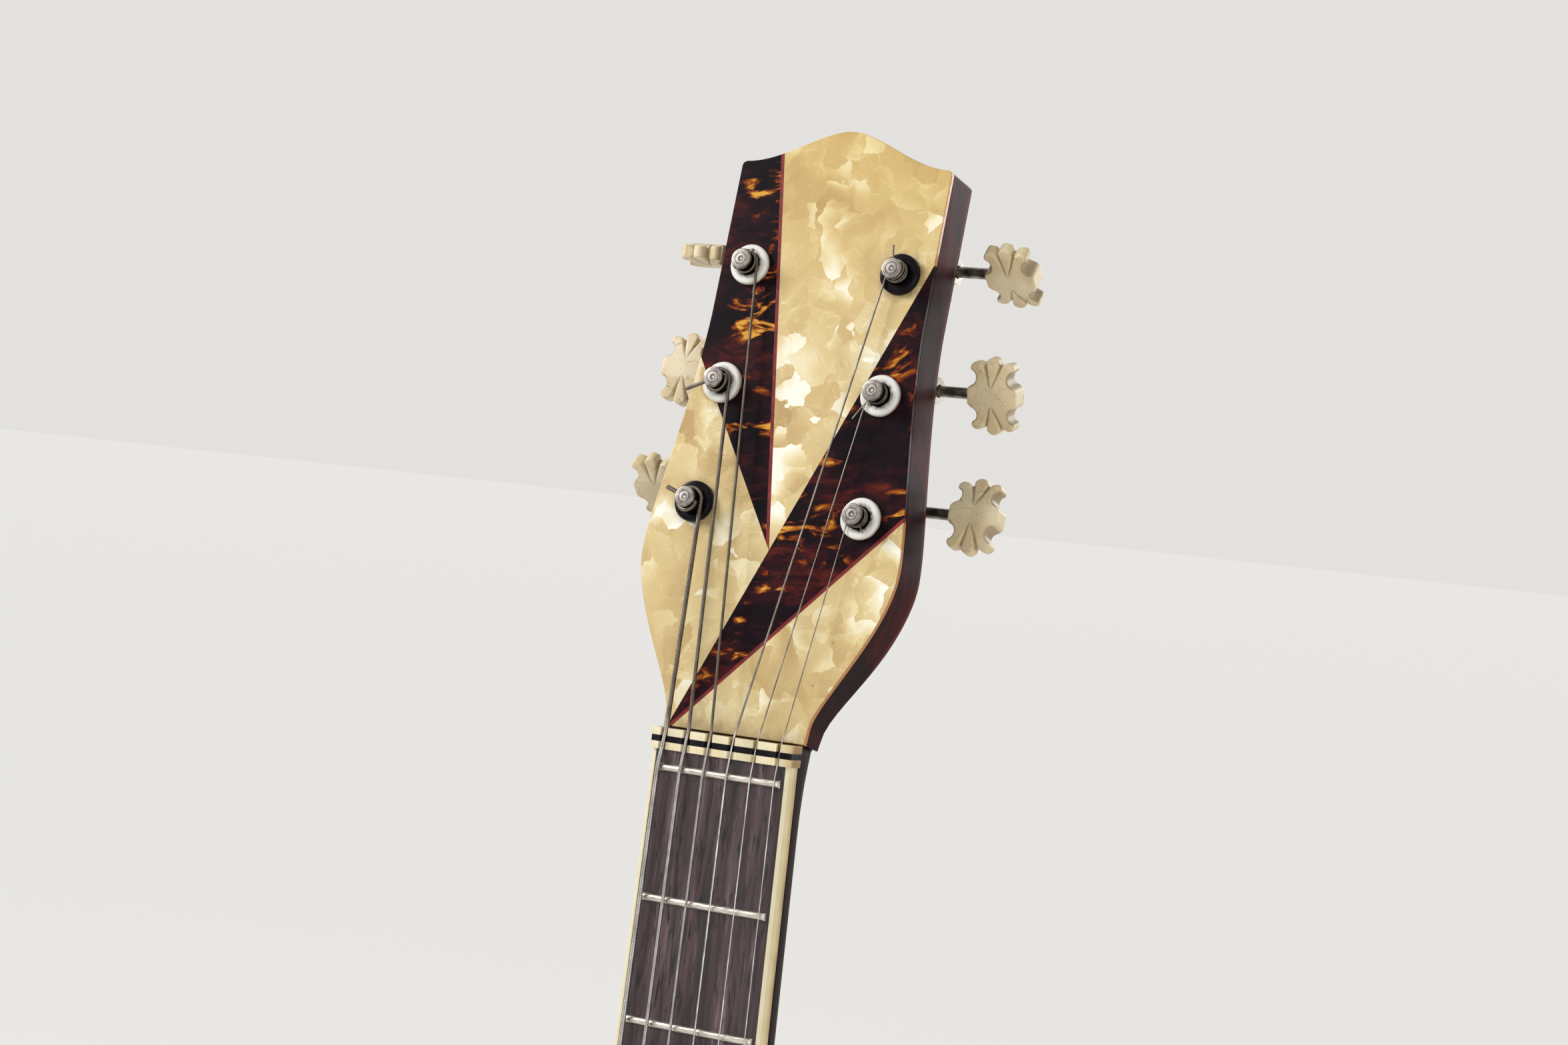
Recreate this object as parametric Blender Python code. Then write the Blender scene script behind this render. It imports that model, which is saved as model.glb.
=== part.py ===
"""Archtop jazz guitar with a panelled headstock, six worm-geared tuners and a height-adjustable bridge.

The guitar stands upright: its front faces -Y, its neck points up +Z and its treble side is at +X.
The origin is the centre of the strap pin's end face, the lowest point of the body.
The neck has its own frame, tilted back from the body, and the headstock has another, pitched back
from the neck.
"""

import math

import bmesh
import bpy
from mathutils import Matrix, Vector

MM = 0.001
GAP = 0.3 * MM                      # left between two pieces that touch
CUT_PAST = 5 * MM                   # how far a cutter runs past what it cuts
SEAM_REACH = 0.02 * MM              # points of a cut this close are one

# Body
BODY_LENGTH = 500 * MM
LOWER_BOUT = 425 * MM
WAIST = 252 * MM
UPPER_BOUT = 310 * MM
LOWER_BOUT_UP = 135 * MM            # heights of the lower two widths above the tail
WAIST_UP = 290 * MM
UPPER_BOUT_DOWN = 105 * MM          # the others lie this far below the body's top
SHOULDER_WIDTH = 30 * MM            # treble side of the neck joint, where the cutaway begins
SHOULDER_RUN = 36 * MM              # its straight stretch
SCOOP_OUT = 66 * MM                 # lowest point of the cutaway
SCOOP_DOWN = 98 * MM
HORN_OUT = 118 * MM                 # tip of the cutaway's horn
HORN_DOWN = 56 * MM
RIB_DEPTH = 70 * MM
RIB_WALL = 2.5 * MM
LINING_REACH = 6 * MM               # how far a lining stands in from the rib
LINING_DEPTH = 12 * MM
PLATE_EDGE = 4.7 * MM               # thickness of top and back at their edges
PLATE_THICKNESS = 5.0 * MM
ARCH_RISE = 16 * MM
ARCH_FLAT = 0.92                    # share of the way to the edge at which the arch has flattened out
ARCH_CENTRE_UP = 250 * MM

# Sound holes, by the middle of each eye
FHOLE_LOW = (122 * MM, 150 * MM)
FHOLE_HIGH = (73 * MM, 292 * MM)
FHOLE_WIDTH = 8 * MM
FHOLE_EYE = 6.2 * MM
FHOLE_SWING = 26 * MM               # how far the S leaves the straight line between its eyes

# Blocks and bars inside the body
NECK_BLOCK_LENGTH = 55 * MM         # as wide as the body is at the cutaway's shoulder, on both sides
TAIL_BLOCK_WIDTH = 80 * MM
TAIL_BLOCK_LENGTH = 24 * MM
BLOCK_REBATE = 0.5 * MM             # depth to which a block is let into the rib
TONE_BAR_OUT = 36 * MM
TONE_BAR_SPLAY = 8 * MM
TONE_BAR_WIDTH = 8 * MM
TONE_BAR_DEPTH = 10 * MM
TONE_BAR_CHAMFER = 2 * MM
TONE_BAR_LOW = 105 * MM             # from the body's lower end
TONE_BAR_DOWN = 115 * MM            # from its upper end
BAR_SPARE = 0.85 * MM               # between a bar and the facets of the top's inside

# Strings, thinnest last as on the guitar from bass to treble
SCALE_LENGTH = 640 * MM
STRING_DIAMETERS = (1.32 * MM, 1.07 * MM, 0.81 * MM, 0.61 * MM, 0.41 * MM, 0.33 * MM)
SPREAD_AT_NUT = 36 * MM
SPREAD_AT_BRIDGE = 51 * MM
STRING_RISE = 4.2 * MM              # strings at the saddle above the line of the fret tops
BOARD_RADIUS = 300 * MM

# Neck
NECK_ANGLE = math.radians(3.5)
FRETS_TO_BODY = 14
FRET_COUNT = 20
FRET_HEIGHT = 1.1 * MM
FRET_WIDTH = 2.2 * MM
FRET_TANG = 0.8 * MM                # depth to which a fret is pressed in
ZERO_FRET_EXTRA = 0.2 * MM
BOARD_THICKNESS = 6 * MM
BOARD_WIDTH_AT_NUT = 43.4 * MM
BOARD_WIDTH_AT_END = 54.4 * MM
BOARD_OVERHANG = 6 * MM             # board past its last fret
BINDING_THICKNESS = 1.5 * MM
NECK_DEPTH_AT_NUT = 14 * MM
NECK_DEPTH_AT_HEEL = 17 * MM
NECK_MARGIN = 0.4 * MM              # neck narrower than the board on each side
NECK_WALL = 0.5 * MM                # straight stretch of its sides under the board
NECK_TOP = 4 * MM                   # neck past the nut, inside the headstock's foot
HEEL_RUN = 80 * MM                  # length over which the heel swells
HEEL_DEPTH = 150 * MM
HEEL_CAP_THICKNESS = 5 * MM
TENON_WIDTH = 24 * MM
TENON_LENGTH = 12 * MM
TENON_MARGIN = 5 * MM               # tenon's ends short of the rib's edges
TONGUE_LIFT = 5.2 * MM              # neck's tongue above the edge of the top
SEAT_SPARE = 0.8 * MM               # wood that the cut for the board's seat takes off
NUT_LOW = 4.9 * MM                  # nut's faces above the zero fret
NUT_HIGH = 10.8 * MM
NUT_WIDTH = 43.8 * MM
NUT_CROWN = 0.5 * MM                # nut's top behind the fret tops at the centre
SLOT_SPARE = 1.1 * MM               # nut slot wider than its string

# Headstock, in its own frame: across, up from the nut, and out of its face
HEADSTOCK_PITCH = math.radians(9.25)
HEADSTOCK_THICKNESS = 14.8 * MM
HEADSTOCK_HEIGHT = 175.9 * MM
HEADSTOCK_CORNER = 165.7 * MM
HEADSTOCK_FLARE = 40.3 * MM         # half width at the widest
HEADSTOCK_FLARE_UP = 51 * MM
HEADSTOCK_TOP = 33.4 * MM           # half width above the taper
HEADSTOCK_TAPER_UP = 120 * MM
HEADSTOCK_FOOT = 22.4 * MM          # half width at the nut
HEADSTOCK_ROUND = 1 * MM            # of its top corners
HEADSTOCK_SINK = 0.5 * MM           # its face's foot below the nut's top
CORE_FOOT = (12 * MM, 9 * MM)       # half width and length of its core's root inside the neck
OVERLAY_THICKNESS = 1.5 * MM
EDGE_BAND_THICKNESS = 1.0 * MM
INLAY_LINE = 1.0 * MM

# Seams of the face panels, as points across and up
SEAM_TOP = (-20.6 * MM, 169.8 * MM)
SEAM_CROSS = (-0.2 * MM, 53.2 * MM)
SEAM_BASS = (-33.6 * MM, 106.1 * MM)
SEAM_DIAGONAL_HIGH = (33.4 * MM, 138.2 * MM)
SEAM_TREBLE = (38.7 * MM, 66.3 * MM)
SEAM_TIP = (-20.8 * MM, 1.1 * MM)

# Tuners
POST_SPACING = 35 * MM
POST_LOWEST = 64.6 * MM
POST_OUT_LOWEST = 26.3 * MM
POST_OUT_STEP = 1.25 * MM           # each post up the row stands this much nearer the centre
POST_RADIUS = 3.0 * MM
POST_WAIST = 2.7 * MM
POST_HEIGHT = 7.0 * MM
POST_SPARE = 0.4 * MM               # around a post inside the wood
POST_COLLAR = 1.1 * MM              # collar between plate and gear, past the post's radius
POST_PAST_GEAR = 1.2 * MM
FERRULE_RADIUS = 5.9 * MM
FERRULE_HEIGHT = 2.0 * MM
FERRULE_BODY = 5.0 * MM
FERRULE_DEPTH = 8 * MM
FERRULE_ROUND = 0.9 * MM
PLATE_METAL = 1.2 * MM
PLATE_HALF_WIDTH = 7 * MM
PLATE_PAST_POST = 15 * MM           # plate below its lowest post, and above its highest
PLATE_PAST_WORM = 19 * MM
LUG_ROOT = 0.8 * MM                 # how far a lug's foot reaches into the plate
GEAR_TEETH = 14
GEAR_RADIUS = 5.3 * MM              # pitch radius
TOOTH_ADDENDUM = 0.6 * MM
TOOTH_DEDENDUM = 0.7 * MM
GEAR_THICKNESS = 3.6 * MM
GEAR_DEPTH = 20.8 * MM              # gear's and worm's middle behind the face
WORM_RADIUS = 2.7 * MM              # pitch radius
WORM_ROOT = 1.8 * MM
WORM_TIP = 3.1 * MM
WORM_TURNS = 3
SHAFT_RADIUS = 1.6 * MM
SHAFT_CLEARANCE = 0.3 * MM
SHAFT_PAST_LUG = 1.2 * MM
SHAFT_IN_BUTTON = 2 * MM            # shaft past the button's middle
THRUST_RADIUS = 2.4 * MM            # collars that bear on the lugs
THRUST_LENGTH = 0.9 * MM
LUG_OUT = 5.6 * MM                  # inner face of each lug from the post
LUG_THICKNESS = 1.4 * MM
LUG_HALF_WIDTH = 3.6 * MM
BUTTON_OUT = 24.3 * MM              # button's middle from the post
BUTTON_LENGTH = 15 * MM             # along its shaft
BUTTON_HEIGHT = 21 * MM
BUTTON_THICKNESS = 5.6 * MM
BUTTON_ANGLES = (53, -2, 100, 60, 27, -5)   # degrees at rest, strings 6 to 1

# Winding of each string on its post, strings 6 to 1
FULL_TURNS = (0, 1, 1, 2, 2, 3)
TAIL_DIRECTIONS = (160, 204, 51, 99, 238, 309)   # degrees on the headstock's face
TAIL_REACHES = (7.1 * MM, 9.3 * MM, 4.4 * MM, 6.9 * MM, 9.6 * MM, 6.0 * MM)
WINDING_SPACE = 0.45 * MM           # clear between turns
HOLE_SPARE = 0.2 * MM               # around a string in its post's hole
TURN_POINTS = 18

# Bridge and tailpiece
BRIDGE_HEIGHT = 25 * MM             # strings above the top
BRIDGE_LENGTH = 150 * MM
BRIDGE_WIDTH = 13 * MM
BRIDGE_BASE_DEPTH = 9 * MM
BRIDGE_CHAMFER = 2 * MM
BRIDGE_FLAT = 0.62                  # share of the base's half length that is level on top
BRIDGE_END_DROP = 2.3 * MM          # its ends below that level
FOOT_SPARE = 0.6 * MM               # under a foot fitted to the arched top
SADDLE_LENGTH = 92 * MM
SADDLE_WIDTH = 9 * MM
SADDLE_CREST = 1.6 * MM
SADDLE_WALL = 5 * MM                # height of its straight sides
SADDLE_END = 6 * MM                 # height of its ends, and how far in the slope to the strings begins
SADDLE_END_RISE = 2.5 * MM
STUD_OUT = 37 * MM
STUD_RADIUS = 2.0 * MM
STUD_IN_SADDLE = 7 * MM
STUD_IN_BASE = 5 * MM
THUMBWHEEL_RADIUS = 7.5 * MM
THUMBWHEEL_THICKNESS = 2.6 * MM
THUMBWHEEL_EDGE = 0.4 * MM
THUMBWHEEL_TRAVEL = 2.2 * MM        # free below the wheel
SADDLE_SPARE = 2.4 * MM             # free above the stud inside the saddle
TAILPIECE_UP = 112 * MM             # bar's middle above the tail
TAILPIECE_BAR = (84 * MM, 8 * MM, 8 * MM)
TAILPIECE_LIFT = 9 * MM             # bar's underside above the top
TAILPIECE_METAL = 1.5 * MM
TAILPIECE_HEEL = 2.5 * MM           # its bend in front of the top's edge
TAILPIECE_HOOK = 14 * MM            # its foot's reach behind the middle of the ribs
TAILPIECE_CHAMFER = 1.2 * MM
TAILPIECE_FOOT = 30 * MM
TAILPIECE_HEAD = 72 * MM
TAILPIECE_RAIL = 5.5 * MM           # width of the rails beside the open trapeze
TAILPIECE_SOLID = 18 * MM           # unbroken stretch above the tail
BALL_RADIUS = 1.9 * MM
STRAP_PIN_LENGTH = 12 * MM
STRAP_PIN_HEAD = 7 * MM
STRAP_PIN_SHANK = 4 * MM
STRAP_PIN_PEG = 22 * MM
STRAP_PIN_EDGE = 1.2 * MM           # rounding of its head
STRAP_PIN_RIM = 2.6 * MM            # its head's full width ends this far up, and its neck begins there
STRAP_PIN_NECK = 4.6 * MM

# Pickguard
PICKGUARD_THICKNESS = 2.5 * MM
PICKGUARD_LIFT = 15 * MM            # its back above the edge of the top
PICKGUARD_REACH = 66 * MM           # its width beside the board
PICKGUARD_PAST = 34 * MM            # its top above the board's end
PICKGUARD_LOW = 22 * MM             # its lowest edge above the bridge
PICKGUARD_SPARE = 0.5 * MM          # between it and the board's side

# Places that follow from the sizes
TAIL = STRAP_PIN_LENGTH
BODY_TOP = TAIL + BODY_LENGTH
RIB_FRONT = -RIB_DEPTH / 2
RIB_BACK = RIB_DEPTH / 2
TOP_EDGE = RIB_FRONT - GAP - PLATE_EDGE
BACK_EDGE = RIB_BACK + GAP + PLATE_EDGE
ARCH_CENTRE = Vector((0, TAIL + ARCH_CENTRE_UP))


def fret_distance(number):
    """Distance of a fret from the zero fret."""
    return SCALE_LENGTH * (1 - 2 ** (-number / 12))


BOARD_END = fret_distance(FRET_COUNT) + BOARD_OVERHANG
JOINT_DISTANCE = fret_distance(FRETS_TO_BODY)
NECK_UP = BODY_TOP + JOINT_DISTANCE * math.cos(NECK_ANGLE)
BRIDGE_UP = NECK_UP - SCALE_LENGTH * math.cos(NECK_ANGLE)
BRIDGE_SHARE = (ARCH_CENTRE.y - BRIDGE_UP) / ARCH_CENTRE_UP
ARCH_AT_BRIDGE = ARCH_RISE * (0.5 + 0.5 * math.cos(math.pi * BRIDGE_SHARE / ARCH_FLAT))
SADDLE_STRINGS = TOP_EDGE - ARCH_AT_BRIDGE - BRIDGE_HEIGHT
NECK_OUT = SADDLE_STRINGS + SCALE_LENGTH * math.sin(NECK_ANGLE) + STRING_RISE * math.cos(NECK_ANGLE)
NECK_FRAME = Matrix.Translation((0, NECK_OUT, NECK_UP)) @ Matrix.Rotation(-NECK_ANGLE, 4, "X")
BOARD_FACE = FRET_HEIGHT + ZERO_FRET_EXTRA
BOARD_BACK = BOARD_FACE + BOARD_THICKNESS
NECK_SEAT = BOARD_BACK + GAP
HEADSTOCK_FRAME = (NECK_FRAME @ Matrix.Translation((0, BOARD_BACK, NUT_HIGH - HEADSTOCK_SINK))
                   @ Matrix.Rotation(-HEADSTOCK_PITCH, 4, "X"))
WOOD_FACE = OVERLAY_THICKNESS + GAP
STRING_COUNT = len(STRING_DIAMETERS)
WORM_UP = GEAR_RADIUS + WORM_RADIUS
WORM_PITCH = 2 * math.pi * GEAR_RADIUS / GEAR_TEETH


# Materials

def linear(hex_colour):
    """sRGB hex to the linear numbers of a shader socket."""
    values = [int(hex_colour[i:i + 2], 16) / 255 for i in (0, 2, 4)]
    return [v / 12.92 if v <= 0.04045 else ((v + 0.055) / 1.055) ** 2.4 for v in values] + [1.0]


def material(name, hex_colour, roughness, metallic=0.0):
    found = bpy.data.materials.get(name)
    if found:
        return found
    made = bpy.data.materials.new(name)
    made.use_nodes = True
    shader = made.node_tree.nodes["Principled BSDF"]
    shader.inputs["Base Color"].default_value = linear(hex_colour)
    shader.inputs["Roughness"].default_value = roughness
    shader.inputs["Metallic"].default_value = metallic
    return made


def spruce():
    return material("spruce", "c98b45", 0.3)


def maple():
    return material("maple", "a8642c", 0.3)


def dark_neck():
    return material("stained_maple", "2a1710", 0.35)


def rosewood():
    return material("rosewood", "3a211f", 0.5)


def cream_plastic():
    return material("cream_celluloid", "e4d2a4", 0.35)


def pearl_plastic():
    return material("pearl_celluloid", "dcc68e", 0.25)


def tortoise_plastic():
    return material("tortoise_celluloid", "2a1014", 0.2)


def red_plastic():
    return material("red_celluloid", "6f161c", 0.3)


def white_plastic():
    return material("white_plastic", "e6e2d8", 0.35)


def black_plastic():
    return material("black_plastic", "121014", 0.25)


def nickel():
    return material("nickel_plate", "b8b4ae", 0.25, 1.0)


def steel():
    return material("steel_wire", "a7a5a8", 0.3, 1.0)


# Mesh helpers

def finish(name, bm, finish_material, frame=None, smooth_degrees=None):
    """Makes the object of one piece, with its outside facing out."""
    bmesh.ops.recalc_face_normals(bm, faces=bm.faces)
    mesh = bpy.data.meshes.new(name)
    bm.to_mesh(mesh)
    bm.free()
    mesh.materials.append(finish_material)
    if smooth_degrees is not None:
        mesh.shade_smooth()
        mesh.set_sharp_from_angle(angle=math.radians(smooth_degrees))
    piece = bpy.data.objects.new(name, mesh)
    bpy.context.scene.collection.objects.link(piece)
    if frame is not None:
        piece.matrix_world = frame
    return piece


def cutter(name, bm, frame=None):
    """A tool for a Boolean, left out of the model."""
    tool = finish(name, bm, black_plastic(), frame)
    tool.hide_render = True
    tool.display_type = "WIRE"
    return tool


def boolean(piece, tool, operation="DIFFERENCE"):
    step = piece.modifiers.new(tool.name, "BOOLEAN")
    step.operation = operation
    step.solver = "EXACT"
    step.object = tool


def box(low, high):
    """A bmesh box between two corners."""
    bm = bmesh.new()
    bmesh.ops.create_cube(bm, size=1.0)
    low, high = Vector(low), Vector(high)
    bmesh.ops.scale(bm, vec=high - low, verts=bm.verts)
    bmesh.ops.translate(bm, vec=(low + high) / 2, verts=bm.verts)
    return bm


def prism(outline, front, back):
    """An outline of (x, z) points made solid from y = front to y = back."""
    bm = bmesh.new()
    face = bm.faces.new([bm.verts.new((x, front, z)) for x, z in outline])
    extruded = bmesh.ops.extrude_face_region(bm, geom=[face])
    moved = [v for v in extruded["geom"] if isinstance(v, bmesh.types.BMVert)]
    bmesh.ops.translate(bm, vec=(0, back - front, 0), verts=moved)
    return bm


def turned(profile, steps, hollow=False):
    """A profile of (radius, depth) points turned about the Y axis."""
    bm = bmesh.new()
    verts = [bm.verts.new((radius, depth, 0)) for radius, depth in profile]
    edges = [bm.edges.new(pair) for pair in zip(verts, verts[1:])]
    if hollow:
        edges.append(bm.edges.new((verts[-1], verts[0])))
    bmesh.ops.spin(bm, geom=verts + edges, cent=(0, 0, 0), axis=(0, 1, 0), angle=2 * math.pi,
                   steps=steps, use_merge=True)
    bmesh.ops.remove_doubles(bm, verts=bm.verts, dist=0.001 * MM)
    return bm


def rod(radius, start, end, steps):
    """A plain round bar along Y."""
    return turned([(0, start), (radius, start), (radius, end), (0, end)], steps)


def half_space(bm, point, normal):
    """Keeps the part of a solid behind a plane, and closes the cut."""
    geometry = bm.verts[:] + bm.edges[:] + bm.faces[:]
    cut = bmesh.ops.bisect_plane(bm, geom=geometry, plane_co=point, plane_no=normal, clear_outer=True)
    edges = [e for e in cut["geom_cut"] if isinstance(e, bmesh.types.BMEdge)]
    bmesh.ops.holes_fill(bm, edges=edges, sides=0)


def loft(sections):
    """A closed solid through equal rings of points, capped at both ends."""
    bm = bmesh.new()
    rings = [[bm.verts.new(point) for point in section] for section in sections]
    for lower, upper in zip(rings, rings[1:]):
        for i in range(len(lower)):
            j = (i + 1) % len(lower)
            bm.faces.new((lower[i], lower[j], upper[j], upper[i]))
    bm.faces.new(rings[0])
    bm.faces.new(rings[-1])
    return bm


def bezier(start, first, second, end, count):
    """Points of a cubic curve, without its last."""
    points = []
    for i in range(count):
        t = i / count
        u = 1 - t
        points.append(tuple(u ** 3 * a + 3 * u * u * t * b + 3 * u * t * t * c + t ** 3 * d
                            for a, b, c, d in zip(start, first, second, end)))
    return points


def inset(outline, distance):
    """An outline moved inwards, each corner along its bisector. The outline runs anticlockwise."""
    moved = []
    for i, here in enumerate(outline):
        before = Vector(outline[i - 1])
        after = Vector(outline[(i + 1) % len(outline)])
        here = Vector(here)
        first = (here - before).normalized()
        second = (after - here).normalized()
        normal = Vector((-first.y - second.y, first.x + second.x)).normalized()
        reach = distance / max(normal.dot(Vector((-first.y, first.x))), 0.5)
        moved.append(tuple(here + normal * reach))
    return moved


# Body outline

def body_outline():
    """The body's edge seen from the front, anticlockwise from the tail."""
    lower, waist, upper = LOWER_BOUT / 2, WAIST / 2, UPPER_BOUT / 2
    upper_up, horn_up = BODY_LENGTH - UPPER_BOUT_DOWN, BODY_LENGTH - HORN_DOWN
    scoop_up, shoulder_up = BODY_LENGTH - SCOOP_DOWN, BODY_LENGTH - SHOULDER_RUN
    horn_run, scoop_run = HORN_OUT - SCOOP_OUT, SCOOP_OUT - SHOULDER_WIDTH
    rise_one = 0.42 * (WAIST_UP - LOWER_BOUT_UP)
    rise_two = 0.45 * (upper_up - WAIST_UP)
    points = bezier((0, 0), (0.56 * lower, 0), (lower, 0.44 * LOWER_BOUT_UP), (lower, LOWER_BOUT_UP), 6)
    points += bezier((lower, LOWER_BOUT_UP), (lower, LOWER_BOUT_UP + rise_one),
                     (waist, WAIST_UP - rise_one), (waist, WAIST_UP), 5)
    points += bezier((waist, WAIST_UP), (waist, WAIST_UP + rise_two),
                     (upper, upper_up - rise_two), (upper, upper_up), 5)
    points += bezier((upper, upper_up), (upper, upper_up + 0.6 * (horn_up - upper_up)),
                     (HORN_OUT + 0.54 * (upper - HORN_OUT), horn_up), (HORN_OUT, horn_up), 5)
    points += bezier((HORN_OUT, horn_up), (HORN_OUT - 0.385 * horn_run, horn_up),
                     (SCOOP_OUT + 0.423 * horn_run, scoop_up), (SCOOP_OUT, scoop_up), 4)
    points += bezier((SCOOP_OUT, scoop_up), (SCOOP_OUT - 0.556 * scoop_run, scoop_up),
                     (SHOULDER_WIDTH, scoop_up + 0.42 * (shoulder_up - scoop_up)),
                     (SHOULDER_WIDTH, shoulder_up), 3)
    points += [(SHOULDER_WIDTH, shoulder_up), (SHOULDER_WIDTH, BODY_LENGTH)]
    points += bezier((0, BODY_LENGTH), (-0.62 * upper, BODY_LENGTH),
                     (-upper, upper_up + 0.62 * UPPER_BOUT_DOWN), (-upper, upper_up), 6)
    points += bezier((-upper, upper_up), (-upper, upper_up - rise_two),
                     (-waist, WAIST_UP + rise_two), (-waist, WAIST_UP), 5)
    points += bezier((-waist, WAIST_UP), (-waist, WAIST_UP - rise_one),
                     (-lower, LOWER_BOUT_UP + rise_one), (-lower, LOWER_BOUT_UP), 5)
    points += bezier((-lower, LOWER_BOUT_UP), (-lower, 0.44 * LOWER_BOUT_UP),
                     (-0.56 * lower, 0), (0, 0), 6)
    return [(x, z + TAIL) for x, z in points]


OUTLINE = body_outline()
RING_SHARES = (1.0, 0.9, 0.64, 0.34)


def arch(share):
    """Rise of a plate at a share of the way from its centre to its edge."""
    if share >= ARCH_FLAT:
        return 0.0
    return ARCH_RISE * (0.5 + 0.5 * math.cos(math.pi * share / ARCH_FLAT))


def inner_arch(share):
    """Rise of a plate's inside, flat where it is glued to the linings."""
    if share >= RING_SHARES[1]:
        return 0.0
    return max(arch(share) + PLATE_EDGE - PLATE_THICKNESS, 0.0)


def edge_share(x, z):
    """How far a point lies from the plate's centre towards its edge, from 0 to 1."""
    offset = Vector((x, z)) - ARCH_CENTRE
    if offset.length < MM:
        return 0.0
    for i, start in enumerate(OUTLINE):
        a = Vector(OUTLINE[i - 1]) - ARCH_CENTRE
        along = Vector(start) - ARCH_CENTRE - a
        bottom = offset.x * along.y - offset.y * along.x
        if abs(bottom) < 1e-12:
            continue
        reach = (a.x * along.y - a.y * along.x) / bottom
        place = (a.x * offset.y - a.y * offset.x) / bottom
        if reach > 0 and -1e-9 <= place <= 1 + 1e-9:
            return 1 / reach
    return 1.0


def faceted(rise, share):
    """A rise as the plate's mesh has it, straight between its rings."""
    shares = RING_SHARES + (0.0,)
    for outer, inner in zip(shares, shares[1:]):
        if share >= inner:
            t = (share - inner) / (outer - inner)
            return rise(inner) + (rise(outer) - rise(inner)) * t
    return rise(0.0)


def top_surface(x, z):
    """Y of the top's outside."""
    return TOP_EDGE - faceted(arch, edge_share(x, z))


def top_inside(x, z):
    """Y of the top's inside."""
    return RIB_FRONT - GAP - faceted(inner_arch, edge_share(x, z))


def arched_plate(direction):
    """A carved plate: direction is -1 for the top and 1 for the back."""
    bm = bmesh.new()
    skins = []
    for edge, rise in ((RIB_BACK + GAP + PLATE_EDGE, arch), (RIB_BACK + GAP, inner_arch)):
        rings = []
        for share in RING_SHARES:
            y = direction * (edge + rise(share))
            flat = [ARCH_CENTRE + (Vector(p) - ARCH_CENTRE) * share for p in OUTLINE]
            rings.append([bm.verts.new((p.x, y, p.y)) for p in flat])
        centre = bm.verts.new((ARCH_CENTRE.x, direction * (edge + rise(0.0)), ARCH_CENTRE.y))
        skins.append((rings, centre))
    count = len(OUTLINE)
    for rings, centre in skins:
        for outer, inner in zip(rings, rings[1:]):
            for i in range(count):
                j = (i + 1) % count
                bm.faces.new((outer[i], outer[j], inner[j], inner[i]))
        for i in range(count):
            bm.faces.new((rings[-1][i], rings[-1][(i + 1) % count], centre))
    for i in range(count):
        j = (i + 1) % count
        bm.faces.new((skins[0][0][0][i], skins[0][0][0][j], skins[1][0][0][j], skins[1][0][0][i]))
    return bm


# Body pieces

def f_hole(side):
    """The S-shaped slot of a sound hole as one outline, with its bulge at mid length."""
    low = Vector((side * FHOLE_LOW[0], TAIL + FHOLE_LOW[1]))
    high = Vector((side * FHOLE_HIGH[0], TAIL + FHOLE_HIGH[1]))
    across = Vector((high.y - low.y, low.x - high.x)).normalized() * side
    first = low + (high - low) * 0.4 - across * FHOLE_SWING
    second = low + (high - low) * 0.6 + across * FHOLE_SWING
    line = bezier(low, first, second, high, 8) + [tuple(high)]
    left, right = [], []
    for i, here in enumerate(line):
        before = Vector(line[max(i - 1, 0)])
        after = Vector(line[min(i + 1, len(line) - 1)])
        along = (after - before).normalized()
        half = FHOLE_WIDTH * (0.22 + 0.28 * math.sin(math.pi * i / (len(line) - 1)))
        left.append((here[0] - along.y * half, here[1] + along.x * half))
        right.append((here[0] + along.y * half, here[1] - along.x * half))
    return left + right[::-1], low, high


def build_top():
    top = finish("top_plate", arched_plate(-1), spruce(), smooth_degrees=35)
    front, back = TOP_EDGE - ARCH_RISE - CUT_PAST, RIB_FRONT + CUT_PAST
    for name, side in (("bass", -1), ("treble", 1)):
        outline, low, high = f_hole(side)
        boolean(top, cutter(f"cut_f_hole_{name}", prism(outline, front, back)))
        for place, eye in (("low", low), ("high", high)):
            frame = Matrix.Translation((eye.x, 0, eye.y))
            boolean(top, cutter(f"cut_eye_{place}_{name}", rod(FHOLE_EYE, front, back, 12), frame))


def build_back():
    finish("back_plate", arched_plate(1), maple(), smooth_degrees=35)


def mortise(spare):
    """The space of the neck's tenon, wider by a clearance all round."""
    half = TENON_WIDTH / 2 + spare
    return box((-half, RIB_FRONT + TENON_MARGIN - spare, BODY_TOP - TENON_LENGTH - spare),
               (half, RIB_BACK - TENON_MARGIN + spare, BODY_TOP + CUT_PAST))


def block_solid(wall, low, high, front, back):
    """A block cut to the inside of the ribs between two heights and two sides."""
    bm = prism(inset(OUTLINE, wall), front, back)
    half_space(bm, (0, 0, low[1]), (0, 0, -1))
    half_space(bm, (0, 0, high[1]), (0, 0, 1))
    half_space(bm, (low[0], 0, 0), (-1, 0, 0))
    half_space(bm, (high[0], 0, 0), (1, 0, 0))
    return bm


NECK_BLOCK = ((-SHOULDER_WIDTH, BODY_TOP - NECK_BLOCK_LENGTH), (SHOULDER_WIDTH, BODY_TOP))
TAIL_BLOCK = ((-TAIL_BLOCK_WIDTH / 2, TAIL), (TAIL_BLOCK_WIDTH / 2, TAIL + TAIL_BLOCK_LENGTH))


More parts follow.
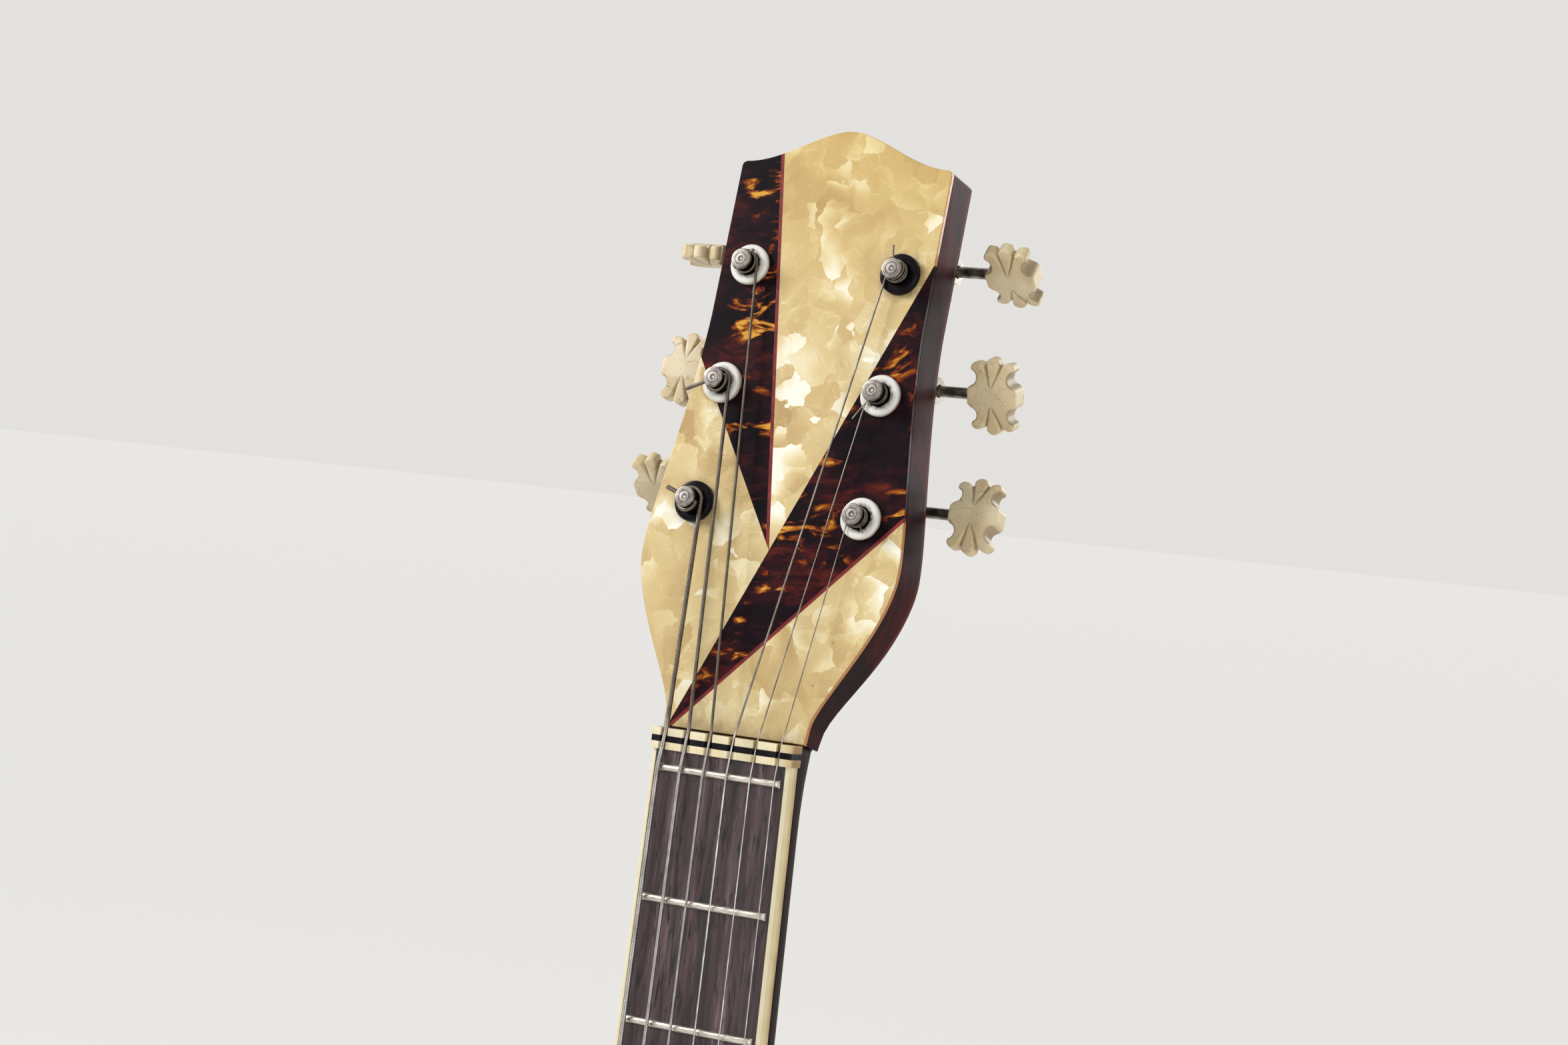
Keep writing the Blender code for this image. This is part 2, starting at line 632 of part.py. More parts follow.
def build_ribs():
    """One bent band with its two linings, open at the blocks, the tenon and the strap pin."""
    bm = bmesh.new()
    deep = RIB_WALL + LINING_REACH
    levels = ((0, RIB_FRONT), (0, RIB_BACK), (deep, RIB_BACK), (deep, RIB_BACK - LINING_DEPTH),
              (RIB_WALL, RIB_BACK - LINING_DEPTH), (RIB_WALL, RIB_FRONT + LINING_DEPTH),
              (deep, RIB_FRONT + LINING_DEPTH), (deep, RIB_FRONT))
    bands = [[bm.verts.new((x, y, z)) for x, z in inset(OUTLINE, reach)] for reach, y in levels]
    for a, b in zip(bands, bands[1:] + bands[:1]):
        for i in range(len(OUTLINE)):
            j = (i + 1) % len(OUTLINE)
            bm.faces.new((a[i], a[j], b[j], b[i]))
    ribs = finish("ribs", bm, maple(), smooth_degrees=35)
    for name, (low, high) in (("neck", NECK_BLOCK), ("tail", TAIL_BLOCK)):
        room = block_solid(RIB_WALL - BLOCK_REBATE, (low[0] - GAP, low[1] - GAP),
                           (high[0] + GAP, high[1] + GAP), RIB_FRONT - CUT_PAST, RIB_BACK + CUT_PAST)
        boolean(ribs, cutter(f"cut_{name}_block_room", room))
    boolean(ribs, cutter("cut_rib_mortise", mortise(GAP)))
    boolean(ribs, pin_bore("cut_rib_pin_bore"))
    seams = ribs.modifiers.new("closed_seams", "WELD")
    seams.merge_threshold = SEAM_REACH


def pin_bore(name):
    frame = Matrix.Rotation(math.radians(90), 4, "X")
    return cutter(name, rod(STRAP_PIN_SHANK + GAP, 0, TAIL + STRAP_PIN_PEG + GAP, 16), frame)


def build_blocks():
    low, high = NECK_BLOCK
    wall = RIB_WALL - BLOCK_REBATE + GAP
    neck_block = finish("neck_block", block_solid(wall, low, high, RIB_FRONT, RIB_BACK), maple())
    boolean(neck_block, cutter("cut_block_mortise", mortise(GAP)))
    low, high = TAIL_BLOCK
    tail_block = finish("tail_block", block_solid(wall, low, high, RIB_FRONT, RIB_BACK), maple())
    boolean(tail_block, pin_bore("cut_block_pin_bore"))


def build_tone_bar(name, side):
    """A bar under the top, following its inside and tapered at both ends."""
    sections = []
    count = 12
    for i in range(count + 1):
        z = TAIL + TONE_BAR_LOW + (BODY_LENGTH - TONE_BAR_DOWN - TONE_BAR_LOW) * i / count
        middle = side * (TONE_BAR_OUT + TONE_BAR_SPLAY * (1 - i / count))
        depth = TONE_BAR_DEPTH * (0.35 + 0.65 * math.sin(math.pi * i / count) ** 0.5)
        inner, outer = middle - TONE_BAR_WIDTH / 2, middle + TONE_BAR_WIDTH / 2
        y_inner, y_outer = top_inside(inner, z) + BAR_SPARE, top_inside(outer, z) + BAR_SPARE
        sections.append([(inner, y_inner, z), (outer, y_outer, z),
                         (outer - TONE_BAR_CHAMFER, y_outer + depth, z),
                         (inner + TONE_BAR_CHAMFER, y_inner + depth, z)])
    finish(name, loft(sections), spruce())


def build_strap_pin():
    """A turned pin along Z: its end face lies at the origin and its peg runs into the tail block."""
    profile = [(0, 0), (STRAP_PIN_HEAD - STRAP_PIN_EDGE, 0), (STRAP_PIN_HEAD, STRAP_PIN_EDGE),
               (STRAP_PIN_HEAD, STRAP_PIN_RIM), (STRAP_PIN_SHANK, STRAP_PIN_NECK),
               (STRAP_PIN_SHANK, TAIL + STRAP_PIN_PEG), (0, TAIL + STRAP_PIN_PEG)]
    frame = Matrix.Rotation(math.radians(90), 4, "X")
    finish("strap_pin", turned(profile, 16), black_plastic(), frame, smooth_degrees=40)


# Neck

def board_half_width(down):
    """Half the fingerboard's full width at a distance below the zero fret."""
    share = (down + NUT_LOW) / (BOARD_END + NUT_LOW)
    return (BOARD_WIDTH_AT_NUT + (BOARD_WIDTH_AT_END - BOARD_WIDTH_AT_NUT) * share) / 2


def camber(x):
    """How far the fingerboard's round surface falls away from its crown."""
    return BOARD_RADIUS - math.sqrt(BOARD_RADIUS ** 2 - x * x)


def heel_swell(down):
    """Neck's depth below its seat at a distance from the zero fret."""
    share = min(max(down, 0) / JOINT_DISTANCE, 1)
    shaft = NECK_DEPTH_AT_NUT + (NECK_DEPTH_AT_HEEL - NECK_DEPTH_AT_NUT) * share
    run = min(max((down - JOINT_DISTANCE + HEEL_RUN) / HEEL_RUN, 0), 1)
    return shaft + (HEEL_DEPTH - shaft) * run ** 2.2


def neck_solid():
    """The rounded neck from the nut to the end of its tongue, before it is cut to the body."""
    down = [-(NUT_HIGH + NECK_TOP), 0, 0.4 * JOINT_DISTANCE, JOINT_DISTANCE - HEEL_RUN]
    down += [JOINT_DISTANCE - HEEL_RUN * share for share in (0.72, 0.5, 0.33, 0.18, 0.08, 0)]
    down += [BOARD_END - GAP]
    sections = []
    front = NECK_SEAT - SEAT_SPARE
    sides = 10
    for distance in down:
        half = board_half_width(max(distance, 0)) - NECK_MARGIN
        depth = heel_swell(distance)
        ring = [(half, front, -distance)]
        for i in range(sides + 1):
            angle = math.pi * i / sides
            y = NECK_SEAT + NECK_WALL + depth * math.sin(angle) ** 0.85
            ring.append((half * math.cos(angle), y, -distance))
        ring.append((-half, front, -distance))
        sections.append(ring)
    return loft(sections)


def headstock_half():
    """The treble side of the headstock's edge, from the nut up to the peak."""
    foot, flare, top = HEADSTOCK_FOOT, HEADSTOCK_FLARE, HEADSTOCK_TOP
    taper = HEADSTOCK_TAPER_UP - HEADSTOCK_FLARE_UP
    corner = HEADSTOCK_CORNER
    points = [(0.99 * foot, 0.016 * HEADSTOCK_FLARE_UP)]
    points += bezier((foot, 0.1 * HEADSTOCK_FLARE_UP), (1.01 * foot, 0.255 * HEADSTOCK_FLARE_UP),
                     (flare, 0.667 * HEADSTOCK_FLARE_UP), (flare, HEADSTOCK_FLARE_UP), 8)
    points += bezier((flare, HEADSTOCK_FLARE_UP), (flare, HEADSTOCK_FLARE_UP + 0.174 * taper),
                     (1.02 * top, HEADSTOCK_TAPER_UP - 0.406 * taper), (top, HEADSTOCK_TAPER_UP), 6)
    points += [(top, HEADSTOCK_TAPER_UP), (top, corner - HEADSTOCK_ROUND)]
    points += bezier((top - HEADSTOCK_ROUND, corner),
                     (0.61 * top, corner + 0.03 * (HEADSTOCK_HEIGHT - corner)),
                     (0.27 * top, HEADSTOCK_HEIGHT), (0, HEADSTOCK_HEIGHT), 8)
    return points


def headstock_outline():
    """Both sides of the headstock's edge, anticlockwise seen from the front."""
    half = headstock_half()
    return half + [(0, HEADSTOCK_HEIGHT)] + [(-x, z) for x, z in reversed(half)]


def post_places():
    """(across, up) of each post, strings 6 to 1."""
    rows = [(POST_OUT_LOWEST - POST_OUT_STEP * row, POST_LOWEST + POST_SPACING * row) for row in range(3)]
    return [(-out, up) for out, up in rows] + [(out, up) for out, up in reversed(rows)]


def tuner_frame(index):
    """The frame of a tuner: Y runs into the headstock along its post."""
    out, up = post_places()[index]
    return HEADSTOCK_FRAME @ Matrix.Translation((out, 0, up))


def build_neck():
    """Neck, heel, tenon, tongue and headstock core in one piece of wood."""
    neck = finish("neck", neck_solid(), dark_neck(), NECK_FRAME, smooth_degrees=40)
    core = inset(headstock_outline(), EDGE_BAND_THICKNESS + GAP)
    foot = HEADSTOCK_FOOT - EDGE_BAND_THICKNESS - GAP
    root_half, root_length = CORE_FOOT
    core = [(foot, MM)] + core[1:-1] + [(-foot, MM), (-root_half, -root_length), (root_half, -root_length)]
    slab = cutter("headstock_core", prism(core, WOOD_FACE - GAP, HEADSTOCK_THICKNESS), HEADSTOCK_FRAME)
    boolean(neck, slab, "UNION")
    wide = HEADSTOCK_FLARE + CUT_PAST
    seat = box((-wide, -wide, -BOARD_END - CUT_PAST), (wide, NECK_SEAT, NUT_HIGH + SEAT_SPARE))
    boolean(neck, cutter("cut_board_seat", seat, NECK_FRAME))
    face = box((-wide, -wide, SEAT_SPARE / 2), (wide, WOOD_FACE, HEADSTOCK_HEIGHT + CUT_PAST))
    boolean(neck, cutter("cut_headstock_face", face, HEADSTOCK_FRAME))
    tongue = BOARD_END - JOINT_DISTANCE
    joint = box((-wide, TOP_EDGE - TONGUE_LIFT, BODY_TOP - 1.5 * tongue), (wide, HEEL_DEPTH, BODY_TOP + GAP))
    boolean(neck, cutter("cut_body_joint", joint))
    heel_end = box((-wide, RIB_BACK, BODY_TOP - TENON_LENGTH),
                   (wide, RIB_BACK + HEEL_DEPTH, BODY_TOP + HEEL_DEPTH))
    boolean(neck, cutter("cut_heel_end", heel_end))
    tenon = box((-TENON_WIDTH / 2, RIB_FRONT + TENON_MARGIN, BODY_TOP - TENON_LENGTH),
                (TENON_WIDTH / 2, RIB_BACK - TENON_MARGIN, BODY_TOP + CUT_PAST))
    boolean(neck, cutter("tenon", tenon), "UNION")
    for index in range(STRING_COUNT):
        bush, shaft = FERRULE_BODY + GAP, POST_RADIUS + POST_SPARE
        deep = HEADSTOCK_THICKNESS + 2 * CUT_PAST
        bore = turned([(0, -CUT_PAST), (bush, -CUT_PAST), (bush, FERRULE_DEPTH + GAP),
                       (shaft, FERRULE_DEPTH + GAP), (shaft, deep), (0, deep)], 12)
        boolean(neck, cutter(f"cut_post_bore_{index}", bore, tuner_frame(index)))


def build_heel_cap():
    wide, front = BOARD_WIDTH_AT_END, RIB_BACK + GAP
    blank = box((-wide, front, BODY_TOP + GAP), (wide, front + HEEL_CAP_THICKNESS, BODY_TOP + wide))
    cap = finish("heel_cap", blank, black_plastic())
    boolean(cap, cutter("heel_shape", neck_solid(), NECK_FRAME), "INTERSECT")


def fret_solid(down, crown, base):
    """A low ridge across the board, narrower at its top."""
    half = board_half_width(down) - BINDING_THICKNESS - GAP
    foot, flat = FRET_WIDTH / 2, FRET_WIDTH / 4
    rows = ((foot, base), (flat, crown), (-flat, crown), (-foot, base))
    bm = bmesh.new()
    xs = [half * i / 3 for i in (-3, -1, 1, 3)]
    rings = [[bm.verts.new((x, level + camber(x), offset - down)) for offset, level in rows] for x in xs]
    for a, b in zip(rings, rings[1:]):
        for i in range(len(rows)):
            j = (i + 1) % len(rows)
            bm.faces.new((a[i], a[j], b[j], b[i]))
    bm.faces.new(rings[0])
    bm.faces.new(rings[-1])
    return bm


def build_fingerboard():
    """Rosewood board with its pressed-in frets as ridges."""
    sections = []
    for z in (NUT_LOW - GAP, -BOARD_END):
        half = board_half_width(-z) - BINDING_THICKNESS - GAP
        xs = [half * i / 3 for i in (-3, -1, 1, 3)]
        face = [(x, BOARD_FACE + camber(x), z) for x in xs]
        sections.append(face + [(half, BOARD_BACK, z), (-half, BOARD_BACK, z)])
    board = finish("fingerboard", loft(sections), rosewood(), NECK_FRAME)
    frets = bmesh.new()
    for number in range(1, FRET_COUNT + 1):
        fret = fret_solid(fret_distance(number), ZERO_FRET_EXTRA, BOARD_FACE + FRET_TANG)
        mesh = bpy.data.meshes.new("fret_shape")
        fret.to_mesh(mesh)
        fret.free()
        frets.from_mesh(mesh)
        bpy.data.meshes.remove(mesh)
    boolean(board, cutter("pressed_frets", frets, NECK_FRAME), "UNION")
    zero = fret_solid(0, 0, BOARD_FACE - GAP)
    finish("zero_fret", zero, nickel(), NECK_FRAME)


def build_binding():
    """Plastic strip along both sides of the board and round its end."""
    top = NUT_LOW - GAP
    outer_nut, outer_end = board_half_width(-top), board_half_width(BOARD_END)
    end = -BOARD_END - GAP - BINDING_THICKNESS
    inner_nut, inner_end = outer_nut - BINDING_THICKNESS, outer_end - BINDING_THICKNESS
    outline = [(inner_nut, top), (inner_end, -BOARD_END - GAP), (-inner_end, -BOARD_END - GAP),
               (-inner_nut, top), (-outer_nut, top), (-outer_end, end), (outer_end, end), (outer_nut, top)]
    front = BOARD_FACE + camber(board_half_width(0))
    finish("fingerboard_binding", prism(outline, front, BOARD_BACK), cream_plastic(), NECK_FRAME)


# Strings

def string_across(index, spread):
    return spread * (index / (STRING_COUNT - 1) - 0.5)


def fret_point(index):
    """A string's middle over the zero fret, in the neck's frame."""
    x = string_across(index, SPREAD_AT_NUT)
    return Vector((x, camber(x) - STRING_DIAMETERS[index] / 2 - GAP, 0))


def saddle_point(index):
    """A string's middle over the saddle, in the neck's frame."""
    x = string_across(index, SPREAD_AT_BRIDGE)
    return Vector((x, camber(x) - STRING_RISE, -SCALE_LENGTH))


def winding_radius(index):
    return POST_WAIST + GAP + STRING_DIAMETERS[index] / 2


def first_turn_height(index):
    return FERRULE_HEIGHT + GAP + STRING_DIAMETERS[index] / 2


def turn_pitch(index):
    return STRING_DIAMETERS[index] + WINDING_SPACE


def winding(index):
    """Where a string meets its post, where it enters the post's hole, and its climb in between.

    Angles are on the headstock's face, anticlockwise from its treble side.
    """
    across, up = post_places()[index]
    turn = 1 if across < 0 else -1
    start = HEADSTOCK_FRAME.inverted() @ NECK_FRAME @ fret_point(index)
    to_post = Vector((across - start.x, up - start.z))
    lean = math.asin(winding_radius(index) / to_post.length)
    meets = math.atan2(to_post.y, to_post.x) - turn * lean - turn * math.pi / 2
    enters = math.radians(TAIL_DIRECTIONS[index]) - math.pi
    swept = (turn * (enters - meets)) % (2 * math.pi) + 2 * math.pi * FULL_TURNS[index]
    climb = turn_pitch(index) * (swept / (2 * math.pi) + 0.5)
    return turn, meets, swept, climb


def hole_height(index):
    """Height of the string hole of a post above the headstock's face."""
    return first_turn_height(index) + winding(index)[3]


def winding_points(index):
    """A string's turns about its post, in the headstock's frame, up to the post's hole."""
    across, up = post_places()[index]
    turn, meets, swept, climb = winding(index)
    radius = winding_radius(index)
    pitch = turn_pitch(index)
    count = math.ceil(swept / (2 * math.pi) * TURN_POINTS)
    points = []
    for i in range(count + 1):
        angle = swept * i / count
        rise = pitch * angle / (2 * math.pi)
        late = max(angle - (swept - math.pi), 0) / math.pi
        height = first_turn_height(index) + rise + pitch * 0.5 * late
        place = meets + turn * angle
        points.append(Vector((across + radius * math.cos(place), -height, up + radius * math.sin(place))))
    return points


def string_points(index):
    """A string's whole route in the world, each point with its thickness as a multiple of the string's."""
    radius = STRING_DIAMETERS[index] / 2
    anchor_x, anchor_y, anchor_z = anchor_place(index)
    swell = BALL_RADIUS / radius
    ball = anchor_z - TAILPIECE_BAR[2] / 2 - GAP - BALL_RADIUS
    route = [(Vector((anchor_x, anchor_y, ball - 0.95 * BALL_RADIUS)), 0.35 * swell),
             (Vector((anchor_x, anchor_y, ball - 0.5 * BALL_RADIUS)), 0.87 * swell),
             (Vector((anchor_x, anchor_y, ball)), swell),
             (Vector((anchor_x, anchor_y, ball + 0.5 * BALL_RADIUS)), 0.87 * swell),
             (Vector((anchor_x, anchor_y, ball + 0.9 * BALL_RADIUS)), max(0.44 * swell, 1.0)),
             (Vector((anchor_x, anchor_y, ball + BALL_RADIUS)), 1.0),
             (Vector((anchor_x, anchor_y, anchor_z)), 1.0),
             (Vector((anchor_x, anchor_y, anchor_z + TAILPIECE_BAR[2] / 2 + BALL_RADIUS)), 1.0)]
    route += [(NECK_FRAME @ saddle_point(index), 1.0), (NECK_FRAME @ fret_point(index), 1.0)]
    route.append((nut_point(index), 1.0))
    route += [(HEADSTOCK_FRAME @ point, 1.0) for point in winding_points(index)]
    across, up = post_places()[index]
    height = hole_height(index)
    direction = math.radians(TAIL_DIRECTIONS[index])
    for reach in (-POST_WAIST * 0.55, TAIL_REACHES[index]):
        place = Vector((across + reach * math.cos(direction), -height, up + reach * math.sin(direction)))
        route.append((HEADSTOCK_FRAME @ place, 1.0))
    return route


def nut_point(index):
    """A string's middle at mid nut: straight on from its run, and from the side straight to its post."""
    start = fret_point(index)
    end = NECK_FRAME.inverted() @ HEADSTOCK_FRAME @ winding_points(index)[0]
    middle = (NUT_LOW + NUT_HIGH) / 2
    share = middle / end.z
    x = start.x * (1 - middle / SCALE_LENGTH * (SPREAD_AT_BRIDGE / SPREAD_AT_NUT - 1))
    return NECK_FRAME @ Vector((x, start.y + (end.y - start.y) * share, middle))


def distance_between(a, b, c, d):
    """Least distance between two straight stretches, tried at a few places along each."""
    best = 1.0
    for i in range(5):
        p = a.lerp(b, i / 4)
        along = d - c
        t = min(max((p - c).dot(along) / along.length_squared, 0), 1)
        best = min(best, (p - c - along * t).length)
    return best


def least_gap(index, points):
    """Least clear space between a string and a later turn of itself."""
    diameter = STRING_DIAMETERS[index]
    around = math.pi * winding_radius(index)
    walked = [0.0]
    for a, b in zip(points, points[1:]):
        walked.append(walked[-1] + (b - a).length)
    best = 1.0
    for i in range(len(points) - 1):
        for j in range(i + 1, len(points) - 1):
            if walked[j] - walked[i + 1] > around:
                best = min(best, distance_between(points[i], points[i + 1], points[j], points[j + 1]))
    return best - diameter


def build_strings():
    """Each string is one tube from its ball, over saddle, fret and nut, round its post and out through it."""
    for index, diameter in enumerate(STRING_DIAMETERS):
        route = string_points(index)
        curve = bpy.data.curves.new(f"string_{STRING_COUNT - index}", "CURVE")
        curve.dimensions = "3D"
        curve.bevel_depth = diameter / 2
        curve.bevel_resolution = 1
        curve.use_fill_caps = True
        spline = curve.splines.new("POLY")
        spline.points.add(len(route) - 1)
        for point, (place, swell) in zip(spline.points, route):
            point.co = (*place, 1.0)
            point.radius = swell
        curve.materials.append(steel())
        string = bpy.data.objects.new(f"string_{STRING_COUNT - index}", curve)
        bpy.context.scene.collection.objects.link(string)
        near_post = [place for place, _ in route[-(len(winding_points(index)) + 2):]]
        print(f"{string.name}: least gap of its turns {least_gap(index, near_post) / MM:.2f} mm")


def build_nut():
    """Laminated block with a slot for each string."""
    half = NUT_WIDTH / 2
    xs = [half * i / 4 for i in range(-4, 5)]
    outline = [(x, NUT_CROWN + camber(x)) for x in xs] + [(half, BOARD_BACK), (-half, BOARD_BACK)]
    bm = bmesh.new()
    face = bm.faces.new([bm.verts.new((x, y, NUT_LOW)) for x, y in outline])
    extruded = bmesh.ops.extrude_face_region(bm, geom=[face])
    moved = [v for v in extruded["geom"] if isinstance(v, bmesh.types.BMVert)]
    bmesh.ops.translate(bm, vec=(0, 0, NUT_HIGH - NUT_LOW), verts=moved)
    nut = finish("nut", bm, cream_plastic(), NECK_FRAME)
    for index, diameter in enumerate(STRING_DIAMETERS):
        place = NECK_FRAME.inverted() @ nut_point(index)
        slope = (NECK_FRAME.inverted() @ HEADSTOCK_FRAME @ winding_points(index)[0]).y / POST_LOWEST
        half_width = (diameter + SLOT_SPARE) / 2
        floor = place.y + diameter / 2 + GAP + slope * (NUT_HIGH - NUT_LOW) / 2
        slot = box((place.x - half_width, floor - BOARD_BACK, NUT_LOW - MM),
                   (place.x + half_width, floor, NUT_HIGH + MM))
        boolean(nut, cutter(f"cut_nut_slot_{index}", slot, NECK_FRAME))


# Headstock face

def line_side(start, end, shift):
    """A point and a normal of a seam moved to its left, seen from the front, by a distance."""
    along = (Vector(end) - Vector(start)).normalized()
    left = Vector((-along.y, along.x))
    point = Vector(start) + left * shift
    return Vector((point.x, 0, point.y)), Vector((left.x, 0, left.y))


def panel(name, finish_material, keeps, holes):
    """A face panel: the headstock's outline, trimmed to the left of each seam it is given."""
    bm = prism(headstock_outline(), 0, OVERLAY_THICKNESS)
    for start, end, shift in keeps:
        point, left = line_side(start, end, shift)
        half_space(bm, point, -left)
    made = finish(name, bm, finish_material, HEADSTOCK_FRAME)
    for index in holes:
        bore = rod(FERRULE_BODY + GAP, -CUT_PAST, CUT_PAST, 12)
        boolean(made, cutter(f"cut_{name}_{index}", bore, tuner_frame(index)))


def build_face():
    """Seven glued panels: three pearl, two tortoise and two thin red lines."""
    half_gap = GAP / 2
    line_gap = INLAY_LINE + 1.5 * GAP
    upper = (SEAM_CROSS, SEAM_TOP)
    bass = (SEAM_BASS, SEAM_CROSS)
    diagonal = (SEAM_TIP, SEAM_DIAGONAL_HIGH)
    lower = (SEAM_TIP, SEAM_TREBLE)
    flip = tuple(reversed(upper))
    flip_lower = tuple(reversed(lower))
    panel("panel_pearl_centre", pearl_plastic(),
          [(*flip, half_gap), (*diagonal, half_gap)], (3,))
    panel("line_red_upper", red_plastic(),
          [(*upper, half_gap), (*flip, -half_gap - INLAY_LINE), (*diagonal, half_gap), (*bass, half_gap)], ())
    panel("panel_tortoise_upper", tortoise_plastic(),
          [(*upper, line_gap), (*bass, half_gap)], (1, 2))
    panel("panel_pearl_bass", pearl_plastic(),
          [(*reversed(bass), half_gap), (*diagonal, half_gap)], (0, 1))
    panel("panel_tortoise_diagonal", tortoise_plastic(),
          [(*reversed(diagonal), half_gap), (*lower, half_gap)], (4, 5))
    panel("line_red_lower", red_plastic(),
          [(*flip_lower, half_gap), (*lower, -half_gap - INLAY_LINE)], ())
    panel("panel_pearl_treble", pearl_plastic(),
          [(*flip_lower, line_gap)], ())


def build_edge_band():
    """Thin strip glued round the headstock's sides and top."""
    outer = headstock_outline()
    inner = inset(outer, EDGE_BAND_THICKNESS)
    inner[0] = (outer[0][0] - EDGE_BAND_THICKNESS, outer[0][1])
    inner[-1] = (outer[-1][0] + EDGE_BAND_THICKNESS, outer[-1][1])
    outline = outer + inner[::-1]
    strip = prism(outline, WOOD_FACE, HEADSTOCK_THICKNESS)
    finish("headstock_edge_band", strip, tortoise_plastic(), HEADSTOCK_FRAME)


# Tuners

PLATE_FRONT = HEADSTOCK_THICKNESS + GAP
PLATE_BACK = PLATE_FRONT + PLATE_METAL


def build_ferrule(index):
    """Pressed-in bush with a round flange."""
    finish_material = black_plastic() if index in (0, 3) else white_plastic()
    inner = POST_RADIUS + GAP
    profile = [(inner, -FERRULE_HEIGHT), (FERRULE_RADIUS - FERRULE_ROUND, -FERRULE_HEIGHT),
               (FERRULE_RADIUS, -FERRULE_HEIGHT + FERRULE_ROUND), (FERRULE_RADIUS, -GAP),
               (FERRULE_BODY, -GAP), (FERRULE_BODY, FERRULE_DEPTH), (inner, FERRULE_DEPTH)]
    finish(f"ferrule_{STRING_COUNT - index}", turned(profile, 12, hollow=True), finish_material,
           tuner_frame(index), smooth_degrees=40)


def gear_outline():
    """Pointed teeth, with a gap towards the worm."""
    points = []
    for tooth in range(GEAR_TEETH):
        for share, radius in ((-0.24, GEAR_RADIUS - TOOTH_DEDENDUM), (0, GEAR_RADIUS + TOOTH_ADDENDUM),
                              (0.24, GEAR_RADIUS - TOOTH_DEDENDUM)):
            angle = math.pi / 2 + 2 * math.pi * (tooth + 0.5 + share) / GEAR_TEETH
            points.append((radius * math.cos(angle), radius * math.sin(angle)))
    return points


def build_post(index):
    """String post with its gear: the origin lies on its axis at the headstock's face."""
    frame = tuner_frame(index)
    collar = POST_RADIUS + POST_COLLAR
    gear_front = GEAR_DEPTH - GEAR_THICKNESS / 2
    collar_end = gear_front + GEAR_THICKNESS / 8
    end = GEAR_DEPTH + GEAR_THICKNESS / 2 + POST_PAST_GEAR
    step = POST_RADIUS - POST_WAIST
    profile = [(0, -POST_HEIGHT), (POST_RADIUS - 2.3 * step, -POST_HEIGHT + 0.3 * step),
               (POST_RADIUS, -POST_HEIGHT + 2.3 * step), (POST_WAIST, -POST_HEIGHT + 3.7 * step),
               (POST_WAIST, -FERRULE_HEIGHT), (POST_RADIUS, -FERRULE_HEIGHT + 1.3 * step),
               (POST_RADIUS, PLATE_BACK + GAP), (collar, PLATE_BACK + GAP), (collar, collar_end),
               (POST_RADIUS, collar_end), (POST_RADIUS, end), (0, end)]
    name = f"tuner_post_{STRING_COUNT - index}"
    post = finish(name, turned(profile, 10), nickel(), frame, smooth_degrees=40)
    gear = prism(gear_outline(), gear_front, gear_front + GEAR_THICKNESS)
    boolean(post, cutter(f"gear_{index}", gear, frame), "UNION")
    direction = math.radians(TAIL_DIRECTIONS[index])
    hole = rod(STRING_DIAMETERS[index] / 2 + HOLE_SPARE, -2 * POST_RADIUS, 2 * POST_RADIUS, 6)
    across = Matrix.Rotation(-direction - math.pi / 2, 4, "Y")
    lengthwise = across @ Matrix.Rotation(math.pi / 2, 4, "X")
    hole_frame = frame @ Matrix.Translation((0, -hole_height(index), 0)) @ lengthwise
    boolean(post, cutter(f"cut_string_hole_{index}", hole, hole_frame))


def helical_thread():
    """The worm's thread: a three-sided bar wound about X, its crest towards -Z at the middle."""
    per_turn = 8
    count = per_turn * WORM_TURNS
    root, half_root = WORM_ROOT - GAP, 0.3 * WORM_PITCH
    bm = bmesh.new()
    rings = []
    for i in range(count + 1):
        turn = WORM_TURNS * (i / count - 0.5)
        angle = -math.pi / 2 + 2 * math.pi * turn
        x = WORM_PITCH * turn
        ring = []
        for radius, shift in ((root, -half_root), (WORM_TIP, 0), (root, half_root)):
            ring.append(bm.verts.new((x + shift, radius * math.cos(angle), radius * math.sin(angle))))
        rings.append(ring)
    for a, b in zip(rings, rings[1:]):
        for i in range(3):
            j = (i + 1) % 3
            bm.faces.new((a[i], a[j], b[j], b[i]))
    bm.faces.new(rings[0])
    bm.faces.new(rings[-1])
    return bm


def key_frame(index):
    """The frame of a worm shaft: X runs out towards its button."""
    frame = tuner_frame(index) @ Matrix.Translation((0, GEAR_DEPTH, WORM_UP))
    if post_places()[index][0] < 0:
        frame = frame @ Matrix.Rotation(math.pi, 4, "Z")
    return frame


def build_worm_shaft(index):
    """Worm and shaft in one turned piece: the origin lies on its axis beside the post."""
    inner_end = LUG_OUT + LUG_THICKNESS + SHAFT_PAST_LUG
    worm_half = LUG_OUT - GAP
    outer_end = BUTTON_OUT + SHAFT_IN_BUTTON
    core_end = worm_half - THRUST_LENGTH
    profile = [(0, -inner_end), (SHAFT_RADIUS, -inner_end), (SHAFT_RADIUS, -worm_half),
               (THRUST_RADIUS, -worm_half), (WORM_ROOT, -core_end), (WORM_ROOT, core_end),
               (THRUST_RADIUS, worm_half), (SHAFT_RADIUS, worm_half), (SHAFT_RADIUS, outer_end),
               (0, outer_end)]
    bm = turned(profile, 8)
    lengthwise = Matrix.Rotation(-math.pi / 2, 3, "Z") @ Matrix.Rotation(math.pi / 8, 3, "Y")
    bmesh.ops.rotate(bm, cent=(0, 0, 0), matrix=lengthwise, verts=bm.verts)
    frame = key_frame(index)
    shaft = finish(f"worm_shaft_{STRING_COUNT - index}", bm, steel(), frame, smooth_degrees=40)
    boolean(shaft, cutter(f"thread_{index}", helical_thread(), frame), "UNION")


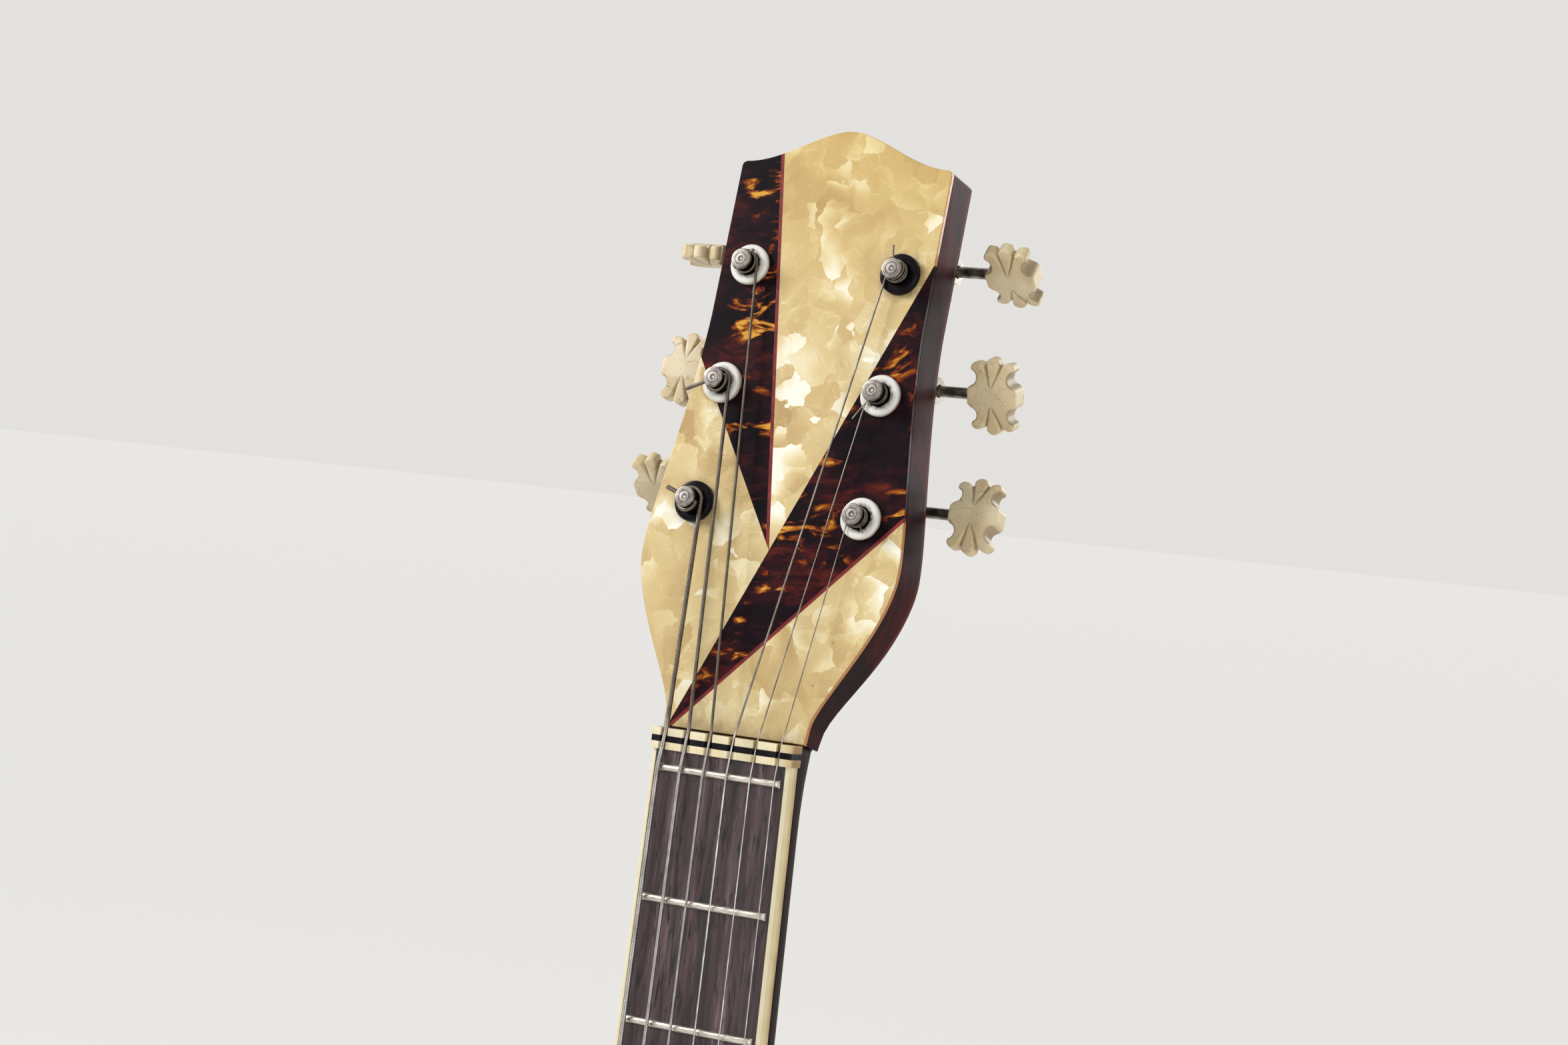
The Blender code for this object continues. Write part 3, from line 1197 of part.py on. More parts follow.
def button_quarter():
    """A quarter of the carved button's edge: body, round notch, outer lobe, groove, half the middle lobe."""
    half, tall = BUTTON_LENGTH / 2, BUTTON_HEIGHT / 2
    shares = ((1, 0), (0.987, 0.248), (0.68, 0.371), (0.64, 0.533), (0.88, 0.714), (0.733, 0.895),
              (0.493, 0.905), (0.307, 0.81), (0.2, 0.962))
    return [(half * along, tall * across) for along, across in shares]


def build_button(index):
    """Carved button on its shaft: the origin lies on the shaft's axis at the button's middle."""
    quarter = button_quarter()
    upper = quarter + [(0, BUTTON_HEIGHT / 2)] + [(-x, z) for x, z in reversed(quarter)]
    outline = upper + [(x, -z) for x, z in reversed(upper[1:-1])]
    bm = prism(outline, -BUTTON_THICKNESS / 2, BUTTON_THICKNESS / 2)
    side = 1 if post_places()[index][0] > 0 else -1
    turn = Matrix.Rotation(side * math.radians(BUTTON_ANGLES[index]), 4, "X")
    frame = key_frame(index) @ Matrix.Translation((BUTTON_OUT, 0, 0)) @ turn
    button = finish(f"tuner_button_{STRING_COUNT - index}", bm, cream_plastic(), frame)
    bore = rod(SHAFT_RADIUS + SHAFT_CLEARANCE, -BUTTON_LENGTH, SHAFT_IN_BUTTON + GAP, 8)
    bmesh.ops.rotate(bore, cent=(0, 0, 0), matrix=Matrix.Rotation(-math.pi / 2, 3, "Z"), verts=bore.verts)
    boolean(button, cutter(f"cut_button_bore_{index}", bore, frame))


def build_tuner_plate(name, indices):
    """Stamped plate behind one row of posts, with two lugs for each worm shaft."""
    places = [post_places()[index] for index in sorted(indices, key=lambda i: post_places()[i][1])]
    side = 1 if places[0][0] > 0 else -1
    low, high = places[0][1] - PLATE_PAST_POST, places[-1][1] + PLATE_PAST_WORM
    lean = (places[-1][0] - places[0][0]) / (places[-1][1] - places[0][1])
    low_x, high_x = places[0][0] + lean * (low - places[0][1]), places[-1][0] + lean * (high - places[-1][1])
    outline = [(low_x - PLATE_HALF_WIDTH, low), (low_x + PLATE_HALF_WIDTH, low),
               (high_x + PLATE_HALF_WIDTH, high), (high_x - PLATE_HALF_WIDTH, high)]
    plate = finish(name, prism(outline, PLATE_FRONT, PLATE_BACK), nickel(), HEADSTOCK_FRAME)
    for number, (across, up) in enumerate(places):
        frame = HEADSTOCK_FRAME @ Matrix.Translation((across, 0, up))
        hole = rod(POST_RADIUS + GAP, PLATE_FRONT - MM, PLATE_BACK + MM, 12)
        boolean(plate, cutter(f"cut_{name}_{number}", hole, frame))
        for end in (-1, 1):
            near, far = end * LUG_OUT, end * (LUG_OUT + LUG_THICKNESS)
            lug = box((min(near, far), PLATE_BACK - LUG_ROOT, WORM_UP - LUG_HALF_WIDTH),
                      (max(near, far), GEAR_DEPTH + LUG_HALF_WIDTH, WORM_UP + LUG_HALF_WIDTH))
            boolean(plate, cutter(f"lug_{name}_{number}_{end}", lug, frame), "UNION")
        bore = rod(SHAFT_RADIUS + SHAFT_CLEARANCE, -2 * LUG_OUT, 2 * LUG_OUT, 8)
        lengthwise = Matrix.Rotation(-side * math.pi / 2, 4, "Z")
        bore_frame = frame @ Matrix.Translation((0, GEAR_DEPTH, WORM_UP)) @ lengthwise
        boolean(plate, cutter(f"cut_{name}_shaft_{number}", bore, bore_frame))


def build_tuners():
    for index in range(STRING_COUNT):
        build_ferrule(index)
        build_post(index)
        build_worm_shaft(index)
        build_button(index)
    build_tuner_plate("tuner_plate_bass", (0, 1, 2))
    build_tuner_plate("tuner_plate_treble", (3, 4, 5))


# Bridge

BRIDGE_TOP = top_surface(0, BRIDGE_UP) - GAP - BRIDGE_BASE_DEPTH
WHEEL_BACK = BRIDGE_TOP - THUMBWHEEL_TRAVEL
WHEEL_FRONT = WHEEL_BACK - THUMBWHEEL_THICKNESS
SADDLE_BACK = WHEEL_FRONT - GAP
STUD_FRONT = SADDLE_BACK - STUD_IN_SADDLE


def build_bridge_base():
    """Fitted foot with two studs standing in it."""
    sections = []
    count = 8
    half = BRIDGE_LENGTH / 2
    for i in range(count + 1):
        x = -half + BRIDGE_LENGTH * i / count
        low, high = BRIDGE_UP - BRIDGE_WIDTH / 2, BRIDGE_UP + BRIDGE_WIDTH / 2
        foot_low, foot_high = top_surface(x, low) - FOOT_SPARE, top_surface(x, high) - FOOT_SPARE
        out = max(abs(x) / half - BRIDGE_FLAT, 0) / (1 - BRIDGE_FLAT)
        crown = BRIDGE_TOP + BRIDGE_END_DROP * out
        sections.append([(x, foot_low, low), (x, crown, low + BRIDGE_CHAMFER),
                         (x, crown, high - BRIDGE_CHAMFER), (x, foot_high, high)])
    base = finish("bridge_base", loft(sections), rosewood())
    for name, side in (("bass", -1), ("treble", 1)):
        frame = Matrix.Translation((side * STUD_OUT, 0, BRIDGE_UP))
        stud = rod(STUD_RADIUS, STUD_FRONT, BRIDGE_TOP + STUD_IN_BASE, 12)
        boolean(base, cutter(f"stud_{name}", stud, frame), "UNION")


def build_saddle():
    """Rosewood bar resting on the thumbwheels, its crest following the strings."""
    half = SADDLE_LENGTH / 2
    end_crown, wall = SADDLE_BACK - SADDLE_END, SADDLE_BACK - SADDLE_WALL
    crowns = [(-half, end_crown), (-half + SADDLE_END, end_crown - SADDLE_END_RISE)]
    for index in range(STRING_COUNT):
        place = NECK_FRAME @ saddle_point(index)
        crowns.append((place.x, place.y + STRING_DIAMETERS[index] / 2 + GAP))
    crowns += [(half - SADDLE_END, end_crown - SADDLE_END_RISE), (half, end_crown)]
    sections = []
    for x, crown in crowns:
        low, high = BRIDGE_UP - SADDLE_WIDTH / 2, BRIDGE_UP + SADDLE_WIDTH / 2
        crest = SADDLE_CREST / 2
        sections.append([(x, SADDLE_BACK, low), (x, wall, low), (x, crown, BRIDGE_UP - crest),
                         (x, crown, BRIDGE_UP + crest), (x, wall, high), (x, SADDLE_BACK, high)])
    saddle = finish("bridge_saddle", loft(sections), rosewood())
    for name, side in (("bass", -1), ("treble", 1)):
        frame = Matrix.Translation((side * STUD_OUT, 0, BRIDGE_UP))
        socket = rod(STUD_RADIUS + GAP, STUD_FRONT - SADDLE_SPARE, SADDLE_BACK + MM, 12)
        boolean(saddle, cutter(f"cut_socket_{name}", socket, frame))


def build_thumbwheel(name, side):
    """Knurled nut on its stud: the origin lies on the stud's axis."""
    inner, outer, edge = STUD_RADIUS + GAP, THUMBWHEEL_RADIUS, THUMBWHEEL_EDGE
    profile = [(inner, WHEEL_FRONT), (outer - edge, WHEEL_FRONT), (outer, WHEEL_FRONT + edge),
               (outer, WHEEL_BACK - edge), (outer - edge, WHEEL_BACK), (inner, WHEEL_BACK)]
    frame = Matrix.Translation((side * STUD_OUT, 0, BRIDGE_UP))
    finish(name, turned(profile, 16, hollow=True), nickel(), frame, smooth_degrees=40)


# Tailpiece and pickguard

def anchor_place(index):
    """Middle of a string's hole in the tailpiece bar."""
    z = TAIL + TAILPIECE_UP
    y = top_surface(0, z) - TAILPIECE_LIFT - TAILPIECE_BAR[1] / 2
    return string_across(index, SPREAD_AT_BRIDGE), y, z


def build_tailpiece():
    """Bent plate hooked under the strap pin, with an open trapeze and a drilled bar."""
    metal = TAILPIECE_METAL
    _, bar_y, bar_z = anchor_place(0)
    foot_z = TAIL - GAP
    heel_y = TOP_EDGE - TAILPIECE_HEEL
    foot, head = TAILPIECE_FOOT / 2, TAILPIECE_HEAD / 2
    profile = [(TAILPIECE_HOOK, foot_z - metal), (TAILPIECE_HOOK, foot_z), (heel_y, foot_z), (bar_y, bar_z),
               (bar_y - metal, bar_z), (heel_y - metal, foot_z - metal)]
    bm = bmesh.new()
    rings = []
    for side in (-1, 1):
        rings.append([bm.verts.new((side * (head if z > bar_z - MM else foot), y, z)) for y, z in profile])
    for i in range(len(profile)):
        j = (i + 1) % len(profile)
        bm.faces.new((rings[0][i], rings[0][j], rings[1][j], rings[1][i]))
    bm.faces.new(rings[0])
    bm.faces.new(rings[1])
    tailpiece = finish("tailpiece", bm, nickel())
    rail = TAILPIECE_RAIL
    window = [(-foot + rail, TAIL + TAILPIECE_SOLID), (foot - rail, TAIL + TAILPIECE_SOLID),
              (head - rail, bar_z - MM), (-head + rail, bar_z - MM)]
    width, depth, length = TAILPIECE_BAR
    boolean(tailpiece, cutter("cut_trapeze", prism(window, bar_y - depth, TOP_EDGE + CUT_PAST)))
    bar = box((-width / 2, bar_y - depth / 2, bar_z - length / 2),
              (width / 2, bar_y + depth / 2, bar_z + length / 2))
    bmesh.ops.bevel(bar, geom=bar.edges[:], offset=TAILPIECE_CHAMFER, segments=1, profile=0.5,
                    affect="EDGES", material=-1)
    boolean(tailpiece, cutter("tailpiece_bar", bar), "UNION")
    for index in range(STRING_COUNT):
        x, y, z = anchor_place(index)
        frame = Matrix.Translation((x, y, z)) @ Matrix.Rotation(math.pi / 2, 4, "X")
        hole = rod(STRING_DIAMETERS[index] / 2 + GAP, -length, length, 8)
        boolean(tailpiece, cutter(f"cut_string_anchor_{index}", hole, frame))
    boolean(tailpiece, pin_bore("cut_tailpiece_pin"))


def build_pickguard():
    """Floating plate held against the board's side: points by shares of its width and of its top's height."""
    inner = board_half_width(BOARD_END) + PICKGUARD_SPARE
    low = BRIDGE_UP + PICKGUARD_LOW
    end = NECK_UP - BOARD_END

    def place(across, level, up):
        return inner + across * PICKGUARD_REACH, level + up * PICKGUARD_PAST

    outline = [place(0, end, 0.06), place(0.045, end, -0.24), place(0.045, low, 0.88)]
    outline += [place(0.136, low, 0.24), place(0.364, low, 0)]
    outline += bezier(place(0.606, low, 0.18), place(1.06, low, 0.7),
                      place(1.27, low, 3.24), place(1, end, -0.41), 7)
    outline += [place(1, end, -0.41), place(0.606, end, 0.24), place(0.182, end, 0.88), place(0, end, 1)]
    back = TOP_EDGE - PICKGUARD_LIFT
    finish("pickguard", prism(outline, back - PICKGUARD_THICKNESS, back), tortoise_plastic())


def build():
    for old in list(bpy.data.objects):
        bpy.data.objects.remove(old, do_unlink=True)
    build_top()
    build_back()
    build_ribs()
    build_blocks()
    build_tone_bar("tone_bar_bass", -1)
    build_tone_bar("tone_bar_treble", 1)
    build_strap_pin()
    build_neck()
    build_heel_cap()
    build_fingerboard()
    build_binding()
    build_nut()
    build_face()
    build_edge_band()
    build_tuners()
    build_strings()
    build_bridge_base()
    build_saddle()
    build_thumbwheel("thumbwheel_bass", -1)
    build_thumbwheel("thumbwheel_treble", 1)
    build_tailpiece()
    build_pickguard()


build()
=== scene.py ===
import math

import bmesh
import bpy
from mathutils import Matrix, Vector


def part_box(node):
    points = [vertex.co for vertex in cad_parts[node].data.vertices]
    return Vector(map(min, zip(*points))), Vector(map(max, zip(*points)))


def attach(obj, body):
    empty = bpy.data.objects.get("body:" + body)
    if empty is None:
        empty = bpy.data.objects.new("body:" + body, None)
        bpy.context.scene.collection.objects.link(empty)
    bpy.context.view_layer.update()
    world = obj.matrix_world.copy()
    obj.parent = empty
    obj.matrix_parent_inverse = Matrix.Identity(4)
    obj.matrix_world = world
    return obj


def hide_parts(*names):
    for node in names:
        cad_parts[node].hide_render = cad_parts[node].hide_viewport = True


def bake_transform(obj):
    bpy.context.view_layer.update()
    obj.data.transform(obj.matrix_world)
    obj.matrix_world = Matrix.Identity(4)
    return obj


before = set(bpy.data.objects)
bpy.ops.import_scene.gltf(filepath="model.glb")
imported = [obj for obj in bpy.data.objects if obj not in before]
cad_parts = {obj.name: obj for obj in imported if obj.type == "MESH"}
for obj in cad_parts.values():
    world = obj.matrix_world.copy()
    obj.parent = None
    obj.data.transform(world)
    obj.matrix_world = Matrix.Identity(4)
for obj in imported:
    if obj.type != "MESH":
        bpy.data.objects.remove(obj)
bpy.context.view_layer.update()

MM = 0.001

# The guitar stands upright, and its neck leans back from the body, so the camera is placed in the neck's own
# frame: across, back and up from the crown of the zero fret. The photograph was taken from the treble side,
# level with the headstock, and shows nothing below the second fret.
ZERO_FRET = Vector((0, -36.862 * MM, 866.25 * MM))
NECK_LEAN = math.radians(3.5)
NECK = Matrix.Translation(ZERO_FRET) @ Matrix.Rotation(-NECK_LEAN, 4, "X")
EYE = Vector((413.5 * MM, -763.5 * MM, 50.5 * MM))
VIEW_SIDE = math.radians(27.75)
VIEW_RISE = math.radians(1.33)
VIEW_ROLL = math.radians(6.9)
FRAME_WIDTH = 2352
FOCAL_PIXELS = 4772.5

forward = Vector((-math.sin(VIEW_SIDE) * math.cos(VIEW_RISE), math.cos(VIEW_SIDE) * math.cos(VIEW_RISE),
                  math.sin(VIEW_RISE)))
level = forward.cross(Vector((0, 0, 1))).normalized()
upward = level.cross(forward)
across = level * math.cos(VIEW_ROLL) + upward * math.sin(VIEW_ROLL)
above = upward * math.cos(VIEW_ROLL) - level * math.sin(VIEW_ROLL)
stance = Matrix((across, above, -forward)).transposed().to_4x4()
lens = bpy.data.cameras.new("camera")
lens.sensor_width = 36
lens.lens = FOCAL_PIXELS * lens.sensor_width / FRAME_WIDTH
lens.clip_start = 0.01
camera = bpy.data.objects.new("camera", lens)
camera.matrix_world = NECK @ Matrix.Translation(EYE) @ stance
bpy.context.scene.collection.objects.link(camera)
bpy.context.scene.camera = camera
bpy.context.scene.view_settings.view_transform = "Standard"


def srgb(colour):
    """A hex colour as the linear numbers that a shader takes."""
    parts = [int(colour[i:i + 2], 16) / 255 for i in (0, 2, 4)]
    return [p / 12.92 if p <= 0.04045 else ((p + 0.055) / 1.055) ** 2.4 for p in parts] + [1.0]


def add(tree, kind, values=None, links=None, stops=None, **settings):
    """Adds one shader node with its properties, its fixed inputs, its wired inputs and its colour stops."""
    made = tree.nodes.new("ShaderNode" + kind)
    for name, value in settings.items():
        setattr(made, name, value)
    for name, value in (values or {}).items():
        made.inputs[name].default_value = value
    for name, (source, output) in (links or {}).items():
        tree.links.new(source.outputs[output], made.inputs[name])
    if stops:
        ramp = made.color_ramp
        ramp.elements[0].position, ramp.elements[-1].position = stops[0][0], stops[-1][0]
        ramp.elements[0].color, ramp.elements[-1].color = srgb(stops[0][1]), srgb(stops[-1][1])
        for place, colour in stops[1:-1]:
            ramp.elements.new(place).color = srgb(colour)
    return made


def finish(name, **values):
    """A new material whose Principled shader takes the given plain values."""
    made = bpy.data.materials.new(name)
    made.use_nodes = True
    shader = made.node_tree.nodes["Principled BSDF"]
    for socket, value in values.items():
        shader.inputs[socket.replace("_", " ")].default_value = value
    return made, made.node_tree, shader


# The studio has a pale floor under the strap pin, an even pale surround and three broad soft lamps.
# The strongest is high on the left, as in the photograph, and clear of the mirror line of the headstock's face.
LAMPS = (
    ("key", (-2.6, -1.7, 2.7), 1.3, 96),
    ("fill", (2.3, -2.2, 1.0), 1.8, 26),
    ("back", (0.9, 2.4, 1.9), 1.6, 40),
)
for name, place, width, watts in LAMPS:
    lamp = bpy.data.lights.new(name, "AREA")
    lamp.shape = "SQUARE"
    lamp.size = width
    lamp.energy = watts
    holder = bpy.data.objects.new(name, lamp)
    aim = Vector((0, 0, 0.8)) - Vector(place)
    holder.matrix_world = Matrix.Translation(place) @ aim.to_track_quat("-Z", "Y").to_matrix().to_4x4()
    bpy.context.scene.collection.objects.link(holder)

world = bpy.data.worlds.new("surround")
world.use_nodes = True
bpy.context.scene.world = world
sky = world.node_tree
light = add(sky, "Background", {"Color": srgb("eceef0"), "Strength": 0.46})
shown = add(sky, "Background", {"Color": srgb("eeece8"), "Strength": 0.9})
ray = add(sky, "LightPath")
mirrored = add(sky, "Math", operation="MAXIMUM", links={0: (ray, "Is Glossy Ray"), 1: (ray, "Is Transmission Ray")})
either = add(sky, "Math", operation="MAXIMUM", links={0: (ray, "Is Camera Ray"), 1: (mirrored, 0)})
chosen = add(sky, "MixShader", links={0: (either, 0), 1: (light, 0), 2: (shown, 0)})
sky.links.new(chosen.outputs[0], sky.nodes["World Output"].inputs["Surface"])

floor_mesh = bpy.data.meshes.new("floor")
ground = bmesh.new()
bmesh.ops.create_grid(ground, x_segments=1, y_segments=1, size=30)
bmesh.ops.translate(ground, vec=(0, 0, -2 * MM), verts=ground.verts)
ground.to_mesh(floor_mesh)
ground.free()
floor = bpy.data.objects.new("floor", floor_mesh)
bpy.context.scene.collection.objects.link(floor)
pale, tree, shader = finish("pale_floor_paint", Roughness=0.8)
shader.inputs["Emission Color"].default_value = srgb("eeece8")
speck = add(tree, "TexNoise", {"Scale": 90.0, "Detail": 2.0})
tint = add(tree, "ValToRGB", links={"Fac": (speck, 0)}, stops=((0.35, "dedcd8"), (0.65, "e3e1dd")))
ray = add(tree, "LightPath")
mirrored = add(tree, "Math", operation="MAXIMUM", links={0: (ray, "Is Glossy Ray"), 1: (ray, "Is Transmission Ray")})
either = add(tree, "Math", operation="MAXIMUM", links={0: (ray, "Is Camera Ray"), 1: (mirrored, 0)})
coat = add(tree, "Mix", {7: srgb("7e7c79")}, {0: (either, 0), 6: (tint, 0)}, data_type="RGBA")
tree.links.new(coat.outputs[2], shader.inputs["Base Color"])
lift = add(tree, "Math", {1: 0.77}, {0: (either, 0)}, operation="MULTIPLY")
tree.links.new(lift.outputs[0], shader.inputs["Emission Strength"])
floor_mesh.materials.append(pale)

# Ribs: two strips of flamed maple bent over a hot iron to the body's outline, thinned to 2.5 mm and glued to a
# block at each end. The flame runs across each strip, because the boards were sawn on the quarter.
LOWER_BOUT = 212.5 * MM
WAIST = 126 * MM
UPPER_BOUT = 155 * MM
BODY_LENGTH = 500 * MM
LOWER_BOUT_UP = 135 * MM
WAIST_UP = 290 * MM
UPPER_BOUT_UP = 395 * MM
SHOULDER = (30 * MM, 464 * MM)
SCOOP = (66 * MM, 402 * MM)
HORN = (118 * MM, 444 * MM)
TAIL = 12 * MM
RIB_HALF = 35 * MM
RIB_WALL = 2.5 * MM


def bezier(start, first, second, end, count):
    """Points of a cubic curve, without its last."""
    points = []
    for i in range(count):
        t = i / count
        u = 1 - t
        points.append(tuple(u ** 3 * a + 3 * u * u * t * b + 3 * u * t * t * c + t ** 3 * d
                            for a, b, c, d in zip(start, first, second, end)))
    return points


def body_edge(fine):
    """The body's edge seen from the front, anticlockwise from the tail, with so many times the least points."""
    low_rise = 0.42 * (WAIST_UP - LOWER_BOUT_UP)
    high_rise = 0.45 * (UPPER_BOUT_UP - WAIST_UP)
    horn_run, scoop_run = HORN[0] - SCOOP[0], SCOOP[0] - SHOULDER[0]
    right = bezier((0, 0), (0.56 * LOWER_BOUT, 0), (LOWER_BOUT, 0.44 * LOWER_BOUT_UP),
                   (LOWER_BOUT, LOWER_BOUT_UP), 6 * fine)
    right += bezier((LOWER_BOUT, LOWER_BOUT_UP), (LOWER_BOUT, LOWER_BOUT_UP + low_rise),
                    (WAIST, WAIST_UP - low_rise), (WAIST, WAIST_UP), 5 * fine)
    right += bezier((WAIST, WAIST_UP), (WAIST, WAIST_UP + high_rise), (UPPER_BOUT, UPPER_BOUT_UP - high_rise),
                    (UPPER_BOUT, UPPER_BOUT_UP), 5 * fine)
    horn = bezier((UPPER_BOUT, UPPER_BOUT_UP), (UPPER_BOUT, UPPER_BOUT_UP + 0.6 * (HORN[1] - UPPER_BOUT_UP)),
                  (HORN[0] + 0.54 * (UPPER_BOUT - HORN[0]), HORN[1]), HORN, 5 * fine)
    horn += bezier(HORN, (HORN[0] - 0.385 * horn_run, HORN[1]), (SCOOP[0] + 0.423 * horn_run, SCOOP[1]),
                   SCOOP, 4 * fine)
    horn += bezier(SCOOP, (SCOOP[0] - 0.556 * scoop_run, SCOOP[1]),
                   (SHOULDER[0], SCOOP[1] + 0.42 * (SHOULDER[1] - SCOOP[1])), SHOULDER, 3 * fine)
    shoulder = [SHOULDER, (SHOULDER[0], BODY_LENGTH)]
    left_top = bezier((0, BODY_LENGTH), (-0.62 * UPPER_BOUT, BODY_LENGTH),
                      (-UPPER_BOUT, UPPER_BOUT_UP + 0.62 * (BODY_LENGTH - UPPER_BOUT_UP)),
                      (-UPPER_BOUT, UPPER_BOUT_UP), 6 * fine)
    left = [(-UPPER_BOUT, UPPER_BOUT_UP)] + [(-x, z) for x, z in reversed(right[1:])]
    return [(x, z + TAIL) for x, z in right + horn + shoulder + left_top + left]


def inset(outline, distance):
    """An outline moved inwards, each corner along its bisector. The outline runs anticlockwise."""
    moved = []
    for i, here in enumerate(outline):
        before, here, after = Vector(outline[i - 1]), Vector(here), Vector(outline[(i + 1) % len(outline)])
        first, second = (here - before).normalized(), (after - here).normalized()
        normal = Vector((-first.y - second.y, first.x + second.x)).normalized()
        moved.append(tuple(here + normal * distance / max(normal.dot(Vector((-first.y, first.x))), 0.5)))
    return moved


def looped(bm, places):
    """A closed loop of new edges through places. Each point keeps how far along the loop it lies."""
    walked = bm.verts.layers.float.get("walked") or bm.verts.layers.float.new("walked")
    verts = [bm.verts.new(place) for place in places]
    for before, vert in zip(verts, verts[1:]):
        vert[walked] = before[walked] + (vert.co - before.co).length
    return [bm.edges.new(pair) for pair in zip(verts, verts[1:] + verts[:1])]


def raised(bm, faces, by):
    """Extrudes faces into a solid and moves the new ones."""
    made = bmesh.ops.extrude_face_region(bm, geom=faces)
    bmesh.ops.translate(bm, vec=by, verts=[g for g in made["geom"] if isinstance(g, bmesh.types.BMVert)])


def hoop(outer, inner, front, back):
    """A closed band between two outlines of (x, z) points, from y = front to y = back."""
    bm = bmesh.new()
    edges = looped(bm, [(x, front, z) for x, z in outer]) + looped(bm, [(x, front, z) for x, z in inner])
    bmesh.ops.bridge_loops(bm, edges=edges)
    raised(bm, bm.faces[:], (0, back - front, 0))
    return bm


def piece(name, bm, material, body, replaced=(), smooth=None):
    """Turns a finished bmesh, already in place, into a piece of the guitar."""
    bmesh.ops.recalc_face_normals(bm, faces=bm.faces)
    mesh = bpy.data.meshes.new(name)
    bm.to_mesh(mesh)
    bm.free()
    mesh.materials.append(material)
    if smooth is not None:
        mesh.shade_smooth()
        mesh.set_sharp_from_angle(angle=math.radians(smooth))
    made = bpy.data.objects.new(name, mesh)
    bpy.context.scene.collection.objects.link(made)
    if body:
        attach(made, body)
    if replaced:
        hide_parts(*replaced)
    return made


# Nitrocellulose lacquer over the flame gives the wood its wet depth: the stripes are where the fibres turn up
# and down, and amber dye deepens what soaks it up most.
rib_maple, tree, shader = finish("lacquered_flamed_maple_rib", Roughness=0.34, Coat_Weight=0.06,
                                 Coat_Roughness=0.08, Specular_IOR_Level=0.12)
RIB_FLAME = 8 * MM
spot = add(tree, "TexCoord")
length = add(tree, "Attribute", attribute_name="walked")
waver = add(tree, "TexNoise", {"Scale": 38.0, "Detail": 2.0}, {"Vector": (spot, "Object")})
place = add(tree, "Math", {1: 16 * MM}, {0: (waver, 0), 2: (length, "Fac")}, operation="MULTIPLY_ADD")
wave = add(tree, "Math", {1: 2 * math.pi / RIB_FLAME}, {0: (place, 0)}, operation="MULTIPLY")
stripe = add(tree, "Math", links={0: (wave, 0)}, operation="SINE")
strength = add(tree, "TexNoise", {"Scale": 22.0, "Detail": 1.0}, {"Vector": (spot, "Object")})
flame = add(tree, "Math", links={0: (stripe, 0), 1: (strength, 0)}, operation="MULTIPLY")
level = add(tree, "MapRange", {"From Min": -0.6, "From Max": 0.6}, {"Value": (flame, 0)})
hues = add(tree, "ValToRGB", links={"Fac": (level, 0)},
           stops=((0.0, "5c2d13"), (0.5, "794019"), (1.0, "965825")))
tree.links.new(hues.outputs[0], shader.inputs["Base Color"])

edge = body_edge(4)
piece("ribs_bent", hoop(edge, inset(edge, RIB_WALL), -RIB_HALF, RIB_HALF), rib_maple, "root",
      ("ribs",), smooth=40)

# Linings: strips of spruce, sawn almost through every few millimetres so that they bend, and glued inside the
# ribs' edges to give the plates a ledge. They show dimly through the sound holes.
bare_spruce, tree, shader = finish("bare_spruce", Roughness=0.7)
spot = add(tree, "TexCoord")
grain = add(tree, "Mapping", {"Scale": (1.0, 1.0, 0.06)}, {"Vector": (spot, "Object")})
year = add(tree, "TexNoise", {"Scale": 900.0, "Detail": 3.0}, {"Vector": (grain, 0)})
hues = add(tree, "ValToRGB", links={"Fac": (year, 0)}, stops=((0.35, "b98f58"), (0.65, "dcbb86")))
tree.links.new(hues.outputs[0], shader.inputs["Base Color"])
LINING_REACH = 6 * MM
LINING_DEPTH = 12 * MM
for name, front in (("front", -RIB_HALF), ("back", RIB_HALF - LINING_DEPTH)):
    lining = hoop(inset(edge, RIB_WALL), inset(edge, RIB_WALL + LINING_REACH), front, front + LINING_DEPTH)
    piece(f"lining_{name}", lining, bare_spruce, "root", smooth=40)

# Blocks and tone bars: plain maple and spruce, left bare inside the body.
bare_maple, tree, shader = finish("bare_maple", Roughness=0.65)
spot = add(tree, "TexCoord")
grain = add(tree, "Mapping", {"Scale": (1.0, 1.0, 0.1)}, {"Vector": (spot, "Object")})
fleck = add(tree, "TexNoise", {"Scale": 700.0, "Detail": 3.0}, {"Vector": (grain, 0)})
hues = add(tree, "ValToRGB", links={"Fac": (fleck, 0)}, stops=((0.35, "c39c68"), (0.65, "dabb8c")))
tree.links.new(hues.outputs[0], shader.inputs["Base Color"])
for node, wood in (("neck_block", bare_maple), ("tail_block", bare_maple), ("tone_bar_bass", bare_spruce),
                   ("tone_bar_treble", bare_spruce)):
    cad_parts[node].data.materials.clear()
    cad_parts[node].data.materials.append(wood)

# Top and back: two book-matched halves each, spruce in front and flamed maple behind, carved to an arch from
# thick boards, with a shallow channel near the edge. Both are glued to the linings and bound in celluloid.
GAP = 0.3 * MM
PLATE_EDGE = 4.7 * MM
PLATE_THICKNESS = 5.0 * MM
ARCH_RISE = 16 * MM
ARCH_FLAT = 0.92
CHANNEL = 0.7 * MM
ARCH_CENTRE = Vector((0, 0, TAIL + BODY_LENGTH / 2))
BINDING = 1.7 * MM
PURFLING = 0.6 * MM
RINGS = [0.985, 0.965, 0.94, 0.915] + [0.88 - 0.04 * i for i in range(22)]


def arch(share):
    """Rise of a plate at a share of the way from its centre to its edge."""
    rise = ARCH_RISE * (0.5 + 0.5 * math.cos(math.pi * share / ARCH_FLAT)) if share < ARCH_FLAT else 0.0
    return rise - CHANNEL * math.exp(-((share - 0.93) / 0.03) ** 2)


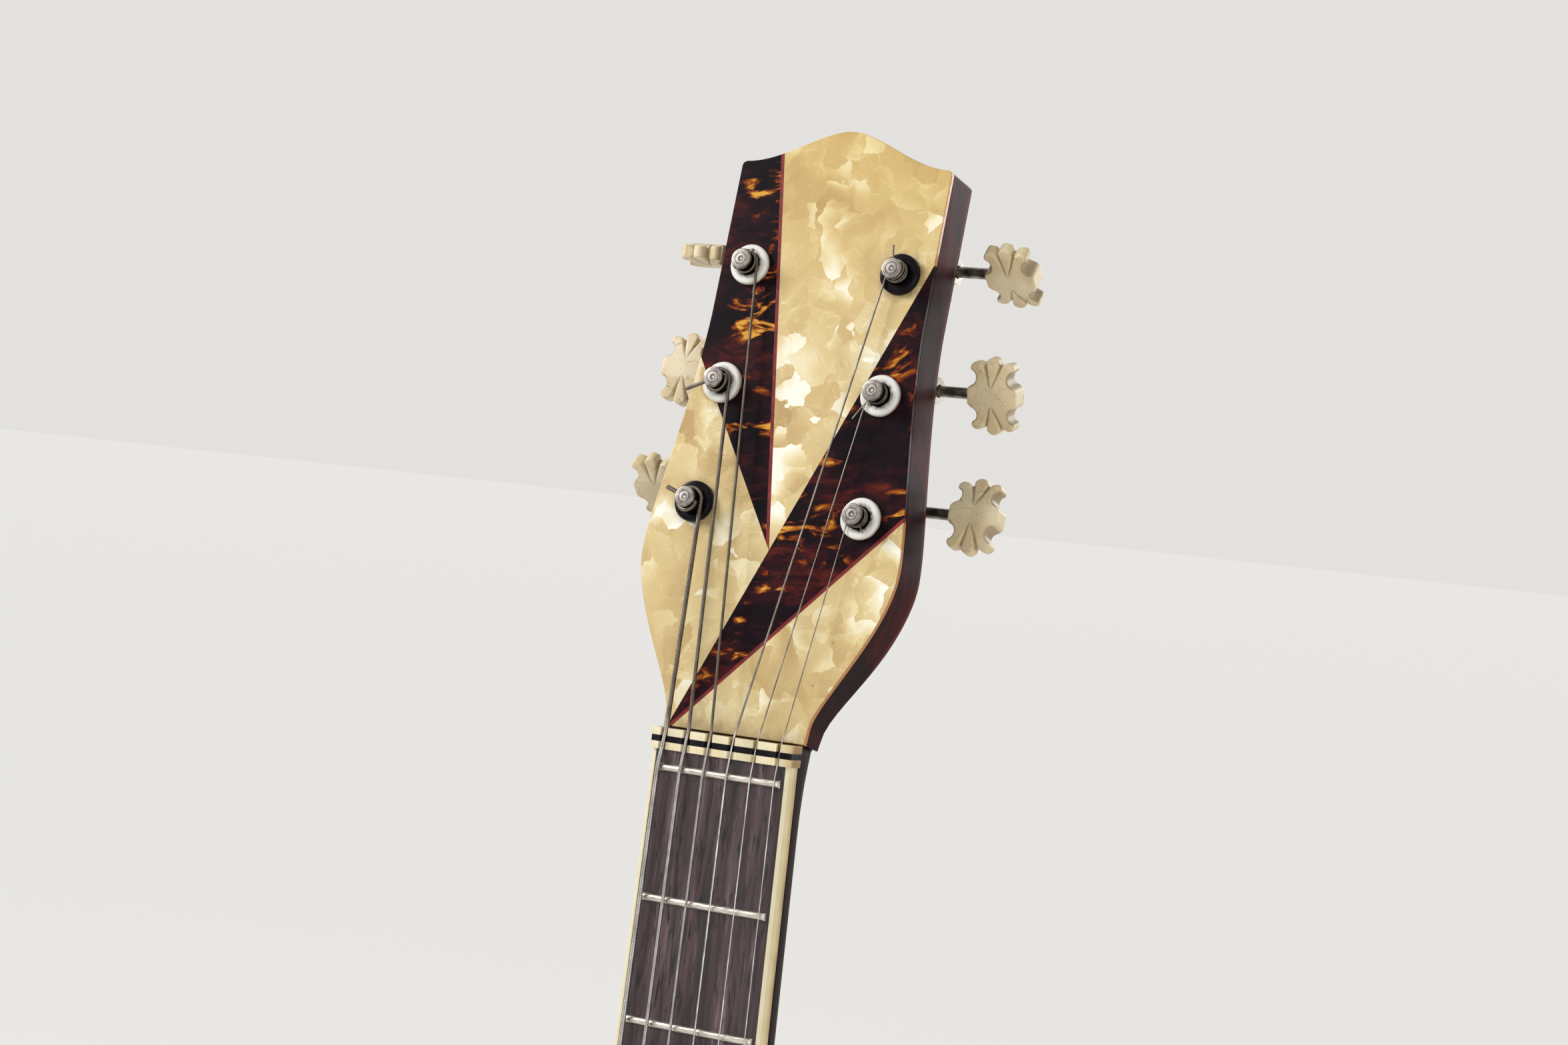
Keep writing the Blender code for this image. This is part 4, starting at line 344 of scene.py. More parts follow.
def inner_arch(share):
    """Rise of its inside, flat where it is glued to the linings."""
    return max(arch(share) + PLATE_EDGE - PLATE_THICKNESS, 0.0) if share < 0.9 else 0.0


def carved_plate(direction, outline):
    """An arched plate as rings drawn in from its edge: direction is -1 for the top and 1 for the back."""
    bm = bmesh.new()
    outside = direction * (RIB_HALF + GAP + PLATE_EDGE)
    inside = direction * (RIB_HALF + GAP)
    rim = looped(bm, [(x, outside, z) for x, z in outline])
    turned_in = bmesh.ops.extrude_edge_only(bm, edges=rim)["geom"]
    bmesh.ops.translate(bm, vec=(0, inside - outside, 0),
                        verts=[g for g in turned_in if isinstance(g, bmesh.types.BMVert)])
    back_rim = [g for g in turned_in if isinstance(g, bmesh.types.BMEdge)]
    for edges, start, rise in ((rim, outside, arch), (back_rim, inside, inner_arch)):
        before = 1.0
        for share in RINGS:
            made = bmesh.ops.extrude_edge_only(bm, edges=edges)["geom"]
            edges = [g for g in made if isinstance(g, bmesh.types.BMEdge)]
            verts = [g for g in made if isinstance(g, bmesh.types.BMVert)]
            bmesh.ops.scale(bm, vec=(share / before, 1, share / before),
                            space=Matrix.Translation(-ARCH_CENTRE), verts=verts)
            for vert in verts:
                vert.co.y = start + direction * rise(share)
            before = share
        bmesh.ops.pointmerge(bm, verts=verts, merge_co=(0, start + direction * rise(0.0), ARCH_CENTRE.z))
    return bm


def held(bm):
    """A scratch object for a Boolean."""
    bmesh.ops.recalc_face_normals(bm, faces=bm.faces)
    mesh = bpy.data.meshes.new("scratch")
    bm.to_mesh(mesh)
    bm.free()
    made = bpy.data.objects.new("scratch", mesh)
    bpy.context.scene.collection.objects.link(made)
    return made


def carved(bm, tools, operation="DIFFERENCE"):
    """Cuts shapes from a solid, or joins them to it, and gives the finished bmesh back."""
    blank = held(bm)
    cutters = [held(tool) for tool in tools]
    for cutter in cutters:
        step = blank.modifiers.new("cut", "BOOLEAN")
        step.operation = operation
        step.object = cutter
    bpy.context.view_layer.update()
    result = bmesh.new()
    result.from_mesh(blank.evaluated_get(bpy.context.evaluated_depsgraph_get()).to_mesh())
    for scratch in cutters + [blank]:
        bpy.data.objects.remove(scratch)
    bmesh.ops.remove_doubles(result, verts=result.verts, dist=0.002 * MM)
    return result


def slab(outline, front, back):
    """An outline of (x, z) points made solid from y = front to y = back."""
    bm = bmesh.new()
    raised(bm, [bm.faces.new([bm.verts.new((x, front, z)) for x, z in outline])], (0, back - front, 0))
    return bm


def keep_shares(bm, outline):
    """Stores at every point its share of the way from the plate's centre to its edge, for the sunburst."""
    shares = bm.verts.layers.float.new("share")
    reach = {}
    for x, z in outline:
        off = Vector((x, z - ARCH_CENTRE.z))
        reach[round(math.degrees(math.atan2(off.y, off.x)))] = off.length
    known = sorted(reach)
    for vert in bm.verts:
        off = Vector((vert.co.x, vert.co.z - ARCH_CENTRE.z))
        degree = round(math.degrees(math.atan2(off.y, off.x)))
        nearest = degree if degree in reach else min(known, key=lambda found: abs(found - degree))
        vert[shares] = off.length / reach[nearest]


# Top: quarter-sawn spruce, whose year rings run as straight lines along the guitar. They are 1 mm apart on real
# wood and drawn 2.5 mm apart here, so that they show. Amber dye under the lacquer shades to brown at the edge.
top_spruce, tree, shader = finish("lacquered_carved_spruce", Roughness=0.28, Coat_Weight=0.6,
                                  Coat_Roughness=0.06, IOR=1.5)
spot = add(tree, "TexCoord")
lines = add(tree, "Mapping", {"Scale": (1.0, 0.02, 0.02)}, {"Vector": (spot, "Object")})
year = add(tree, "TexNoise", {"Scale": 400.0, "Detail": 2.0, "Roughness": 0.6}, {"Vector": (lines, 0)})
silk = add(tree, "Mapping", {"Scale": (0.15, 1.0, 1.0)}, {"Vector": (spot, "Object")})
ripple = add(tree, "TexNoise", {"Scale": 130.0, "Detail": 2.0}, {"Vector": (silk, 0)})
mixed = add(tree, "Mix", {0: 0.3}, {2: (year, 0), 3: (ripple, 0)}, data_type="FLOAT")
wood = add(tree, "ValToRGB", links={"Fac": (mixed, 0)}, stops=((0.38, "b4702c"), (0.5, "d4974a"), (0.62, "e3b063")))
dye = add(tree, "Attribute", attribute_name="share")
cloud = add(tree, "TexNoise", {"Scale": 14.0, "Detail": 2.0}, {"Vector": (spot, "Object")})
burst = add(tree, "Math", {1: 0.12}, {0: (cloud, 0), 2: (dye, "Fac")}, operation="MULTIPLY_ADD")
shade = add(tree, "ValToRGB", links={"Fac": (burst, 0)},
            stops=((0.45, "ffffff"), (0.72, "c98d52"), (0.9, "69341a"), (1.03, "3a180c")))
tinted = add(tree, "Mix", {0: 1.0}, {6: (wood, 0), 7: (shade, 0)}, data_type="RGBA", blend_type="MULTIPLY")
tree.links.new(tinted.outputs[2], shader.inputs["Base Color"])

FHOLE_LOW = (122 * MM, TAIL + 150 * MM)
FHOLE_HIGH = (73 * MM, TAIL + 292 * MM)
FHOLE_WIDTH = 8 * MM
FHOLE_EYE = 6.2 * MM
FHOLE_SWING = 26 * MM


def arc(centre, radius, first, last, steps):
    """Points of a round stretch, from one angle in degrees to another."""
    angles = [math.radians(first + (last - first) * i / steps) for i in range(steps + 1)]
    return [(centre[0] + radius * math.cos(a), centre[1] + radius * math.sin(a)) for a in angles]


def sound_hole(side):
    """Cutters of one sound hole: its S-shaped slot, and the round eyes at both its ends."""
    low, high = Vector((side * FHOLE_LOW[0], FHOLE_LOW[1])), Vector((side * FHOLE_HIGH[0], FHOLE_HIGH[1]))
    swing = Vector((high.y - low.y, low.x - high.x)).normalized() * side * FHOLE_SWING
    steps = 32
    line = bezier(low, low + (high - low) * 0.4 - swing, low + (high - low) * 0.6 + swing, high, steps)
    line.append(tuple(high))
    left, right = [], []
    for i, here in enumerate(line):
        along = (Vector(line[min(i + 1, steps)]) - Vector(line[max(i - 1, 0)])).normalized()
        half = FHOLE_WIDTH * (0.22 + 0.28 * math.sin(math.pi * i / steps))
        left.append((here[0] - along.y * half, here[1] + along.x * half))
        right.append((here[0] + along.y * half, here[1] - along.x * half))
    front, back = -RIB_HALF - 30 * MM, -RIB_HALF + 10 * MM
    slots = [slab(left + right[::-1], front, back)]
    return slots + [slab(arc(eye, FHOLE_EYE, 0, 345, 23), front, back) for eye in (low, high)]


bound = inset(edge, BINDING + PURFLING)
top = carved(carved_plate(-1, bound), sound_hole(-1) + sound_hole(1))
keep_shares(top, edge)
piece("carved_top", top, top_spruce, "root", ("top_plate",), smooth=35)

# Back: maple split and opened like a book, so that the flame falls away from the centre joint on both sides.
back_maple, tree, shader = finish("lacquered_flamed_maple_back", Roughness=0.28, Coat_Weight=0.6,
                                  Coat_Roughness=0.06, IOR=1.5)
BACK_FLAME = 11 * MM
spot = add(tree, "TexCoord")
axes = add(tree, "SeparateXYZ", links={0: (spot, "Object")})
out = add(tree, "Math", links={0: (axes, "X")}, operation="ABSOLUTE")
slope = add(tree, "Math", {1: 0.3}, {0: (out, 0), 2: (axes, "Z")}, operation="MULTIPLY_ADD")
waver = add(tree, "TexNoise", {"Scale": 26.0, "Detail": 3.0}, {"Vector": (spot, "Object")})
place = add(tree, "Math", {1: 22 * MM}, {0: (waver, 0), 2: (slope, 0)}, operation="MULTIPLY_ADD")
wave = add(tree, "Math", {1: 2 * math.pi / BACK_FLAME}, {0: (place, 0)}, operation="MULTIPLY")
stripe = add(tree, "Math", links={0: (wave, 0)}, operation="SINE")
strength = add(tree, "TexNoise", {"Scale": 17.0, "Detail": 1.0}, {"Vector": (spot, "Object")})
flame = add(tree, "Math", links={0: (stripe, 0), 1: (strength, 0)}, operation="MULTIPLY")
level = add(tree, "MapRange", {"From Min": -0.6, "From Max": 0.6}, {"Value": (flame, 0)})
wood = add(tree, "ValToRGB", links={"Fac": (level, 0)}, stops=((0.0, "9c5923"), (0.5, "b9752f"), (1.0, "d39549")))
far = add(tree, "Math", {1: 1 / MM}, {0: (out, 0)}, operation="MULTIPLY")
joint = add(tree, "ValToRGB", links={"Fac": (far, 0)}, stops=((0.15, "6d4020"), (0.5, "ffffff")))
seamed = add(tree, "Mix", {0: 1.0}, {6: (wood, 0), 7: (joint, 0)}, data_type="RGBA", blend_type="MULTIPLY")
dye = add(tree, "Attribute", attribute_name="share")
shade = add(tree, "ValToRGB", links={"Fac": (dye, "Fac")},
            stops=((0.4, "ffffff"), (0.68, "b97a44"), (0.86, "5e2d16"), (0.97, "33150b")))
tinted = add(tree, "Mix", {0: 1.0}, {6: (seamed, 2), 7: (shade, 0)}, data_type="RGBA", blend_type="MULTIPLY")
tree.links.new(tinted.outputs[2], shader.inputs["Base Color"])
back = carved_plate(1, bound)
keep_shares(back, edge)
piece("carved_back", back, back_maple, "root", ("back_plate",), smooth=35)

# Binding: a cream celluloid strip bent round both plates' edges with acetone cement, and a thin black one inside
# it. Years under lacquer have turned the cream the colour of old ivory.
cream, tree, shader = finish("cream_celluloid", Roughness=0.3, Coat_Weight=0.3, Coat_Roughness=0.1, IOR=1.5)
spot = add(tree, "TexCoord")
age = add(tree, "TexNoise", {"Scale": 60.0, "Detail": 4.0}, {"Vector": (spot, "Object")})
hues = add(tree, "ValToRGB", links={"Fac": (age, 0)}, stops=((0.3, "d2bb83"), (0.7, "eadcb0")))
tree.links.new(hues.outputs[0], shader.inputs["Base Color"])
black_line, tree, shader = finish("black_celluloid", Roughness=0.3, Specular_IOR_Level=0.12)
spot = add(tree, "TexCoord")
age = add(tree, "TexNoise", {"Scale": 300.0, "Detail": 3.0}, {"Vector": (spot, "Object")})
hues = add(tree, "ValToRGB", links={"Fac": (age, 0)}, stops=((0.3, "0c0a0d"), (0.7, "1d1a1e")))
tree.links.new(hues.outputs[0], shader.inputs["Base Color"])
for name, direction in (("top", -1), ("back", 1)):
    low, high = direction * (RIB_HALF + 0.05 * MM), direction * (RIB_HALF + GAP + PLATE_EDGE)
    piece(f"{name}_binding", hoop(edge, inset(edge, BINDING), low, high), cream, "root",
          smooth=40)
    piece(f"{name}_purfling", hoop(inset(edge, BINDING), bound, low, high), black_line, "root",
          smooth=40)

# Strap pin: turned in black plastic and glued through the rib into the tail block. A strap's buttonhole goes over
# its head, and the foot of the tailpiece is hooked round its neck.
PIN_HEAD = 7 * MM
PIN_NECK = 4 * MM
PIN_LENGTH = 34 * MM


def turned(profile, steps, hollow=False):
    """A solid spun about the Y axis from (radius, depth) points."""
    bm = bmesh.new()
    verts = [bm.verts.new((radius, depth, 0)) for radius, depth in profile]
    edges = [bm.edges.new(pair) for pair in zip(verts, verts[1:])]
    if hollow:
        edges.append(bm.edges.new((verts[-1], verts[0])))
    bmesh.ops.spin(bm, geom=verts + edges, cent=(0, 0, 0), axis=(0, 1, 0), angle=2 * math.pi, steps=steps,
                   use_merge=True)
    bmesh.ops.remove_doubles(bm, verts=bm.verts, dist=0.002 * MM)
    return bm


def placed(bm, matrix):
    """Moves a bmesh to its place on the guitar."""
    bmesh.ops.transform(bm, matrix=matrix, verts=bm.verts)
    return bm


# Moulded black plastic, buffed once and dulled since by hands, so that its shine is uneven.
black_plastic, tree, shader = finish("moulded_black_plastic", Specular_IOR_Level=0.2)
spot = add(tree, "TexCoord")
scuff = add(tree, "TexNoise", {"Scale": 400.0, "Detail": 4.0}, {"Vector": (spot, "Object")})
hues = add(tree, "ValToRGB", links={"Fac": (scuff, 0)}, stops=((0.3, "0e0c10"), (0.7, "1f1c20")))
tree.links.new(hues.outputs[0], shader.inputs["Base Color"])
dull = add(tree, "MapRange", {"From Min": 0.3, "From Max": 0.7, "To Min": 0.16, "To Max": 0.34}, {"Value": (scuff, 0)})
tree.links.new(dull.outputs[0], shader.inputs["Roughness"])

pin = [(0, 0.4 * MM), (2 * MM, 0.1 * MM)] + arc((PIN_HEAD - 1.2 * MM, 1.3 * MM), 1.2 * MM, -90, 0, 6)
pin += arc((PIN_HEAD - 0.6 * MM, 2.3 * MM), 0.6 * MM, 0, 60, 4) + [(4.9 * MM, 3.4 * MM)]
pin += [(PIN_NECK + 0.3 * MM, 4.2 * MM), (PIN_NECK, 5.2 * MM), (PIN_NECK, PIN_LENGTH), (0, PIN_LENGTH)]
piece("strap_pin_turned", placed(turned(pin, 48), Matrix.Rotation(math.pi / 2, 4, "X")), black_plastic, "root",
      ("strap_pin",), smooth=35)

# Neck: one length of maple with its heel, its tongue over the top and the core of the headstock. Behind the nut
# its round back flattens into the back of the headstock, as a carver leaves it for the thumb.
SCALE_LENGTH = 640 * MM
NUT_LOW = 4.9 * MM
NUT_HIGH = 10.8 * MM
BOARD_FACE = 1.3 * MM
BOARD_BACK = 7.3 * MM
NECK_SEAT = 7.6 * MM
JOINT_DOWN = SCALE_LENGTH * (1 - 2 ** (-14 / 12))
BOARD_END = SCALE_LENGTH * (1 - 2 ** (-20 / 12)) + 6 * MM
BOARD_WIDTHS = (43.4 * MM, 54.4 * MM)
HEEL_RUN = 80 * MM
HEEL_DEPTH = 150 * MM
BODY_TOP = TAIL + BODY_LENGTH
BODY_FRONT = -RIB_HALF - GAP - PLATE_EDGE
HEAD = NECK @ Matrix.Translation((0, BOARD_BACK, NUT_HIGH - 0.5 * MM)) @ Matrix.Rotation(math.radians(-9.25), 4, "X")
HEAD_FACE = 1.8 * MM
HEAD_BACK = 14.8 * MM
HEAD_PEAK = 175.9 * MM
HEAD_CORNER = 165.7 * MM
FLATTEN_FROM, FLATTEN_TO = -14 * MM, 46 * MM
RING_STEPS = 32
PEGS = {6: (-26.3 * MM, 64.6 * MM), 5: (-25.05 * MM, 99.6 * MM), 4: (-23.8 * MM, 134.6 * MM),
        3: (23.8 * MM, 134.6 * MM), 2: (25.05 * MM, 99.6 * MM), 1: (26.3 * MM, 64.6 * MM)}


def board_half(down):
    """Half the fingerboard's width at a distance below the zero fret."""
    share = (down + NUT_LOW) / (BOARD_END + NUT_LOW)
    return (BOARD_WIDTHS[0] + (BOARD_WIDTHS[1] - BOARD_WIDTHS[0]) * share) / 2


def headstock_side():
    """The treble edge of the headstock from the nut to its peak, as (across, up) points."""
    foot, flare, top, flare_up, taper = 22.4 * MM, 40.3 * MM, 33.4 * MM, 51 * MM, 69 * MM
    corner = 1.4 * MM
    points = [(0.99 * foot, 0.016 * flare_up)]
    points += bezier((foot, 0.1 * flare_up), (1.01 * foot, 0.255 * flare_up), (flare, 0.667 * flare_up),
                     (flare, flare_up), 24)
    points += bezier((flare, flare_up), (flare, flare_up + 0.174 * taper),
                     (1.02 * top, 120 * MM - 0.406 * taper), (top, 120 * MM), 20)
    points += [(top, 120 * MM)] + arc((top - corner, HEAD_CORNER - corner), corner, 0, 78, 5)
    points += bezier((top - 1.4 * MM, HEAD_CORNER + 0.1 * MM), (0.61 * top, HEAD_CORNER + 0.4 * MM),
                     (0.27 * top, HEAD_PEAK), (0, HEAD_PEAK), 24)
    return points


def head_half(up):
    """The headstock's half width at a height above its foot, below its top corners."""
    side = headstock_side()
    for (x, z), (next_x, next_z) in zip(side, side[1:]):
        if z <= up <= next_z:
            return x + (next_x - x) * (up - z) / (next_z - z)
    return side[0][0] if up < side[0][1] else 33.4 * MM


def rounded_ring(half, front, depth, flat, place):
    """One section of the neck: a flat seat in front and a back between round, at 0, and square, at 1."""
    bend = 1 - 0.93 * flat
    ring = [(half, front)]
    for i in range(RING_STEPS + 1):
        angle = math.pi * i / RING_STEPS
        out = math.copysign(abs(math.cos(angle)) ** bend, math.cos(angle))
        ring.append((half * out, front + 0.5 * MM + (depth - 0.5 * MM) * math.sin(angle) ** (0.85 * bend)))
    ring.append((-half, front))
    return [place @ Vector((x, y, 0)) for x, y in ring]


def lofted(rings):
    """A solid through equal rings of points: the first is pulled out through the others, and both ends close."""
    bm = bmesh.new()
    order = bm.verts.layers.int.new("order")
    first = edges = looped(bm, rings[0])
    for number, vert in enumerate(bm.verts):
        vert[order] = number
    for ring in rings[1:]:
        made = bmesh.ops.extrude_edge_only(bm, edges=edges)["geom"]
        edges = [g for g in made if isinstance(g, bmesh.types.BMEdge)]
        for vert in (g for g in made if isinstance(g, bmesh.types.BMVert)):
            vert.co = ring[vert[order]]
    bmesh.ops.edgeloop_fill(bm, edges=first)
    bmesh.ops.edgeloop_fill(bm, edges=edges)
    return bm


def neck_depth(down):
    """Depth of the neck behind its seat: nearly even along the shaft, then swept out to the heel."""
    share = min(max(down / JOINT_DOWN, 0), 1)
    run = min(max((down - JOINT_DOWN + HEEL_RUN) / HEEL_RUN, 0), 1)
    shaft = (14.5 + 3 * share) * MM
    return shaft + (HEEL_DEPTH - shaft) * run ** 2.2


def neck_form(spare):
    """The neck with its headstock, wider on each side by the spare, before it is cut to the body."""
    rings = []
    downs = [BOARD_END - GAP] + [JOINT_DOWN - HEEL_RUN * i / 16 for i in range(17)]
    downs += [240 * MM, 190 * MM, 140 * MM, 95 * MM, 60 * MM, 35 * MM] + [MM * i for i in (16, 8, 0, -5, -9.5)]
    for down in downs:
        blend = min(max((-down - FLATTEN_FROM) / (FLATTEN_TO - FLATTEN_FROM), 0), 1)
        flat = blend * blend * (3 - 2 * blend)
        half = board_half(max(down, 0)) - 0.4 * MM + spare
        rings.append(rounded_ring(half, NECK_SEAT, neck_depth(down), flat, NECK @ Matrix.Translation((0, 0, -down))))
    for up in [0.5 * MM] + [3 * MM * i for i in range(1, 16)] + [MM * i for i in (50, 60, 80, 100, 120, 160, 180)]:
        blend = min(max((up + NUT_HIGH - FLATTEN_FROM) / (FLATTEN_TO - FLATTEN_FROM), 0), 1)
        flat = blend * blend * (3 - 2 * blend)
        half = head_half(up) - 1.2 * MM + spare
        rings.append(rounded_ring(half, HEAD_FACE, HEAD_BACK - HEAD_FACE, flat, HEAD @ Matrix.Translation((0, 0, up))))
    return lofted(rings)


def block(low, high):
    """A solid box between two corners."""
    bm = bmesh.new()
    bmesh.ops.create_cube(bm, size=1.0)
    bmesh.ops.scale(bm, vec=Vector(high) - Vector(low), verts=bm.verts)
    bmesh.ops.translate(bm, vec=(Vector(high) + Vector(low)) / 2, verts=bm.verts)
    return bm


# Nearly black spirit stain under glossy lacquer: the maple's grain shows only as faint lines along the neck.
dark_maple, tree, shader = finish("stained_lacquered_maple", Roughness=0.46, Specular_IOR_Level=0.05)
spot = add(tree, "TexCoord")
grain = add(tree, "Mapping", {"Rotation": (-NECK_LEAN, 0, 0), "Scale": (1.0, 1.0, 22.0)}, {"Vector": (spot, "Object")},
            vector_type="TEXTURE")
line = add(tree, "TexNoise", {"Scale": 700.0, "Detail": 3.0}, {"Vector": (grain, 0)})
hues = add(tree, "ValToRGB", links={"Fac": (line, 0)}, stops=((0.3, "130b09"), (0.55, "22130e"), (0.75, "3a2116")))
tree.links.new(hues.outputs[0], shader.inputs["Base Color"])

tongue = BOARD_END - JOINT_DOWN
wide = 60 * MM
cuts = [block((-wide, BODY_FRONT - 5.2 * MM, BODY_TOP - 1.5 * tongue), (wide, HEEL_DEPTH, BODY_TOP + GAP)),
        block((-wide, RIB_HALF, BODY_TOP - 12 * MM), (wide, RIB_HALF + HEEL_DEPTH, BODY_TOP + HEEL_DEPTH))]
side = [(x - 1.2 * MM if x > 2 * MM else x, z - 1.2 * MM) for x, z in headstock_side() if z > HEAD_CORNER - MM]
crest = side + [(0, HEAD_PEAK - 1.2 * MM)] + [(-x, z) for x, z in reversed(side)]
above_crest = [(wide, crest[0][1]), (wide, HEAD_PEAK + wide), (-wide, HEAD_PEAK + wide), (-wide, crest[-1][1])]
cuts.append(placed(slab(crest[::-1] + above_crest, -wide, wide), HEAD))
for across_face, up_face in PEGS.values():
    bore = turned([(0, -5 * MM), (5.3 * MM, -5 * MM), (5.3 * MM, 8.3 * MM), (3.4 * MM, 8.3 * MM), (3.4 * MM, 20 * MM),
                   (0, 20 * MM)], 32)
    cuts.append(placed(bore, HEAD @ Matrix.Translation((across_face, 0, up_face))))
neck = carved(neck_form(0), cuts)
tenon = block((-12 * MM, -RIB_HALF + 5 * MM, BODY_TOP - 12 * MM), (12 * MM, RIB_HALF - 5 * MM, BODY_TOP + 3 * MM))
piece("carved_neck", carved(neck, [tenon], "UNION"), dark_maple, "root", ("neck",), smooth=32)

# Heel cap: a plate of black plastic glued over the end of the heel, filed flush with it and rounded at its edge.
CAP_THICKNESS = 5 * MM
blank = block((-wide, RIB_HALF + GAP, BODY_TOP + GAP), (wide, RIB_HALF + GAP + CAP_THICKNESS, BODY_TOP + wide))
cap = carved(blank, [neck_form(0)], "INTERSECT")
outer = [e for e in cap.edges if len(e.link_faces) == 2 and min(v.co.y for v in e.verts) > RIB_HALF + CAP_THICKNESS
         and e.calc_face_angle() > 0.7]
bmesh.ops.bevel(cap, geom=outer, offset=0.7 * MM, segments=3, profile=0.5, affect="EDGES", material=-1)
piece("heel_cap_plate", cap, black_plastic, "root", ("heel_cap",), smooth=35)

# Fingerboard: rosewood planed to a slight curve across and glued to the neck. Its open pores and the dark and
# light years run along the neck.
BOARD_RADIUS = 300 * MM
BINDING_SIDE = 1.5 * MM


def camber(x):
    """How far the board's round surface falls away from its middle."""
    return BOARD_RADIUS - math.sqrt(BOARD_RADIUS ** 2 - x * x)


rosewood, tree, shader = finish("oiled_rosewood", Coat_Weight=0.15, Coat_Roughness=0.25, IOR=1.5)
spot = add(tree, "TexCoord")
grain = add(tree, "Mapping", {"Rotation": (-NECK_LEAN, 0, 0), "Scale": (1.0, 1.0, 16.0)}, {"Vector": (spot, "Object")},
            vector_type="TEXTURE")
streak = add(tree, "TexNoise", {"Scale": 420.0, "Detail": 4.0, "Roughness": 0.62, "Distortion": 0.4},
             {"Vector": (grain, 0)})
hues = add(tree, "ValToRGB", links={"Fac": (streak, 0)},
           stops=((0.28, "2b1c1f"), (0.44, "463236"), (0.56, "5f494d"), (0.72, "8d777a")))
broad = add(tree, "TexNoise", {"Scale": 90.0, "Detail": 2.0}, {"Vector": (grain, 0)})
band = add(tree, "ValToRGB", links={"Fac": (broad, 0)}, stops=((0.35, "8f8488"), (0.65, "ffffff")))
years = add(tree, "Mix", {0: 1.0}, {6: (hues, 0), 7: (band, 0)}, data_type="RGBA", blend_type="MULTIPLY")
fibre = add(tree, "Mapping", {"Rotation": (-NECK_LEAN, 0, 0), "Scale": (1.0, 1.0, 9.0)}, {"Vector": (spot, "Object")},
            vector_type="TEXTURE")
# The pores are 0.1 to 0.2 mm wide. Most are drawn twice as wide here, because they would be lost in the render.
pore = add(tree, "TexNoise", {"Scale": 1250.0, "Detail": 3.0, "Roughness": 0.6}, {"Vector": (fibre, 0)})
open_pore = add(tree, "ValToRGB", links={"Fac": (pore, 0)}, stops=((0.38, "000000"), (0.46, "ffffff")))
pored = add(tree, "Mix", {6: srgb("170f10")}, {0: (open_pore, 0), 7: (years, 2)}, data_type="RGBA")
tree.links.new(pored.outputs[2], shader.inputs["Base Color"])
matt = add(tree, "MapRange", {"From Min": 0.3, "From Max": 0.7, "To Min": 0.55, "To Max": 0.36}, {"Value": (streak, 0)})
tree.links.new(matt.outputs[0], shader.inputs["Roughness"])
dent = add(tree, "Bump", {"Strength": 0.3, "Distance": 0.05 * MM}, {"Height": (open_pore, 0)})
tree.links.new(dent.outputs[0], shader.inputs["Normal"])

rings = []
for up in [NUT_LOW - 0.02 * MM] + [-BOARD_END * i / 12 for i in range(13)]:
    half = board_half(-up) - BINDING_SIDE - 0.02 * MM
    face = [(half * (i / 12 - 1), BOARD_FACE + camber(half * (i / 12 - 1))) for i in range(25)]
    rings.append([NECK @ Vector((x, y, up)) for x, y in face + [(half, BOARD_BACK), (-half, BOARD_BACK)]])
piece("rosewood_board", lofted(rings), rosewood, "root", ("fingerboard",), smooth=35)

# Frets: nickel-silver wire pressed into sawn slots, crowned and filed at a slope where it ends.
FRET_HALF = 1.05 * MM
FRET_CROWN = 1.1 * MM
FRET_SHORT = 0.9 * MM


def cut_off(bm, point, normal):
    """Keeps the part of a solid behind a plane, closes the cut and gives the new edges."""
    cut = bmesh.ops.bisect_plane(bm, geom=bm.verts[:] + bm.edges[:] + bm.faces[:], plane_co=point, plane_no=normal,
                                 clear_outer=True)
    edges = [g for g in cut["geom_cut"] if isinstance(g, bmesh.types.BMEdge)]
    bmesh.ops.holes_fill(bm, edges=edges, sides=0)
    return edges


def fret(down, crown):
    """One wire across the board, bent to its curve, its ends filed back and eased."""
    bm = bmesh.new()
    foot = BOARD_FACE + 0.03 * MM
    half = board_half(down) - BINDING_SIDE - FRET_SHORT
    outline = [(FRET_HALF * math.cos(math.pi * i / 12), foot - (foot - crown) * math.sin(math.pi * i / 12) ** 0.75)
               for i in range(13)]
    edges = looped(bm, [(0, y, z) for z, y in outline])
    centre = (0, BOARD_FACE + BOARD_RADIUS, 0)
    swing = math.asin(half / BOARD_RADIUS)
    bmesh.ops.rotate(bm, cent=centre, matrix=Matrix.Rotation(-swing, 3, "Z"), verts=bm.verts)
    swept = bmesh.ops.spin(bm, geom=bm.verts[:] + edges, cent=centre, axis=(0, 0, 1), angle=2 * swing, steps=20)
    bmesh.ops.edgeloop_fill(bm, edges=edges)
    bmesh.ops.edgeloop_fill(bm, edges=[g for g in swept["geom_last"] if isinstance(g, bmesh.types.BMEdge)])
    for end in (-1, 1):
        rim = cut_off(bm, (end * (half - 0.55 * MM), crown + camber(half), 0), (end, -0.5, 0))
        rim = [e for e in rim if e.is_valid and min(v.co.y for v in e.verts) < foot - 0.1 * MM]
        bmesh.ops.bevel(bm, geom=rim, offset=0.25 * MM, segments=2, profile=0.5, affect="EDGES", material=-1)
    return placed(bm, NECK @ Matrix.Translation((0, 0, -down)))


